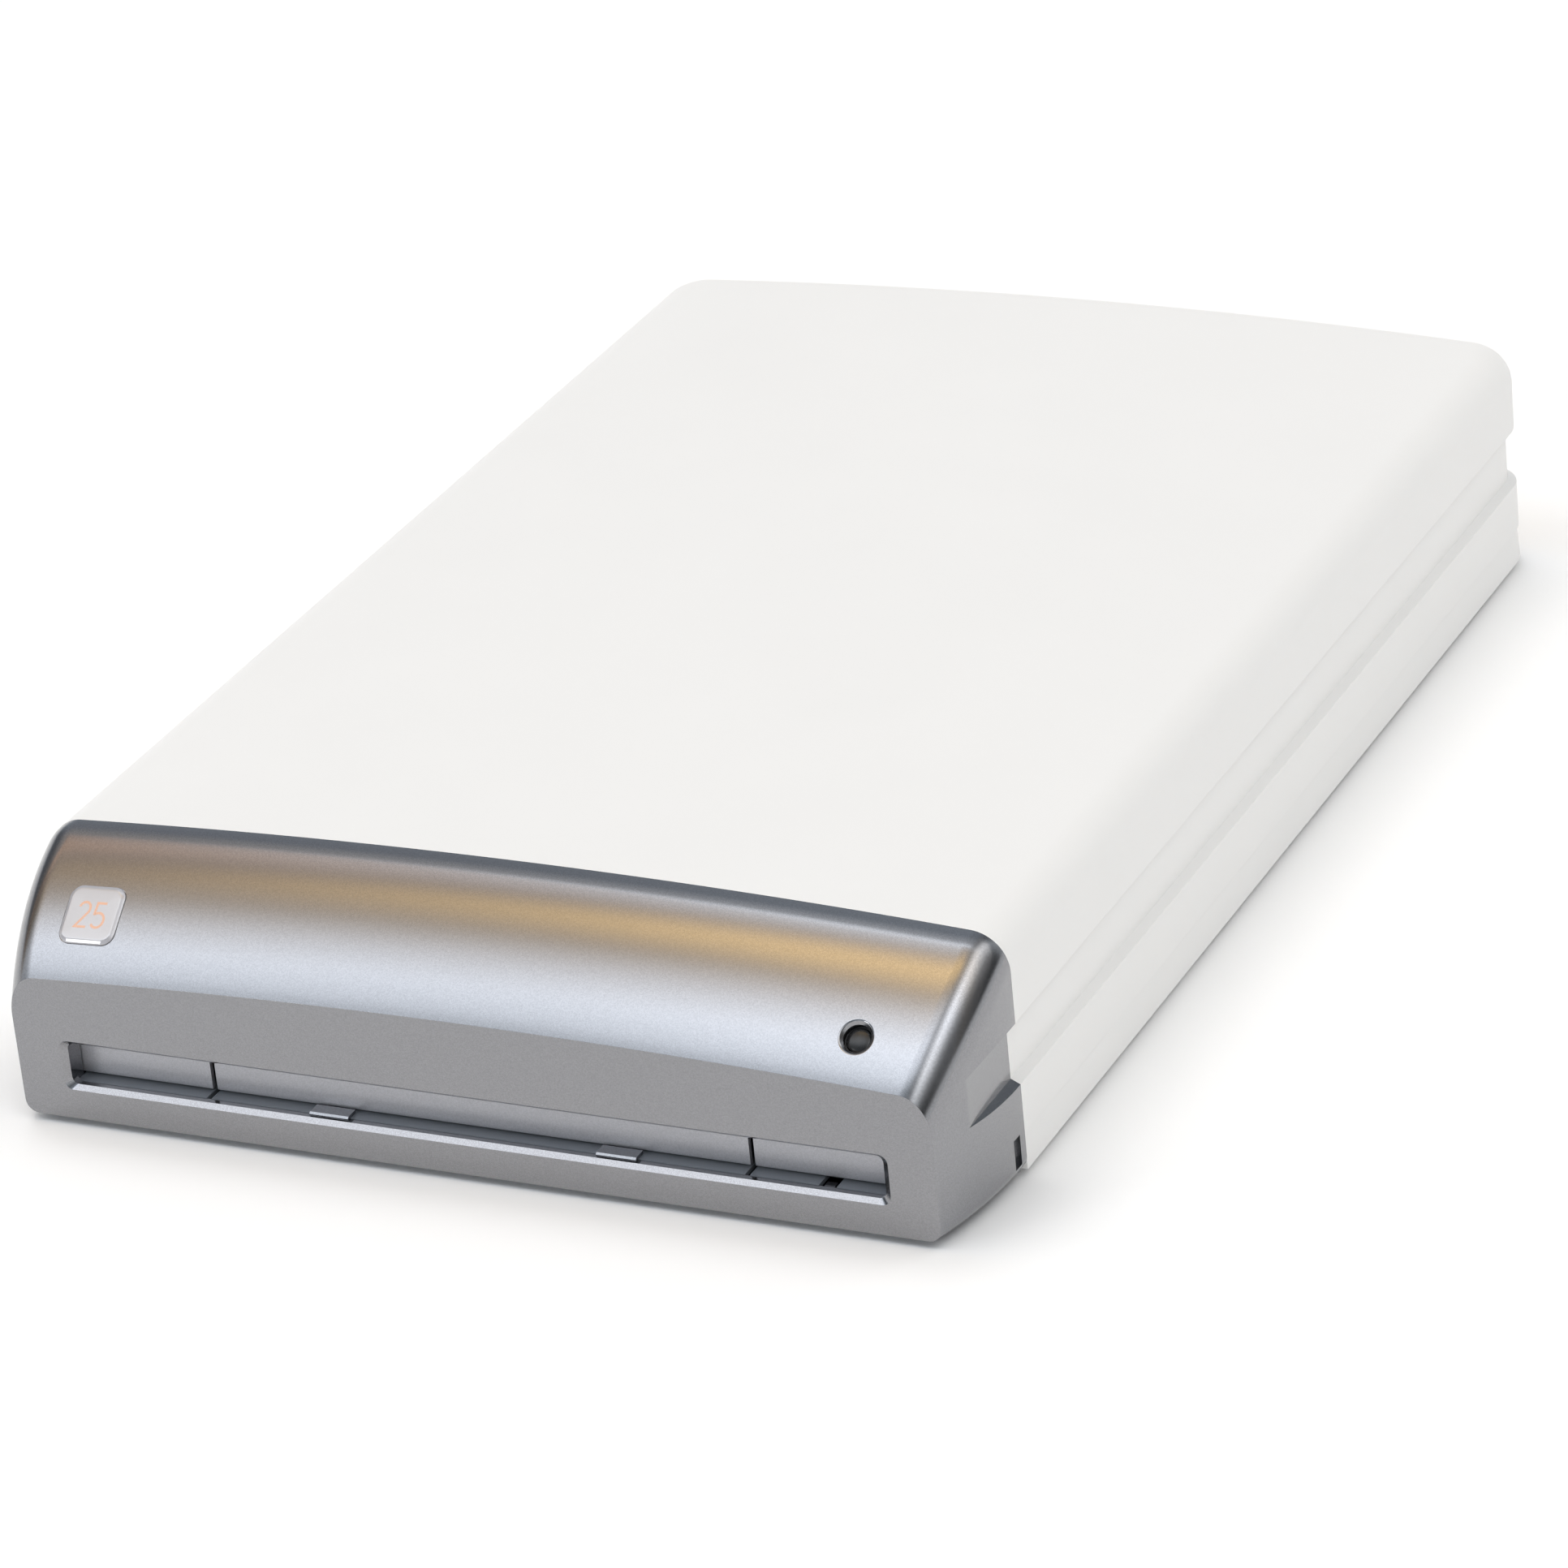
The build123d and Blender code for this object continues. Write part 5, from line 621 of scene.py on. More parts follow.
def apply_modifiers(obj: bpy.types.Object) -> None:
    """Replaces a piece's mesh by what its modifiers make of it.

    Args:
        obj: The piece.
    """
    bpy.context.view_layer.update()
    graph = bpy.context.evaluated_depsgraph_get()
    finished = bpy.data.meshes.new_from_object(obj.evaluated_get(graph))
    obj.modifiers.clear()
    obj.data = finished


def add_bevel(obj: bpy.types.Object, name: str, width: float, segments: int, angle: float | None) -> None:
    """Adds a rounding to a piece's modifiers.

    Args:
        obj: The piece.
        name: Name of the modifier.
        width: Width in millimetres.
        segments: Steps over the rounding.
        angle: Smallest angle that is rounded, in degrees, or None to go by the edges' weights.
    """
    bevel = obj.modifiers.new(name, "BEVEL")
    bevel.width = MM * width
    bevel.segments = segments
    bevel.limit_method = "WEIGHT" if angle is None else "ANGLE"
    if angle is not None:
        bevel.angle_limit = math.radians(angle)


def round_edges(obj: bpy.types.Object, width: float, segments: int = 2) -> None:
    """Rounds every sharp edge, with a width in millimetres."""
    add_bevel(obj, "rounding", width, segments, SHARP_ANGLE)
    apply_modifiers(obj)


def round_marked(obj: bpy.types.Object, width: float, weights: Callable[[Vector, Vector], float],
                 segments: int = 3) -> None:
    """Rounds the sharp edges that a rule picks out.

    Args:
        obj: The piece.
        width: Width of the rounding in millimetres at weight 1.
        weights: From an edge's two ends in millimetres to its weight, 0 for none.
        segments: Steps over the rounding.
    """
    marked = bmesh.new()
    marked.from_mesh(obj.data)
    layer = marked.edges.layers.float.new("bevel_weight_edge")
    for edge in marked.edges:
        if edge.is_manifold and edge.calc_face_angle() > math.radians(SHARP_ANGLE):
            first, second = (vert.co / MM for vert in edge.verts)
            edge[layer] = weights(first, second)
    marked.to_mesh(obj.data)
    marked.free()
    add_bevel(obj, "rounding", width, segments, None)
    apply_modifiers(obj)


def inset_ring(ring: Ring, distance: float) -> Ring:
    """A ring at the same depth, moved inwards, or outwards where the distance is negative.

    Args:
        ring: The ring, which runs clockwise seen from the front.
        distance: How far it moves, in millimetres.

    Returns:
        The moved ring.
    """
    moved = []
    count = len(ring)
    for k, (x, y, z) in enumerate(ring):
        before, after = k - 1, (k + 1) % count
        while math.dist(ring[before], ring[after]) < NEAR:
            before, after = (before - 1) % count, (after + 1) % count
        dx, dz = ring[after][0] - ring[before][0], ring[after][2] - ring[before][2]
        length = math.hypot(dx, dz)
        moved.append((x + distance * dz / length, y, z - distance * dx / length))
    return moved


def combine(obj: bpy.types.Object, tool: bpy.types.Object, join: Join) -> None:
    """Cuts a tool out of a piece, or joins it on, and deletes the tool.

    Args:
        obj: The piece.
        tool: The tool.
        join: Which of the two.
    """
    cut = obj.modifiers.new("cut", "BOOLEAN")
    cut.operation = join.value
    cut.object = tool
    cut.solver = "EXACT"
    apply_modifiers(obj)
    bpy.data.objects.remove(tool)


def smooth(obj: bpy.types.Object, angle: float = CREASE_ANGLE) -> None:
    """Shades a piece smooth, with flat faces kept flat.

    Args:
        obj: The piece.
        angle: Edges above this angle in degrees stay sharp.
    """
    obj.data.shade_smooth()
    obj.data.set_sharp_from_angle(angle=math.radians(angle))
    weighted = obj.modifiers.new("even_normals", "WEIGHTED_NORMAL")
    weighted.keep_sharp = True
    apply_modifiers(obj)


def loft(rings: Sequence[Ring], closed: bool) -> Skin:
    """Skin over rings with equal numbers of points, each ring closed.

    Args:
        rings: The rings in order.
        closed: Whether the last ring joins the first.

    Returns:
        The points and the faces.
    """
    count = len(rings[0])
    points = [point for ring in rings for point in ring]
    faces = []
    for k in range(len(rings) if closed else len(rings) - 1):
        here, there = k * count, ((k + 1) % len(rings)) * count
        for j in range(count):
            after = (j + 1) % count
            faces.append((here + j, here + after, there + after, there + j))
    return points, faces


def between(low: float, high: float, count: int) -> list[float]:
    """Evenly spaced values from low to high, both included."""
    return [low + (high - low) * k / (count - 1) for k in range(count)]


def swing(first: Vector, second: Vector, share: float) -> Vector:
    """The direction at a share of the turn from one direction to another.

    Args:
        first: Where the turn starts.
        second: Where it ends.
        share: From 0 to 1.

    Returns:
        The direction.
    """
    angle = first.angle(second, 0.0)
    if angle < SAME_DIRECTION:
        return first.copy()
    return (first * math.sin((1 - share) * angle) + second * math.sin(share * angle)) / math.sin(angle)


@dataclass(frozen=True)
class Housing:
    """Sizes that the housing's shells share, in millimetres."""

    half_width: float = 227.0
    front_y: float = -356.5
    seam_y: float = -290.0
    rear_y: float = 356.5
    body_z: float = 4.0
    top_z: float = 120.0
    wall: float = 3.0
    crown_drop: float = 7.2
    edge_radius: float = 17.5
    rear_corner: float = 24.0
    groove_depth: float = 4.3
    ledge_low_z: float = 44.1
    ledge_high_z: float = 46.2
    part_z: float = 68.3
    lip_z: float = 72.6
    skirt_z: float = 21.0
    skirt_step: float = 1.0
    window_at: Pair = (-183.0, -334.0)
    button_at: Pair = (179.5, -341.5)
    foot_x: float = 188.0
    foot_radius: float = 11.0
    foot_sink: float = 1.0
    overrun: float = 5.0

    @property
    def crown_radius(self) -> float:
        """Radius of the cover's crown."""
        return (self.half_width ** 2 + self.crown_drop ** 2) / (2 * self.crown_drop)

    @property
    def axis_z(self) -> float:
        """Height of the crown's axis, which runs along Y."""
        return self.top_z - self.crown_radius

    def crown_z(self, x: float, inset: float) -> float:
        """Height of the crown, or of the surface a distance under it."""
        return self.axis_z + math.sqrt((self.crown_radius - inset) ** 2 - x ** 2)


HOUSING = Housing()


def level(depth: float, z: float) -> Station:
    """A station a depth inside the outline, at one height."""
    return lambda step: (step[0] - depth * step[2], step[1] - depth * step[3], z)


@dataclass
class Assembly:
    """A part of the scanner that is built here."""

    palette: Palette

    def build(self) -> None:
        """Builds the part, which each assembly does in a way of its own."""
        raise NotImplementedError

    def settle(self, obj: bpy.types.Object, slot: Slot, *nodes: str, body: Body = Body.HOUSING) -> None:
        """Dresses a piece, lets it ride and hides the CAD nodes it stands for.

        Args:
            obj: The piece.
            slot: Its material slot.
            nodes: Names of the CAD nodes, none for a piece of its own.
            body: The body that it rides on.
        """
        self.palette.dress(obj, slot)
        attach(obj, body.value)
        if nodes:
            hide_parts(*nodes)
        LOG.info("%s rides on %s: %d faces", obj.name, body.value, len(obj.data.polygons))


@dataclass
class Tub(Assembly):
    """An open shell with the housing's plan, closed by a crown or a floor.

    Attributes:
        side_rows: Rows along each straight side.
        corner_rows: Rows round each rear corner.
        columns: Columns across the crown or floor.
    """

    side_rows: int = 56
    corner_rows: int = 14
    columns: int = 44

    def stations(self, inset: float) -> list[Station]:
        """The stations from the rim on, which each shell has of its own."""
        raise NotImplementedError

    def fill_z(self, x: float, inset: float) -> float:
        """Height of the crown or floor, which each shell has of its own."""
        raise NotImplementedError

    def path(self) -> list[Step]:
        """The housing's outline.

        Returns:
            Points with their outward directions, from the left front round to the right front.
        """
        house = HOUSING
        corner_y = house.rear_y - house.rear_corner
        corner_x = house.half_width - house.rear_corner
        right = [(house.half_width, y, 1.0, 0.0) for y in between(house.seam_y, corner_y, self.side_rows)]
        for angle in between(0.0, QUARTER_TURN, self.corner_rows)[1:]:
            nx, ny = math.cos(angle), math.sin(angle)
            right.append((corner_x + house.rear_corner * nx, corner_y + house.rear_corner * ny, nx, ny))
        across = [(x, house.rear_y, 0.0, 1.0) for x in between(-corner_x, corner_x, self.columns)[1:-1]]
        left = [(-x, y, -nx, ny) for x, y, nx, ny in right]
        return left + across + right[::-1]

    def skin(self, inset: float) -> Skin:
        """One surface of the tub, from its rim to its crown or floor.

        Args:
            inset: Distance under the outer surface.

        Returns:
            The points, with the stations' points first, and the faces.
        """
        path, stations = self.path(), self.stations(inset)
        count = len(path)
        points = [station(step) for station in stations for step in path]
        faces: list[tuple[int, ...]] = []
        for place in range(len(stations) - 1):
            for k in range(count - 1):
                low = place * count + k
                faces.append((low, low + 1, low + count + 1, low + count))
        last = (len(stations) - 1) * count
        rows = self.side_rows + self.corner_rows - 1
        grid: list[list[int]] = []
        for row in range(rows):
            left, right = last + row, last + count - 1 - row
            if row == rows - 1:
                grid.append(list(range(left, right + 1)))
                continue
            line = [left]
            (x0, y, _), (x1, _, _) = points[left], points[right]
            for x in between(x0, x1, self.columns)[1:-1]:
                line.append(len(points))
                points.append((x, y, self.fill_z(x, inset)))
            grid.append(line + [right])
        for near, far in zip(grid, grid[1:]):
            for k in range(self.columns - 1):
                faces.append((near[k], near[k + 1], far[k + 1], far[k]))
        return points, faces

    def shell(self, name: str) -> bpy.types.Object:
        """Joins the outer and inner skins along the rim and along the cut at the seam.

        Args:
            name: Name of the piece.

        Returns:
            The closed shell.
        """
        outer, inner = self.skin(0.0), self.skin(HOUSING.wall)
        count, levels = len(self.path()), len(self.stations(0.0))
        shift = len(outer[0])
        faces = outer[1] + [tuple(shift + k for k in face[::-1]) for face in inner[1]]
        for k in range(count - 1):
            faces.append((k, k + 1, shift + k + 1, shift + k))
        edge = [place * count for place in range(levels)]
        first_row = (levels - 1) * count
        top = [first_row] + [levels * count + k for k in range(self.columns - 2)] + [first_row + count - 1]
        line = edge[:-1] + top + [k + count - 1 for k in edge[:-1]][::-1]
        for a, b in zip(line, line[1:]):
            faces.append((a, b, shift + b, shift + a))
        return add_piece(name, outer[0] + inner[0], faces)


@dataclass
class TopCover(Tub):
    """White crowned cover with a rolled edge and a bevelled lip over the side groove."""

    fillet_steps: int = 14
    wall_steps: int = 3
    edge_round: float = 0.45

    def wall_point(self, step: Step, inset: float, share: float) -> Point:
        """Point between the lip and the start of the rolled edge.

        Args:
            step: Place on the path.
            inset: Distance under the outer surface.
            share: Share of the way up.

        Returns:
            The point.
        """
        x, y, nx, ny = step
        top = HOUSING.crown_z(x - HOUSING.edge_radius * nx, HOUSING.edge_radius)
        return x - inset * nx, y - inset * ny, HOUSING.lip_z + share * (top - HOUSING.lip_z)

    def rolled_point(self, step: Step, inset: float, share: float) -> Point:
        """Point of the rolled edge.

        Args:
            step: Place on the path.
            inset: Distance under the outer surface.
            share: Share of the turn from the wall to the crown.

        Returns:
            The point.
        """
        radius = HOUSING.edge_radius
        outer_x, outer_y, nx, ny = step
        x, y = outer_x - radius * nx, outer_y - radius * ny
        centre = Vector((x, y, HOUSING.crown_z(x, radius)))
        outward = Vector((nx, ny, 0.0))
        up = Vector((x, 0.0, centre.z - HOUSING.axis_z)).normalized()
        return tuple(centre + swing(outward, up, share) * (radius - inset))

    def stations(self, inset: float) -> list[Station]:
        """Stations over the lip, the wall and the rolled edge.

        Args:
            inset: Distance under the outer surface.

        Returns:
            The stations, from the rim up.
        """
        levels = [level(HOUSING.groove_depth + inset, HOUSING.part_z), level(inset, HOUSING.lip_z)]
        for point, steps in ((self.wall_point, self.wall_steps), (self.rolled_point, self.fillet_steps)):
            levels += [partial(point, inset=inset, share=share) for share in between(0.0, 1.0, steps + 1)[1:]]
        return levels

    def fill_z(self, x: float, inset: float) -> float:
        """Height of the crown."""
        return HOUSING.crown_z(x, inset)

    def build(self) -> None:
        """Builds the cover and lets it stand for its CAD node."""
        cover = self.shell("cover_shell")
        round_edges(cover, self.edge_round)
        smooth(cover)
        self.settle(cover, Slot.WHITE_SHELL, "top_cover")


@dataclass
class LowerCase(Tub):
    """White lower case with its skirt, the side groove and the bay at the rear."""

    bay_half_width: float = 165.0
    bay_low_z: float = 13.0
    bay_high_z: float = 62.0
    bay_corner: float = 6.0
    bay_front_y: float = 348.7
    bay_steps: tuple[int, int, int, int, int] = (2, 8, 2, 8, 2)
    edge_round: float = 0.4
    foot_y: float = 318.0
    screw_x: float = 190.0
    screw_y: tuple[float, float, float] = (-262.0, 40.0, 262.0)
    screw_radius: float = 2.0
    head_radius: float = 3.6
    head_depth: float = 2.0

    def stations(self, inset: float) -> list[Station]:
        """Stations over the groove, the ledge and the skirt.

        Args:
            inset: Distance under the outer surface.

        Returns:
            The stations, from the rim down.
        """
        house = HOUSING
        groove = house.groove_depth
        profile = [(groove, house.part_z), (groove, house.ledge_high_z - inset),
                   (0.0, house.ledge_low_z - inset), (0.0, house.skirt_z),
                   (house.skirt_step, house.skirt_z), (0.0, house.body_z + inset)]
        return [level(depth + inset, z) for depth, z in profile]

    def fill_z(self, x: float, inset: float) -> float:
        """Height of the floor."""
        return HOUSING.body_z + inset

    def build(self) -> None:
        """Builds the case with its bay, foot sinks and screw holes, and replaces the CAD node."""
        house = HOUSING
        case = self.shell("case_shell")
        middle = HALF * (self.bay_low_z + self.bay_high_z)
        half_z = HALF * (self.bay_high_z - self.bay_low_z)
        rings = [rounded_ring(self.bay_half_width, half_z, self.bay_corner, middle, y, self.bay_steps)
                 for y in (self.bay_front_y, house.rear_y + house.overrun)]
        combine(case, capped("bay_tool", rings), Join.CUT)
        low, high = house.body_z - house.overrun, house.body_z + house.wall + house.overrun
        seat = house.body_z + self.head_depth
        tools = Turning()
        for side in SIDES:
            tools.add_sink(side, self.foot_y)
            for y in self.screw_y:
                tools.add([(self.head_radius, low), (self.head_radius, seat), (self.screw_radius, seat),
                           (self.screw_radius, high)], side * self.screw_x, y)
        combine(case, tools.piece("case_tools"), Join.CUT)
        round_edges(case, self.edge_round)
        smooth(case)
        self.settle(case, Slot.WHITE_SHELL, "lower_case")


def half_ring_join(right: list[Point]) -> Ring:
    """A whole ring from its right half, which runs from the top middle to the bottom middle."""
    left = [(-x, y, z) for x, y, z in right[1:-1]]
    return right + left[::-1]


def rounded_ring(half_x: float, half_z: float, corner: float, middle_z: float, y: float,
                 counts: tuple[int, int, int, int, int]) -> Ring:
    """Rounded rectangle at one depth, with a set number of steps in each stretch.

    Args:
        half_x: Half of the width.
        half_z: Half of the height.
        corner: Radius of the corners.
        middle_z: Height of the middle.
        y: Depth.
        counts: Steps along the top, the upper corner, the side, the lower corner and the bottom.

    Returns:
        The ring.
    """
    top, upper, side, lower, bottom = counts
    cx, high, low = half_x - corner, middle_z + half_z - corner, middle_z - half_z + corner
    right = [(x, y, high + corner) for x in between(0.0, cx, top + 1)]
    for angle in between(0.0, QUARTER_TURN, upper + 1)[1:]:
        right.append((cx + corner * math.sin(angle), y, high + corner * math.cos(angle)))
    right += [(half_x, y, z) for z in between(high, low, side + 1)[1:]]
    for angle in between(0.0, QUARTER_TURN, lower + 1)[1:]:
        right.append((cx + corner * math.cos(angle), y, low - corner * math.sin(angle)))
    right += [(x, y, low - corner) for x in between(cx, 0.0, bottom + 1)[1:]]
    return half_ring_join(right)


def capped_skin(rings: Sequence[Ring]) -> Skin:
    """Skin over rings, closed by a face at each end.

    Args:
        rings: The rings in order.

    Returns:
        The points and the faces.
    """
    points, faces = loft(rings, False)
    count, last = len(rings[0]), (len(rings) - 1) * len(rings[0])
    return points, [*faces, tuple(range(count))[::-1], tuple(range(last, last + count))]


def capped(name: str, rings: Sequence[Ring]) -> bpy.types.Object:
    """A solid over rings, closed by a face at each end."""
    return add_piece(name, *capped_skin(rings))


def block(name: str, x: Pair, y: Pair, z: Pair) -> bpy.types.Object:
    """A box between two places on each axis."""
    corners = ((x[0], y[0]), (x[1], y[0]), (x[1], y[1]), (x[0], y[1]))
    return capped(name, [[(*corner, height) for corner in corners] for height in z])


@dataclass
class Turning:
    """Turned solids with upright axes, gathered into one piece."""

    steps: int = 56
    points: list[Point] = field(default_factory=list)
    faces: list[tuple[int, ...]] = field(default_factory=list)

    def add(self, stations: Sequence[Pair], x: float = 0.0, y: float = 0.0) -> None:
        """Adds one solid.

        Args:
            stations: Pairs of radius and height, from one end's face to the other's.
            x: Place of the axis.
            y: Place of the axis.
        """
        turns = between(0.0, 2 * math.pi, self.steps + 1)[:-1]
        rings = [[(x + r * math.cos(a), y + r * math.sin(a), z) for a in turns] for r, z in stations]
        points, faces = capped_skin(rings)
        shift = len(self.points)
        self.points += points
        self.faces += [tuple(shift + k for k in face) for face in faces]

    def add_sink(self, side: int, y: float) -> None:
        """Adds the sink of one rubber foot, on the left or the right."""
        levels = (HOUSING.body_z - HOUSING.overrun, HOUSING.body_z + HOUSING.foot_sink)
        self.add([(HOUSING.foot_radius, z) for z in levels], side * HOUSING.foot_x, y)

    def piece(self, name: str) -> bpy.types.Object:
        """The gathered solids as one object."""
        return add_piece(name, self.points, self.faces)


@dataclass(frozen=True)
class NoseProfile:
    """The nose in the middle plane: a brow arc, then one long arc down to the fascia."""

    brow_radius: float = 25.0
    brow_angle: float = 25.0
    fascia_top_z: float = 76.8

    def arcs(self) -> tuple[float, float, float]:
        """The long arc.

        Returns:
            Depth and height of its centre, and its radius.
        """
        angle = math.radians(self.brow_angle)
        ny, nz = -math.sin(angle), math.cos(angle)
        hand_y = HOUSING.seam_y + self.brow_radius * ny
        hand_z = HOUSING.top_z - self.brow_radius + self.brow_radius * nz
        fall_y, fall_z = HOUSING.front_y - hand_y, self.fascia_top_z - hand_z
        radius = -(fall_y ** 2 + fall_z ** 2) / (2 * (fall_y * ny + fall_z * nz))
        return hand_y - ny * radius, hand_z - nz * radius, radius

    def at_tilt(self, tilt: float, inset: float) -> Pair:
        """The point whose normal leans forward by a tilt.

        Args:
            tilt: The lean in radians.
            inset: Distance under the outer surface.

        Returns:
            Depth and height of the point.
        """
        if tilt <= math.radians(self.brow_angle):
            centre_y, centre_z, radius = HOUSING.seam_y, HOUSING.top_z - self.brow_radius, self.brow_radius
        else:
            centre_y, centre_z, radius = self.arcs()
        reach = radius - inset
        return centre_y - reach * math.sin(tilt), centre_z + reach * math.cos(tilt)

    def tilt_at(self, y: float, inset: float) -> float:
        """Forward lean of the normal at a depth.

        Args:
            y: Depth.
            inset: Distance under the outer surface.

        Returns:
            The lean in radians.
        """
        brow = (self.brow_radius - inset) * math.sin(math.radians(self.brow_angle))
        if y >= HOUSING.seam_y - brow:
            return math.asin((HOUSING.seam_y - y) / (self.brow_radius - inset))
        centre_y, _, radius = self.arcs()
        return math.asin((centre_y - y) / (radius - inset))


NOSE = NoseProfile()


@dataclass
class FrontBezel(Assembly):
    """Silver bezel: crowned nose, flat fascia with the drafted slot, and cheeks that sweep in."""

    cheek_sweep: float = 10.3
    base_radius: float = 6.0
    slot_half_width: float = 195.5
    slot_low_z: float = 18.1
    slot_high_z: float = 41.9
    slot_corner: float = 4.5
    slot_draft: float = 2.4
    slot_floor_rise: float = 1.1
    slot_rear_y: float = -350.0
    lip_inset: float = 3.0
    lip_rise: float = 1.9
    lip_run: float = 2.3
    lip_back: float = 3.0
    collar_wall: float = 3.4
    jamb_wall: float = 4.0
    jamb_overlap: float = 0.5
    jamb_rear_y: float = -344.6
    jamb_z: Pair = (19.7, 40.5)
    crown_steps: int = 34
    fillet_steps: int = 16
    cheek_steps: tuple[int, int, int] = (4, 6, 6)
    base_steps: int = 6
    bottom_steps: int = 20
    depth_steps: int = 40
    brow_steps: int = 10
    solve_steps: int = 40
    solve_limit: float = 80.0
    base_rounds: int = 4
    edge_round: float = 0.9
    seam_round: float = 0.35
    support: float = 2.2
    window_size: float = 27.9
    window_corner: float = 6.0
    window_pocket: float = 1.4
    hole_radius: float = 6.1
    mouth_radius: float = 7.5
    mouth_depth: float = 1.6
    rim_round: float = 1.6
    rim_steps: int = 7
    rim_end: float = 6.0
    rim_lift: float = 0.02
    boss_radius: float = 10.5
    boss_depth: float = 5.0
    notch_y: float = -298.0
    notch_half_width: float = 3.0
    notch_z: Pair = (9.0, 23.0)
    notch_depth: float = 2.6
    foot_y: float = -322.0

    @property
    def cheek_radius(self) -> float:
        """Radius of the cheek's sweep, seen from above."""
        depth = HOUSING.seam_y - HOUSING.front_y
        return (depth ** 2 + self.cheek_sweep ** 2) / (2 * self.cheek_sweep)

    def cheek_x(self, y: float, inset: float) -> float:
        """Half width at a depth."""
        radius = self.cheek_radius - inset
        return HOUSING.half_width - self.cheek_radius + math.sqrt(radius ** 2 - (y - HOUSING.seam_y) ** 2)

    def cheek_normal(self, y: float, inset: float) -> Vector:
        """Outward direction of the right cheek at a depth of its inset line."""
        lean = (HOUSING.seam_y - y) / (self.cheek_radius - inset)
        return Vector((math.sqrt(1 - lean ** 2), -lean, 0.0))

    def rolled_point(self, tilt: float, share: float, inset: float) -> Vector:
        """Point of the rolled edge between nose and cheek.

        Args:
            tilt: Forward lean of the nose where the rolling ball touches it.
            share: Share of the turn from the nose to the cheek.
            inset: Distance under the outer surface.

        Returns:
            The point.
        """
        radius = HOUSING.edge_radius
        y, height = NOSE.at_tilt(tilt, radius)
        x = self.cheek_x(y, radius)
        reach = height - HOUSING.axis_z
        turn = math.asin(x / reach)
        centre = Vector((x, y, HOUSING.axis_z + reach * math.cos(turn)))
        nose = Vector((math.cos(tilt) * math.sin(turn), -math.sin(tilt), math.cos(tilt) * math.cos(turn)))
        return centre + swing(nose, self.cheek_normal(y, radius), share) * (radius - inset)

    def rolled_at(self, y: float, share: float, inset: float) -> Vector:
        """Point of the rolled edge at a depth, found by halving the range of tilts.

        Args:
            y: Depth.
            share: Share of the turn from the nose to the cheek.
            inset: Distance under the outer surface.

        Returns:
            The point.
        """
        low, high = 0.0, math.radians(self.solve_limit)
        for _ in range(self.solve_steps):
            tilt = HALF * (low + high)
            if self.rolled_point(tilt, share, inset).y > y:
                low = tilt
            else:
                high = tilt
        return self.rolled_point(HALF * (low + high), share, inset)

    def cheek_line(self, y: float, top_z: float, inset: float) -> list[Pair]:
        """The cheek at one depth, from the rolled edge down, with the groove's run-out.

        Args:
            y: Depth.
            top_z: Height at which the rolled edge ends.
            inset: Distance under the outer surface.

        Returns:
            Pairs of half width and height.
        """
        house = HOUSING
        x = self.cheek_x(y, inset)
        outer = house.half_width - inset
        floor = outer - house.groove_depth
        fall = min(1.0, (outer - x) / house.groove_depth)
        lip = min(top_z, house.lip_z + inset - fall * (house.lip_z - house.part_z))
        part = min(top_z, house.part_z + inset)
        ledge = house.ledge_low_z - inset + fall * (house.ledge_high_z - house.ledge_low_z)
        low = house.body_z + self.base_radius
        upper, middle, lower = self.cheek_steps
        deep = min(x, floor)
        line = [(x, z) for z in between(top_z, lip, upper + 1)[1:]]
        line += [(deep, z) for z in between(part, house.ledge_high_z - inset, middle + 1)]
        line += [(x, z) for z in between(ledge, low, lower + 1)]
        return line

    def ring(self, y: float, inset: float) -> Ring:
        """The bezel's outline at one depth.

        Args:
            y: Depth.
            inset: Distance under the outer surface.

        Returns:
            The outline.
        """
        house = HOUSING
        tilt = NOSE.tilt_at(y, inset)
        height = NOSE.at_tilt(tilt, inset)[1]
        reach = height - house.axis_z
        contact = self.rolled_at(y, 0.0, inset)
        turn = math.asin(contact.x / reach)
        right = [(reach * math.sin(a), y, house.axis_z + reach * math.cos(a))
                 for a in between(0.0, turn, self.crown_steps + 1)]
        for share in between(0.0, 1.0, self.fillet_steps + 1)[1:]:
            point = self.rolled_at(y, share, inset)
            right.append((point.x, y, point.z))
        right += [(x, y, z) for x, z in self.cheek_line(y, right[-1][2], inset)]
        base = self.base_radius
        for angle in between(0.0, QUARTER_TURN, self.base_steps + 1)[1:]:
            centre_y = y
            for _ in range(self.base_rounds):
                lean = self.cheek_normal(centre_y, base)
                centre_y = y - (base - inset) * math.cos(angle) * lean.y
            out = self.cheek_x(centre_y, base) + (base - inset) * math.cos(angle) * lean.x
            right.append((out, y, house.body_z + base - (base - inset) * math.sin(angle)))
        right += [(x, y, house.body_z + inset) for x in between(right[-1][0], 0.0, self.bottom_steps + 1)[1:]]
        return half_ring_join(right)

    def depths(self, inset: float) -> list[float]:
        """Depths of the rings, close together where the brow turns.

        Args:
            inset: Distance under the outer surface.

        Returns:
            The depths, from the seam to the fascia.
        """
        brow = HOUSING.seam_y - NOSE.brow_radius * math.sin(math.radians(NOSE.brow_angle))
        front = HOUSING.front_y + inset
        return between(HOUSING.seam_y, brow, self.brow_steps) + between(brow, front, self.depth_steps)[1:]

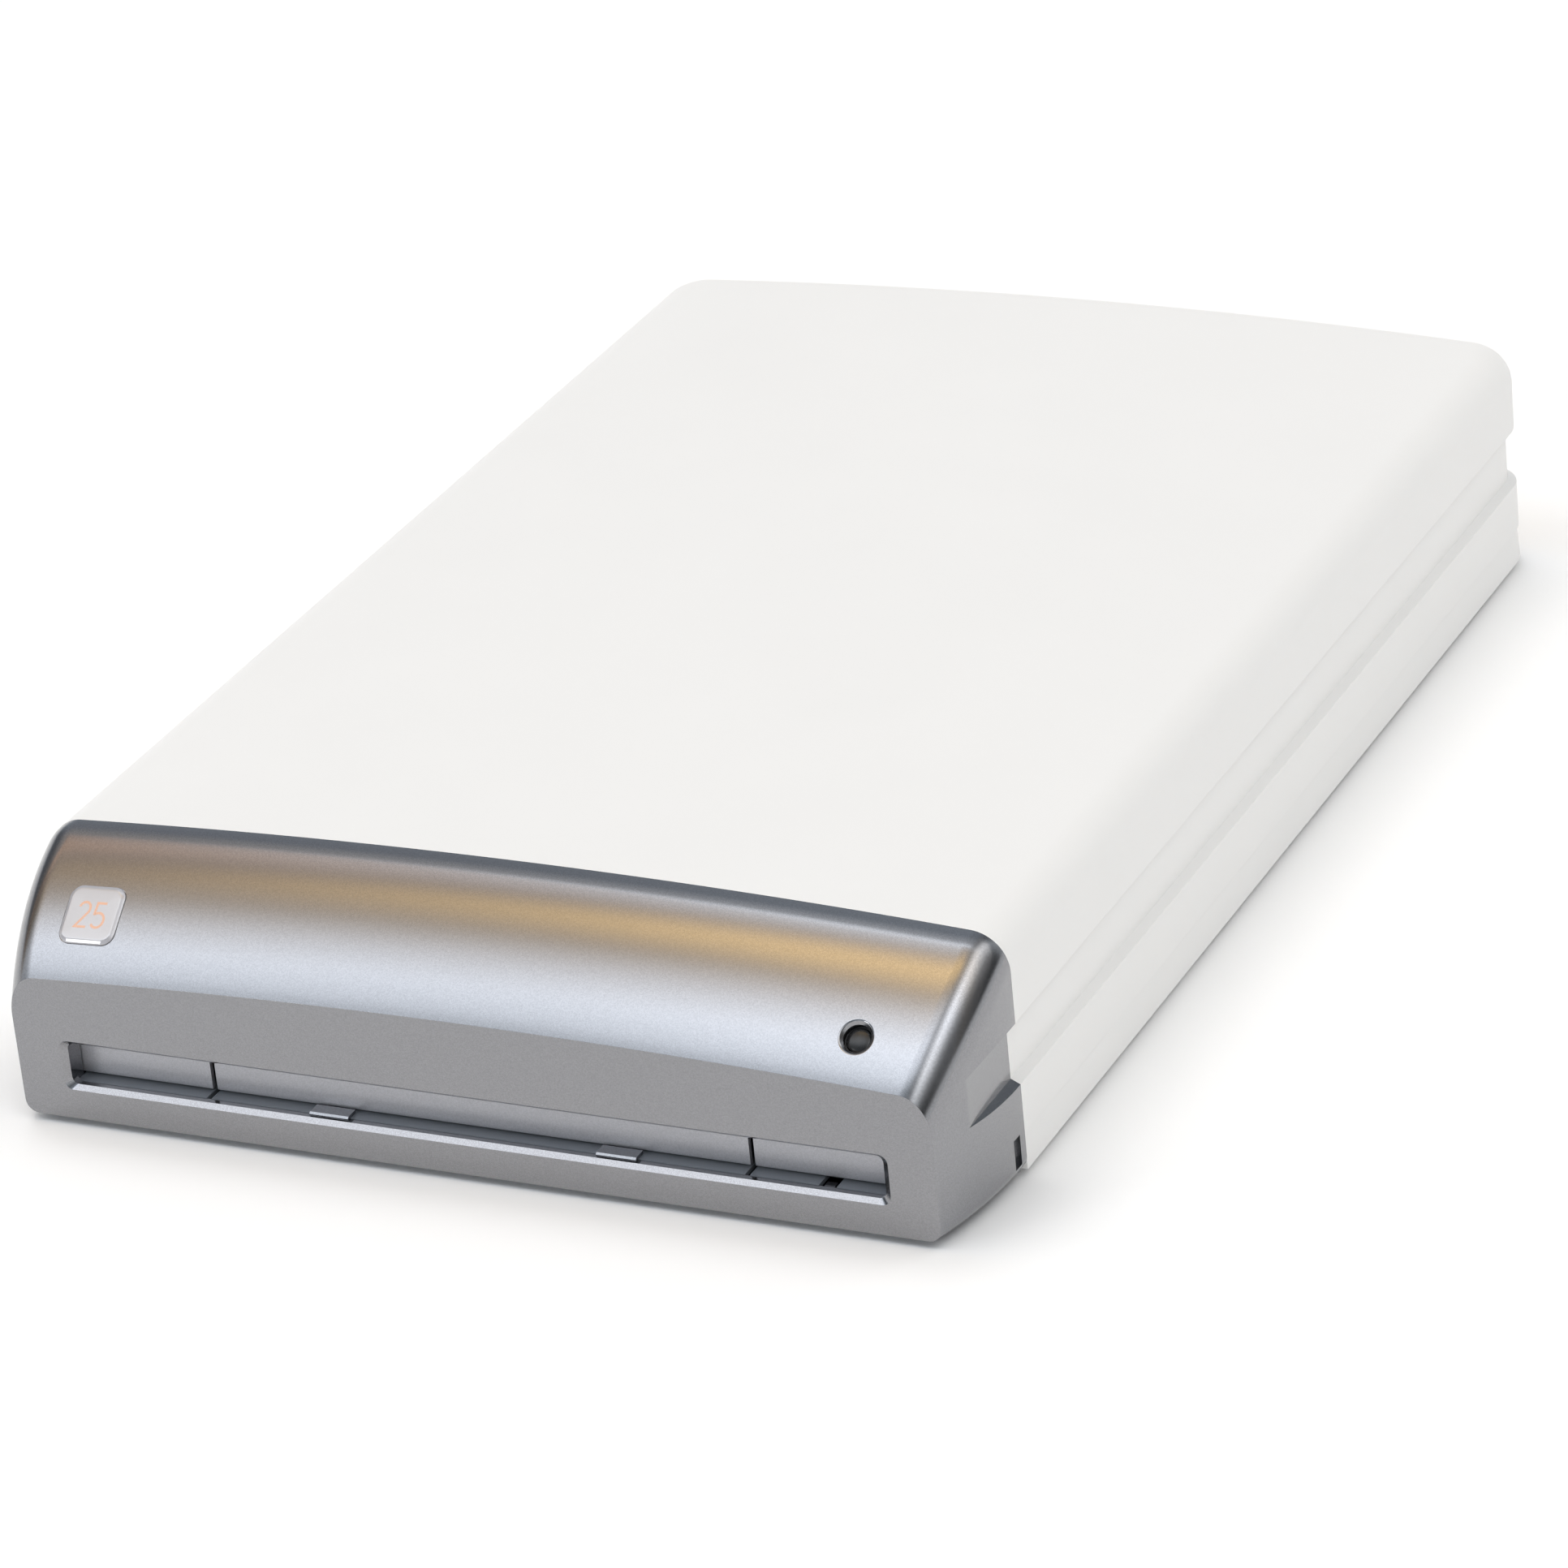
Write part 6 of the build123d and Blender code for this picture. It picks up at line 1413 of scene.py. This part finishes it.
    def slot_ring(self, grow: Pair, corner: float, shift: float, y: float) -> Ring:
        """One ring of the slot, with the outline's number of points.

        Args:
            grow: How far it is wider to each side, and higher up and down, than the mouth.
            corner: How much larger its corners are.
            shift: How much higher its middle is.
            y: Depth.

        Returns:
            The ring.
        """
        counts = (self.crown_steps, self.fillet_steps, sum(self.cheek_steps) + 2, self.base_steps,
                  self.bottom_steps)
        half_z = HALF * (self.slot_high_z - self.slot_low_z)
        middle = HALF * (self.slot_low_z + self.slot_high_z)
        return rounded_ring(self.slot_half_width + grow[0], half_z + grow[1], self.slot_corner + corner,
                            middle + shift, y, counts)

    def build(self) -> None:
        """Builds the bezel as one closed skin, cuts its openings and replaces the CAD node."""
        house = HOUSING
        mouth = self.slot_ring((0.0, 0.0), 0.0, 0.0, house.front_y)
        tighter = -HALF * self.slot_draft
        shift = HALF * (self.slot_floor_rise - self.slot_draft)
        shrink = -HALF * (self.slot_floor_rise + self.slot_draft)
        lip = self.slot_ring((-self.lip_inset, -self.lip_rise), tighter, 0.0, house.front_y + self.lip_run)
        throats = [self.slot_ring((-self.lip_inset, shrink), tighter, shift, y)
                   for y in (house.front_y + self.lip_back, self.slot_rear_y)]
        collars = [self.slot_ring((self.collar_wall, self.collar_wall), self.collar_wall, 0.0, y)
                   for y in (self.slot_rear_y, house.front_y + house.wall)]
        rings = [self.ring(y, 0.0) for y in self.depths(0.0)]
        rings += [inset_ring(rings[-1], self.support), inset_ring(mouth, -self.support), mouth, lip]
        rings += throats + collars
        rings += [self.ring(y, house.wall) for y in self.depths(house.wall)[::-1]]
        bezel = add_piece("bezel_shell", *loft(rings, True))
        round_marked(bezel, self.edge_round, self.edge_weight)
        self.add_jambs(bezel)
        self.cut_openings(bezel)
        smooth(bezel)
        self.settle(bezel, Slot.SILVER_BEZEL, "front_bezel")

    def add_jambs(self, bezel: bpy.types.Object) -> None:
        """Carries the slot's side walls on to the flaps.

        Args:
            bezel: The bezel.
        """
        near = self.slot_half_width - self.lip_inset
        depth = (self.slot_rear_y - self.jamb_overlap, self.jamb_rear_y)
        for side in SIDES:
            jamb = block("jamb_tool", (side * near, side * (near + self.jamb_wall)), depth, self.jamb_z)
            combine(bezel, jamb, Join.ADD)

    def edge_weight(self, first: Vector, second: Vector) -> float:
        """Full rounding round the fascia and the slot's mouth, less at the seam and the throat.

        Args:
            first: One end of the edge.
            second: The other end.

        Returns:
            The edge's weight.
        """
        less = self.seam_round / self.edge_round
        for depth, weight in ((HOUSING.front_y, 1.0), (HOUSING.seam_y, less), (self.slot_rear_y, less),
                              (HOUSING.front_y + self.lip_run, less)):
            if abs(first.y - depth) < NEAR and abs(second.y - depth) < NEAR:
                return weight
        return 0.0

    def hole_tool(self) -> bpy.types.Object:
        """The button's flared hole with its rounded rim, which follows the nose's curve.

        Returns:
            The tool that cuts it.
        """
        slope = math.atan2(self.mouth_depth, self.mouth_radius - self.hole_radius)
        reach = self.rim_round * math.tan(HALF * slope)
        middle = self.mouth_radius + reach
        stations = [(self.hole_radius, -2 * self.boss_depth), (self.hole_radius, -self.mouth_depth)]
        for lean in between(slope, math.radians(self.rim_end), self.rim_steps):
            stations.append((middle - self.rim_round * math.sin(lean),
                             self.rim_lift - self.rim_round * (1 - math.cos(lean))))
        stations.append((middle + self.rim_round, self.rim_round))
        hole = Turning()
        hole.add(stations)
        tool = hole.piece("hole_tool")
        curve = 2 * MM * NOSE.arcs()[2]
        for vertex in tool.data.vertices:
            vertex.co.z -= vertex.co.y ** 2 / curve
        return tool

    def cut_openings(self, bezel: bpy.types.Object) -> None:
        """Cuts the window's pocket, the button's flared hole, the side notches and the foot sinks.

        Args:
            bezel: The bezel.
        """
        tile = capped("pocket_tool", tile_rings(self.window_size, self.window_corner,
                                                [(0.0, -self.window_pocket), (0.0, HOUSING.overrun)]))
        combine(bezel, on_nose(tile, HOUSING.window_at), Join.CUT)
        boss = Turning()
        boss.add([(self.boss_radius, -self.boss_depth), (self.boss_radius, -HALF * HOUSING.wall)])
        combine(bezel, on_nose(boss.piece("boss_tool"), HOUSING.button_at), Join.ADD)
        combine(bezel, on_nose(self.hole_tool(), HOUSING.button_at), Join.CUT)
        deep, out = HOUSING.half_width - self.notch_depth, HOUSING.half_width + HOUSING.overrun
        depth = (self.notch_y - self.notch_half_width, self.notch_y + self.notch_half_width)
        for side in SIDES:
            combine(bezel, block("notch_tool", (side * deep, side * out), depth, self.notch_z), Join.CUT)
        sinks = Turning()
        for side in SIDES:
            sinks.add_sink(side, self.foot_y)
        combine(bezel, sinks.piece("sink_tools"), Join.CUT)


def on_nose(obj: bpy.types.Object, at: Pair) -> bpy.types.Object:
    """Moves a piece that is built on +Z at the origin so that it stands on the nose.

    Args:
        obj: The piece.
        at: Where it stands, measured across the nose, and its depth.

    Returns:
        The same piece.
    """
    x, y = at
    tilt = NOSE.tilt_at(y, 0.0)
    height = NOSE.at_tilt(tilt, 0.0)[1]
    stand = Matrix.Translation((0.0, MM * y, MM * height)) @ Matrix.Rotation(tilt, MATRIX_SIZE, "X")
    turn = math.asin(x / (height - HOUSING.axis_z))
    pivot = Matrix.Translation((0.0, 0.0, MM * HOUSING.axis_z))
    swung = pivot @ Matrix.Rotation(turn, MATRIX_SIZE, "Y") @ pivot.inverted()
    obj.data.transform(swung @ stand)
    return obj


def tile_rings(size: float, corner: float, levels: Sequence[Pair],
               corner_steps: int = 12) -> list[Ring]:
    """Outlines of a square tile with round corners.

    Args:
        size: Width and depth.
        corner: Radius of the corners, seen from above.
        levels: Pairs of inset and height, from the underside up.
        corner_steps: Steps round each corner.

    Returns:
        One ring for each level.
    """
    rings = []
    for inset, z in levels:
        turn_radius = max(corner - inset, corner / corner_steps)
        reach = HALF * size - inset - turn_radius
        ring = []
        for quarter, (sx, sy) in enumerate(((1, 1), (-1, 1), (-1, -1), (1, -1))):
            start = QUARTER_TURN * quarter
            for angle in between(start, start + QUARTER_TURN, corner_steps + 1):
                ring.append((sx * reach + turn_radius * math.cos(angle),
                             sy * reach + turn_radius * math.sin(angle), z))
        rings.append(ring)
    return rings


@dataclass
class StatusWindow(Assembly):
    """Domed tile of glossy resin with two plain digits under its surface."""

    size: float = 27.5
    corner: float = 6.0
    pocket: float = 1.4
    stand: float = 1.2
    edge: tuple[Pair, ...] = (
        (0.0, 0.0), (0.12, 0.22), (0.4, 0.42), (1.45, 0.95), (1.9, 1.05), (2.4, 1.08))
    dome_steps: int = 6
    stroke: float = 1.15
    digit_shift: float = 3.9
    digit_stretch: float = 1.12
    digit_drop: float = 0.5
    digit_sink: float = 0.25
    digit_rise: float = 0.03
    arc_steps: int = 18
    crease: float = 50.0
    two_bowl: tuple[Pair, float, float, float] = ((0.0, 2.6), 2.7, 165.0, -35.0)
    two_foot: tuple[Pair, ...] = ((-2.7, -5.1), (2.8, -5.1))
    five_neck: tuple[Pair, ...] = ((2.5, 5.2), (-2.0, 5.2), (-2.3, 0.6))
    five_bowl: tuple[Pair, float, float, float] = ((-0.1, -2.0), 3.1, 125.0, -145.0)

    def dome_z(self, share: float) -> float:
        """Height of the dome over the nose, at a share of the way out to the sloped edge."""
        height = self.edge[-1][1]
        return height + (self.stand - height) * (1 - min(1.0, share) ** 2)

    def surface_z(self, x: float, y: float) -> float:
        """Height of the dome over the nose at a place inside the sloped edge."""
        return self.dome_z(max(abs(x), abs(y)) / (HALF * self.size - self.edge[-1][0]))

    def build(self) -> None:
        """Builds the tile in place of its CAD node, and the digits on it."""
        levels = [(0.0, -self.pocket), *self.edge]
        width = self.edge[-1][0]
        for share in between(1.0, 1.0 / self.dome_steps, self.dome_steps)[1:]:
            levels.append((width + (HALF * self.size - width) * (1 - share), self.dome_z(share)))
        tile = on_nose(capped("window_tile", tile_rings(self.size, self.corner, levels)), HOUSING.window_at)
        smooth(tile, self.crease)
        self.settle(tile, Slot.WINDOW_RESIN, "status_window")
        points: list[Point] = []
        faces: list[tuple[int, ...]] = []
        two = [*self.arc(*self.two_bowl), *self.two_foot]
        five = [*self.five_neck, *self.arc(*self.five_bowl)]
        for line, shift in ((two, -self.digit_shift), (five, self.digit_shift)):
            skin = self.stroke_skin([(x + shift, self.digit_stretch * y - self.digit_drop) for x, y in line])
            faces += [tuple(len(points) + k for k in face) for face in skin[1]]
            points += skin[0]
        digits = on_nose(add_piece("window_digits", points, faces), HOUSING.window_at)
        self.settle(digits, Slot.WINDOW_RESIN)
        self.palette.dress(digits, Special.DIGIT_INK)

    def arc(self, middle: Pair, radius: float, start: float, end: float) -> list[Pair]:
        """Points of an arc from one angle to another, in degrees."""
        turns = [math.radians(a) for a in between(start, end, self.arc_steps)]
        return [(middle[0] + radius * math.cos(a), middle[1] + radius * math.sin(a)) for a in turns]

    def stroke_skin(self, line: Sequence[Pair]) -> Skin:
        """A flat stroke along a line, just proud of the dome.

        Args:
            line: Middle line in the tile's plane.

        Returns:
            Points and faces of the closed stroke.
        """
        rings = []
        for k, (x, y) in enumerate(line):
            before, after = line[max(k - 1, 0)], line[min(k + 1, len(line) - 1)]
            behind = Vector((x - before[0], y - before[1]))
            ahead = Vector((after[0] - x, after[1] - y)) if after != (x, y) else behind.copy()
            if before == (x, y):
                behind = ahead
            ahead.normalize()
            behind.normalize()
            along = (ahead + behind).normalized()
            half = HALF * self.stroke / max(along.dot(ahead), HALF)
            left = (x - along.y * half, y + along.x * half)
            right = (x + along.y * half, y - along.x * half)
            corners = ((left, -self.digit_sink), (right, -self.digit_sink), (right, self.digit_rise),
                       (left, self.digit_rise))
            rings.append([(*place, self.surface_z(*place) + rise) for place, rise in corners])
        return capped_skin(rings)


@dataclass
class PowerButton(Assembly):
    """Round black button with a convex face, sunk in its flared hole."""

    radius: float = 5.5
    sink: float = 3.0
    length: float = 7.0
    dome: float = 1.5
    dome_steps: int = 12
    stem_radius: float = 1.6
    stem_end: float = 22.0
    foot_bevel: float = 0.3
    crease: float = 40.0

    def build(self) -> None:
        """Turns the button and lets it stand for its CAD node."""
        base = -self.sink - self.length
        stations = [(self.stem_radius, -self.stem_end), (self.stem_radius, base),
                    (self.radius - self.foot_bevel, base), (self.radius, base + self.foot_bevel)]
        for angle in between(0.0, QUARTER_TURN, self.dome_steps + 1)[:-1]:
            stations.append((self.radius * math.cos(angle), self.dome * (math.sin(angle) - 1) - self.sink))
        turned = Turning()
        turned.add(stations)
        button = on_nose(turned.piece("button_cap"), HOUSING.button_at)
        smooth(button, self.crease)
        self.settle(button, Slot.BLACK_PLASTIC, "power_button", body=Body.BUTTON)
        self.palette.dress(button, Special.BUTTON_GLOSS)


@dataclass
class CoverBosses(Assembly):
    """Four hollow screw bosses that hang from the cover's inside."""

    x: float = 206.0
    y: Pair = (-268.0, 122.0)
    radius: float = 4.5
    pilot_radius: float = 1.3
    low: float = 58.0
    pilot_depth: float = 14.0
    top_sink: float = 1.2

    def build(self) -> None:
        """Turns the bosses as one piece, which ends inside the cover's wall."""
        high = HOUSING.crown_z(self.x, HOUSING.wall) + self.top_sink
        turned = Turning()
        for side in SIDES:
            for y in self.y:
                turned.add([(self.pilot_radius, self.low + self.pilot_depth), (self.pilot_radius, self.low),
                            (self.radius, self.low), (self.radius, high)], side * self.x, y)
        bosses = turned.piece("cover_bosses")
        smooth(bosses)
        self.settle(bosses, Slot.WHITE_SHELL)


@dataclass
class SoftEdges:
    """Small roundings on the carried-over parts, so that their edges catch the light."""

    segments: int = 2
    angle: float = 35.0
    widths: dict[str, float] = field(default_factory=lambda: {
        "flap_left": 0.35, "flap_centre": 0.35, "flap_right": 0.35, "slot_floor": 0.3, "guide_tabs": 0.3,
        "rear_panel": 0.3, "mains_inlet": 0.3, "switch_frame": 0.3, "power_rocker": 0.4, "data_ports": 0.15,
        "fan_frame": 0.4, "rubber_feet": 0.5, "latch_hook": 0.25, "base_chassis": 0.2})

    def build(self, nodes: dict[str, bpy.types.Object]) -> None:
        """Adds a rounding to each listed node's modifiers.

        Args:
            nodes: The carried-over parts by name.
        """
        for name, width in self.widths.items():
            add_bevel(nodes[name], "soft_edges", width, self.segments, self.angle)
            LOG.info("%s gets edges of %.2f mm", name, width)


NEAR_BANDS: Bands = (
    (0.00, (0.55, 0.62, 0.68)),
    (0.20, (0.32, 0.37, 0.42)),
    (0.285, (0.36, 0.41, 0.46)),
    (0.315, (1.90, 2.02, 2.16)),
    (0.365, (2.45, 2.56, 2.72)),
    (0.41, (1.85, 1.84, 1.84)),
)
FAR_BANDS: Bands = (
    (0.86, (0.34, 0.38, 0.43)),
    (1.00, (0.55, 0.62, 0.68)),
)


@dataclass
class Studio:
    """Plain pale floor, soft light and the camera at the photograph's angle, in metres and degrees.

    Attributes:
        sky: Bands of light by their angle, from the front horizon over the top to the rear one.
        left_sky: The same bands on the left.
        right_sky: The same bands on the right.
        across: Strength of the bands from left to right.
        left_change: Where the bands turn into the left ones, between -1 and 1.
        right_change: Where they turn into the right ones.
        rise: Heights between which the horizon's tone turns into the bands.
        horizon: Tone of the sky just over the floor.
        sun_turn: Tilt and turn of the broad lamp.
    """

    camera_place: Point = (1.2722, -2.5205, 1.3767)
    azimuth: float = 27.07
    elevation: float = 25.70
    roll: float = -5.89
    lens: float = 155.70
    sensor: float = 36.0
    clip: Pair = (0.1, 60.0)
    floor_reach: float = 16.0
    floor_colour: Colour = (0.98, 0.98, 0.98)
    sky: Bands = NEAR_BANDS + (
        (0.46, (1.00, 0.80, 0.58)),
        (0.503, (2.45, 1.68, 0.76)),
        (0.532, (0.72, 0.64, 0.60)),
        (0.558, (2.00, 2.08, 2.18)),
        (0.60, (0.72, 0.75, 0.79)),
        (0.70, (0.34, 0.38, 0.43)),
    ) + FAR_BANDS
    left_sky: Bands = NEAR_BANDS + (
        (0.455, (1.00, 0.86, 0.72)),
        (0.50, (0.80, 0.60, 0.40)),
        (0.532, (0.55, 0.46, 0.40)),
        (0.552, (1.35, 0.86, 0.56)),
        (0.575, (0.55, 0.48, 0.44)),
        (0.62, (0.50, 0.48, 0.46)),
        (0.70, (0.34, 0.36, 0.40)),
    ) + FAR_BANDS
    right_sky: Bands = (
        (0.00, (0.55, 0.58, 0.60)),
        (0.20, (0.34, 0.36, 0.37)),
        (0.30, (1.50, 1.53, 1.56)),
        (0.42, (1.80, 1.84, 1.90)),
        (0.52, (1.55, 1.45, 1.32)),
        (0.58, (1.25, 1.24, 1.22)),
        (0.70, (1.00, 1.00, 1.00)),
        (0.76, (0.34, 0.36, 0.38)),
        (1.00, (0.55, 0.58, 0.60)),
    )
    across: tuple[Pair, ...] = (
        (0.0, 0.3), (0.07, 0.4), (0.14, 1.0), (0.29, 1.0), (0.36, 1.25), (0.43, 1.0), (0.50, 1.0),
        (0.61, 0.5), (0.725, 1.75), (0.81, 1.0), (0.87, 0.4), (0.93, 0.15), (1.0, 0.1))
    left_change: Pair = (-0.36, -0.58)
    right_change: Pair = (0.05, 0.35)
    rise: Pair = (0.10, 0.22)
    horizon: Colour = (0.90, 0.91, 0.92)
    sun_turn: Pair = (22.0, 225.0)
    sun_strength: float = 0.36
    sun_angle: float = 24.0
    box_place: Point = (-2.38, -3.43, 1.38)
    box_aim: Point = (-0.18, -0.33, 0.10)
    box_size: Pair = (1.1, 0.9)
    box_power: float = 18.0

    def build(self) -> None:
        """Builds camera, world, lamp and floor."""
        self.add_camera()
        self.add_sky()
        self.add_sun()
        self.add_box()
        self.add_floor()
        bpy.context.scene.view_settings.view_transform = "Standard"

    def add_camera(self) -> None:
        """Sets the camera up at the photograph's viewing angle."""
        a, e, r = (math.radians(v) for v in (self.azimuth, self.elevation, self.roll))
        back = Vector((math.sin(a) * math.cos(e), -math.cos(a) * math.cos(e), math.sin(e)))
        right = (-back).cross(Vector((0.0, 0.0, 1.0))).normalized()
        up = right.cross(-back)
        turned_right = right * math.cos(r) + up * math.sin(r)
        turned_up = up * math.cos(r) - right * math.sin(r)
        data = bpy.data.cameras.new("photo_camera")
        data.lens, data.sensor_width = self.lens, self.sensor
        data.clip_start, data.clip_end = self.clip
        camera = add_object("photo_camera", data)
        columns = Matrix((turned_right, turned_up, back)).transposed().to_4x4()
        camera.matrix_world = Matrix.Translation(self.camera_place) @ columns
        bpy.context.scene.camera = camera

    def add_sky(self) -> None:
        """Lights the room by long soft bands that run across the machine, from front to rear."""
        world = bpy.data.worlds.new("studio")
        bpy.context.scene.world = world
        world.use_nodes = True
        nodes = Nodes(world.node_tree)
        place = nodes.add("ShaderNodeSeparateXYZ", {0: nodes.add("ShaderNodeTexCoord").outputs["Generated"]})
        front = nodes.maths("MULTIPLY", place.outputs[1], -1.0)
        angle = nodes.maths("ARCTAN2", nodes.maths("MAXIMUM", place.outputs[2], 0.0), front)
        share = nodes.maths("DIVIDE", angle, math.pi)
        aside = nodes.maths("MULTIPLY_ADD", place.outputs[0], HALF, HALF)
        strength = nodes.ramp(aside, [(at, (value,) * 3) for at, value in self.across])
        bands = nodes.ramp(share, self.sky)
        for change, other in ((self.left_change, self.left_sky), (self.right_change, self.right_sky)):
            bands = nodes.blend(nodes.climb(place.outputs[0], *change), bands, nodes.ramp(share, other))
        bands = nodes.blend(1.0, bands, strength, "MULTIPLY")
        high = nodes.climb(place.outputs[2], *self.rise)
        colour = nodes.blend(high, as_rgba(self.horizon), bands)
        background = nodes.add("ShaderNodeBackground", {"Color": colour})
        nodes.add("ShaderNodeOutputWorld", {"Surface": background.outputs[0]})

    def add_sun(self) -> None:
        """A broad soft lamp from behind on the left."""
        data = bpy.data.lights.new("soft_lamp", "SUN")
        data.energy, data.angle = self.sun_strength, math.radians(self.sun_angle)
        lamp = add_object("soft_lamp", data)
        tilt, turn = (math.radians(v) for v in self.sun_turn)
        lamp.rotation_euler = (tilt, 0.0, turn)
        lamp.visible_glossy = False

    def add_box(self) -> None:
        """A small soft box low in front, which draws a fine light on rounded edges."""
        data = bpy.data.lights.new("soft_box", "AREA")
        data.shape = "RECTANGLE"
        data.size, data.size_y = self.box_size
        data.energy = self.box_power
        aim = Vector(self.box_place) - Vector(self.box_aim)
        turned = aim.to_track_quat("Z", "Y").to_matrix().to_4x4()
        add_object("soft_box", data).matrix_world = Matrix.Translation(self.box_place) @ turned

    def add_floor(self) -> None:
        """A wide pale floor under the machine."""
        reach = self.floor_reach
        mesh = bpy.data.meshes.new("floor")
        mesh.from_pydata([(-reach, -reach, 0), (reach, -reach, 0), (reach, reach, 0), (-reach, reach, 0)], [],
                         [(0, 1, 2, 3)])
        floor = add_object("floor", mesh)
        material = bpy.data.materials.new("floor")
        material.use_nodes = True
        nodes = Nodes(material.node_tree)
        shader = nodes.add("ShaderNodeBsdfDiffuse", {"Color": as_rgba(self.floor_colour)})
        nodes.add("ShaderNodeOutputMaterial", {"Surface": shader.outputs[0]})
        mesh.materials.append(material)


def main() -> None:
    """Builds the scanner's looks in order."""
    logging.basicConfig(level=logging.INFO, format="%(name)s: %(message)s")
    Studio().build()
    effects = Effects()
    effects.build()
    palette = Palette(effects)
    palette.build()
    for part in frame["record"]["subparts"]:
        palette.dress(frame["nodes"][part["node"]], Slot(part["material_slot"]))
    palette.dress(frame["nodes"]["slot_floor"], Special.FLOOR_GREY)
    # The latch hook is made dark: partly its own finish, partly painted shade of the notch.
    palette.dress(frame["nodes"]["latch_hook"], Special.DARK_STEEL)
    for assembly in (TopCover, LowerCase, CoverBosses, FrontBezel, StatusWindow, PowerButton):
        assembly(palette).build()
    SoftEdges().build(frame["nodes"])


if __name__ == "__main__":
    main()
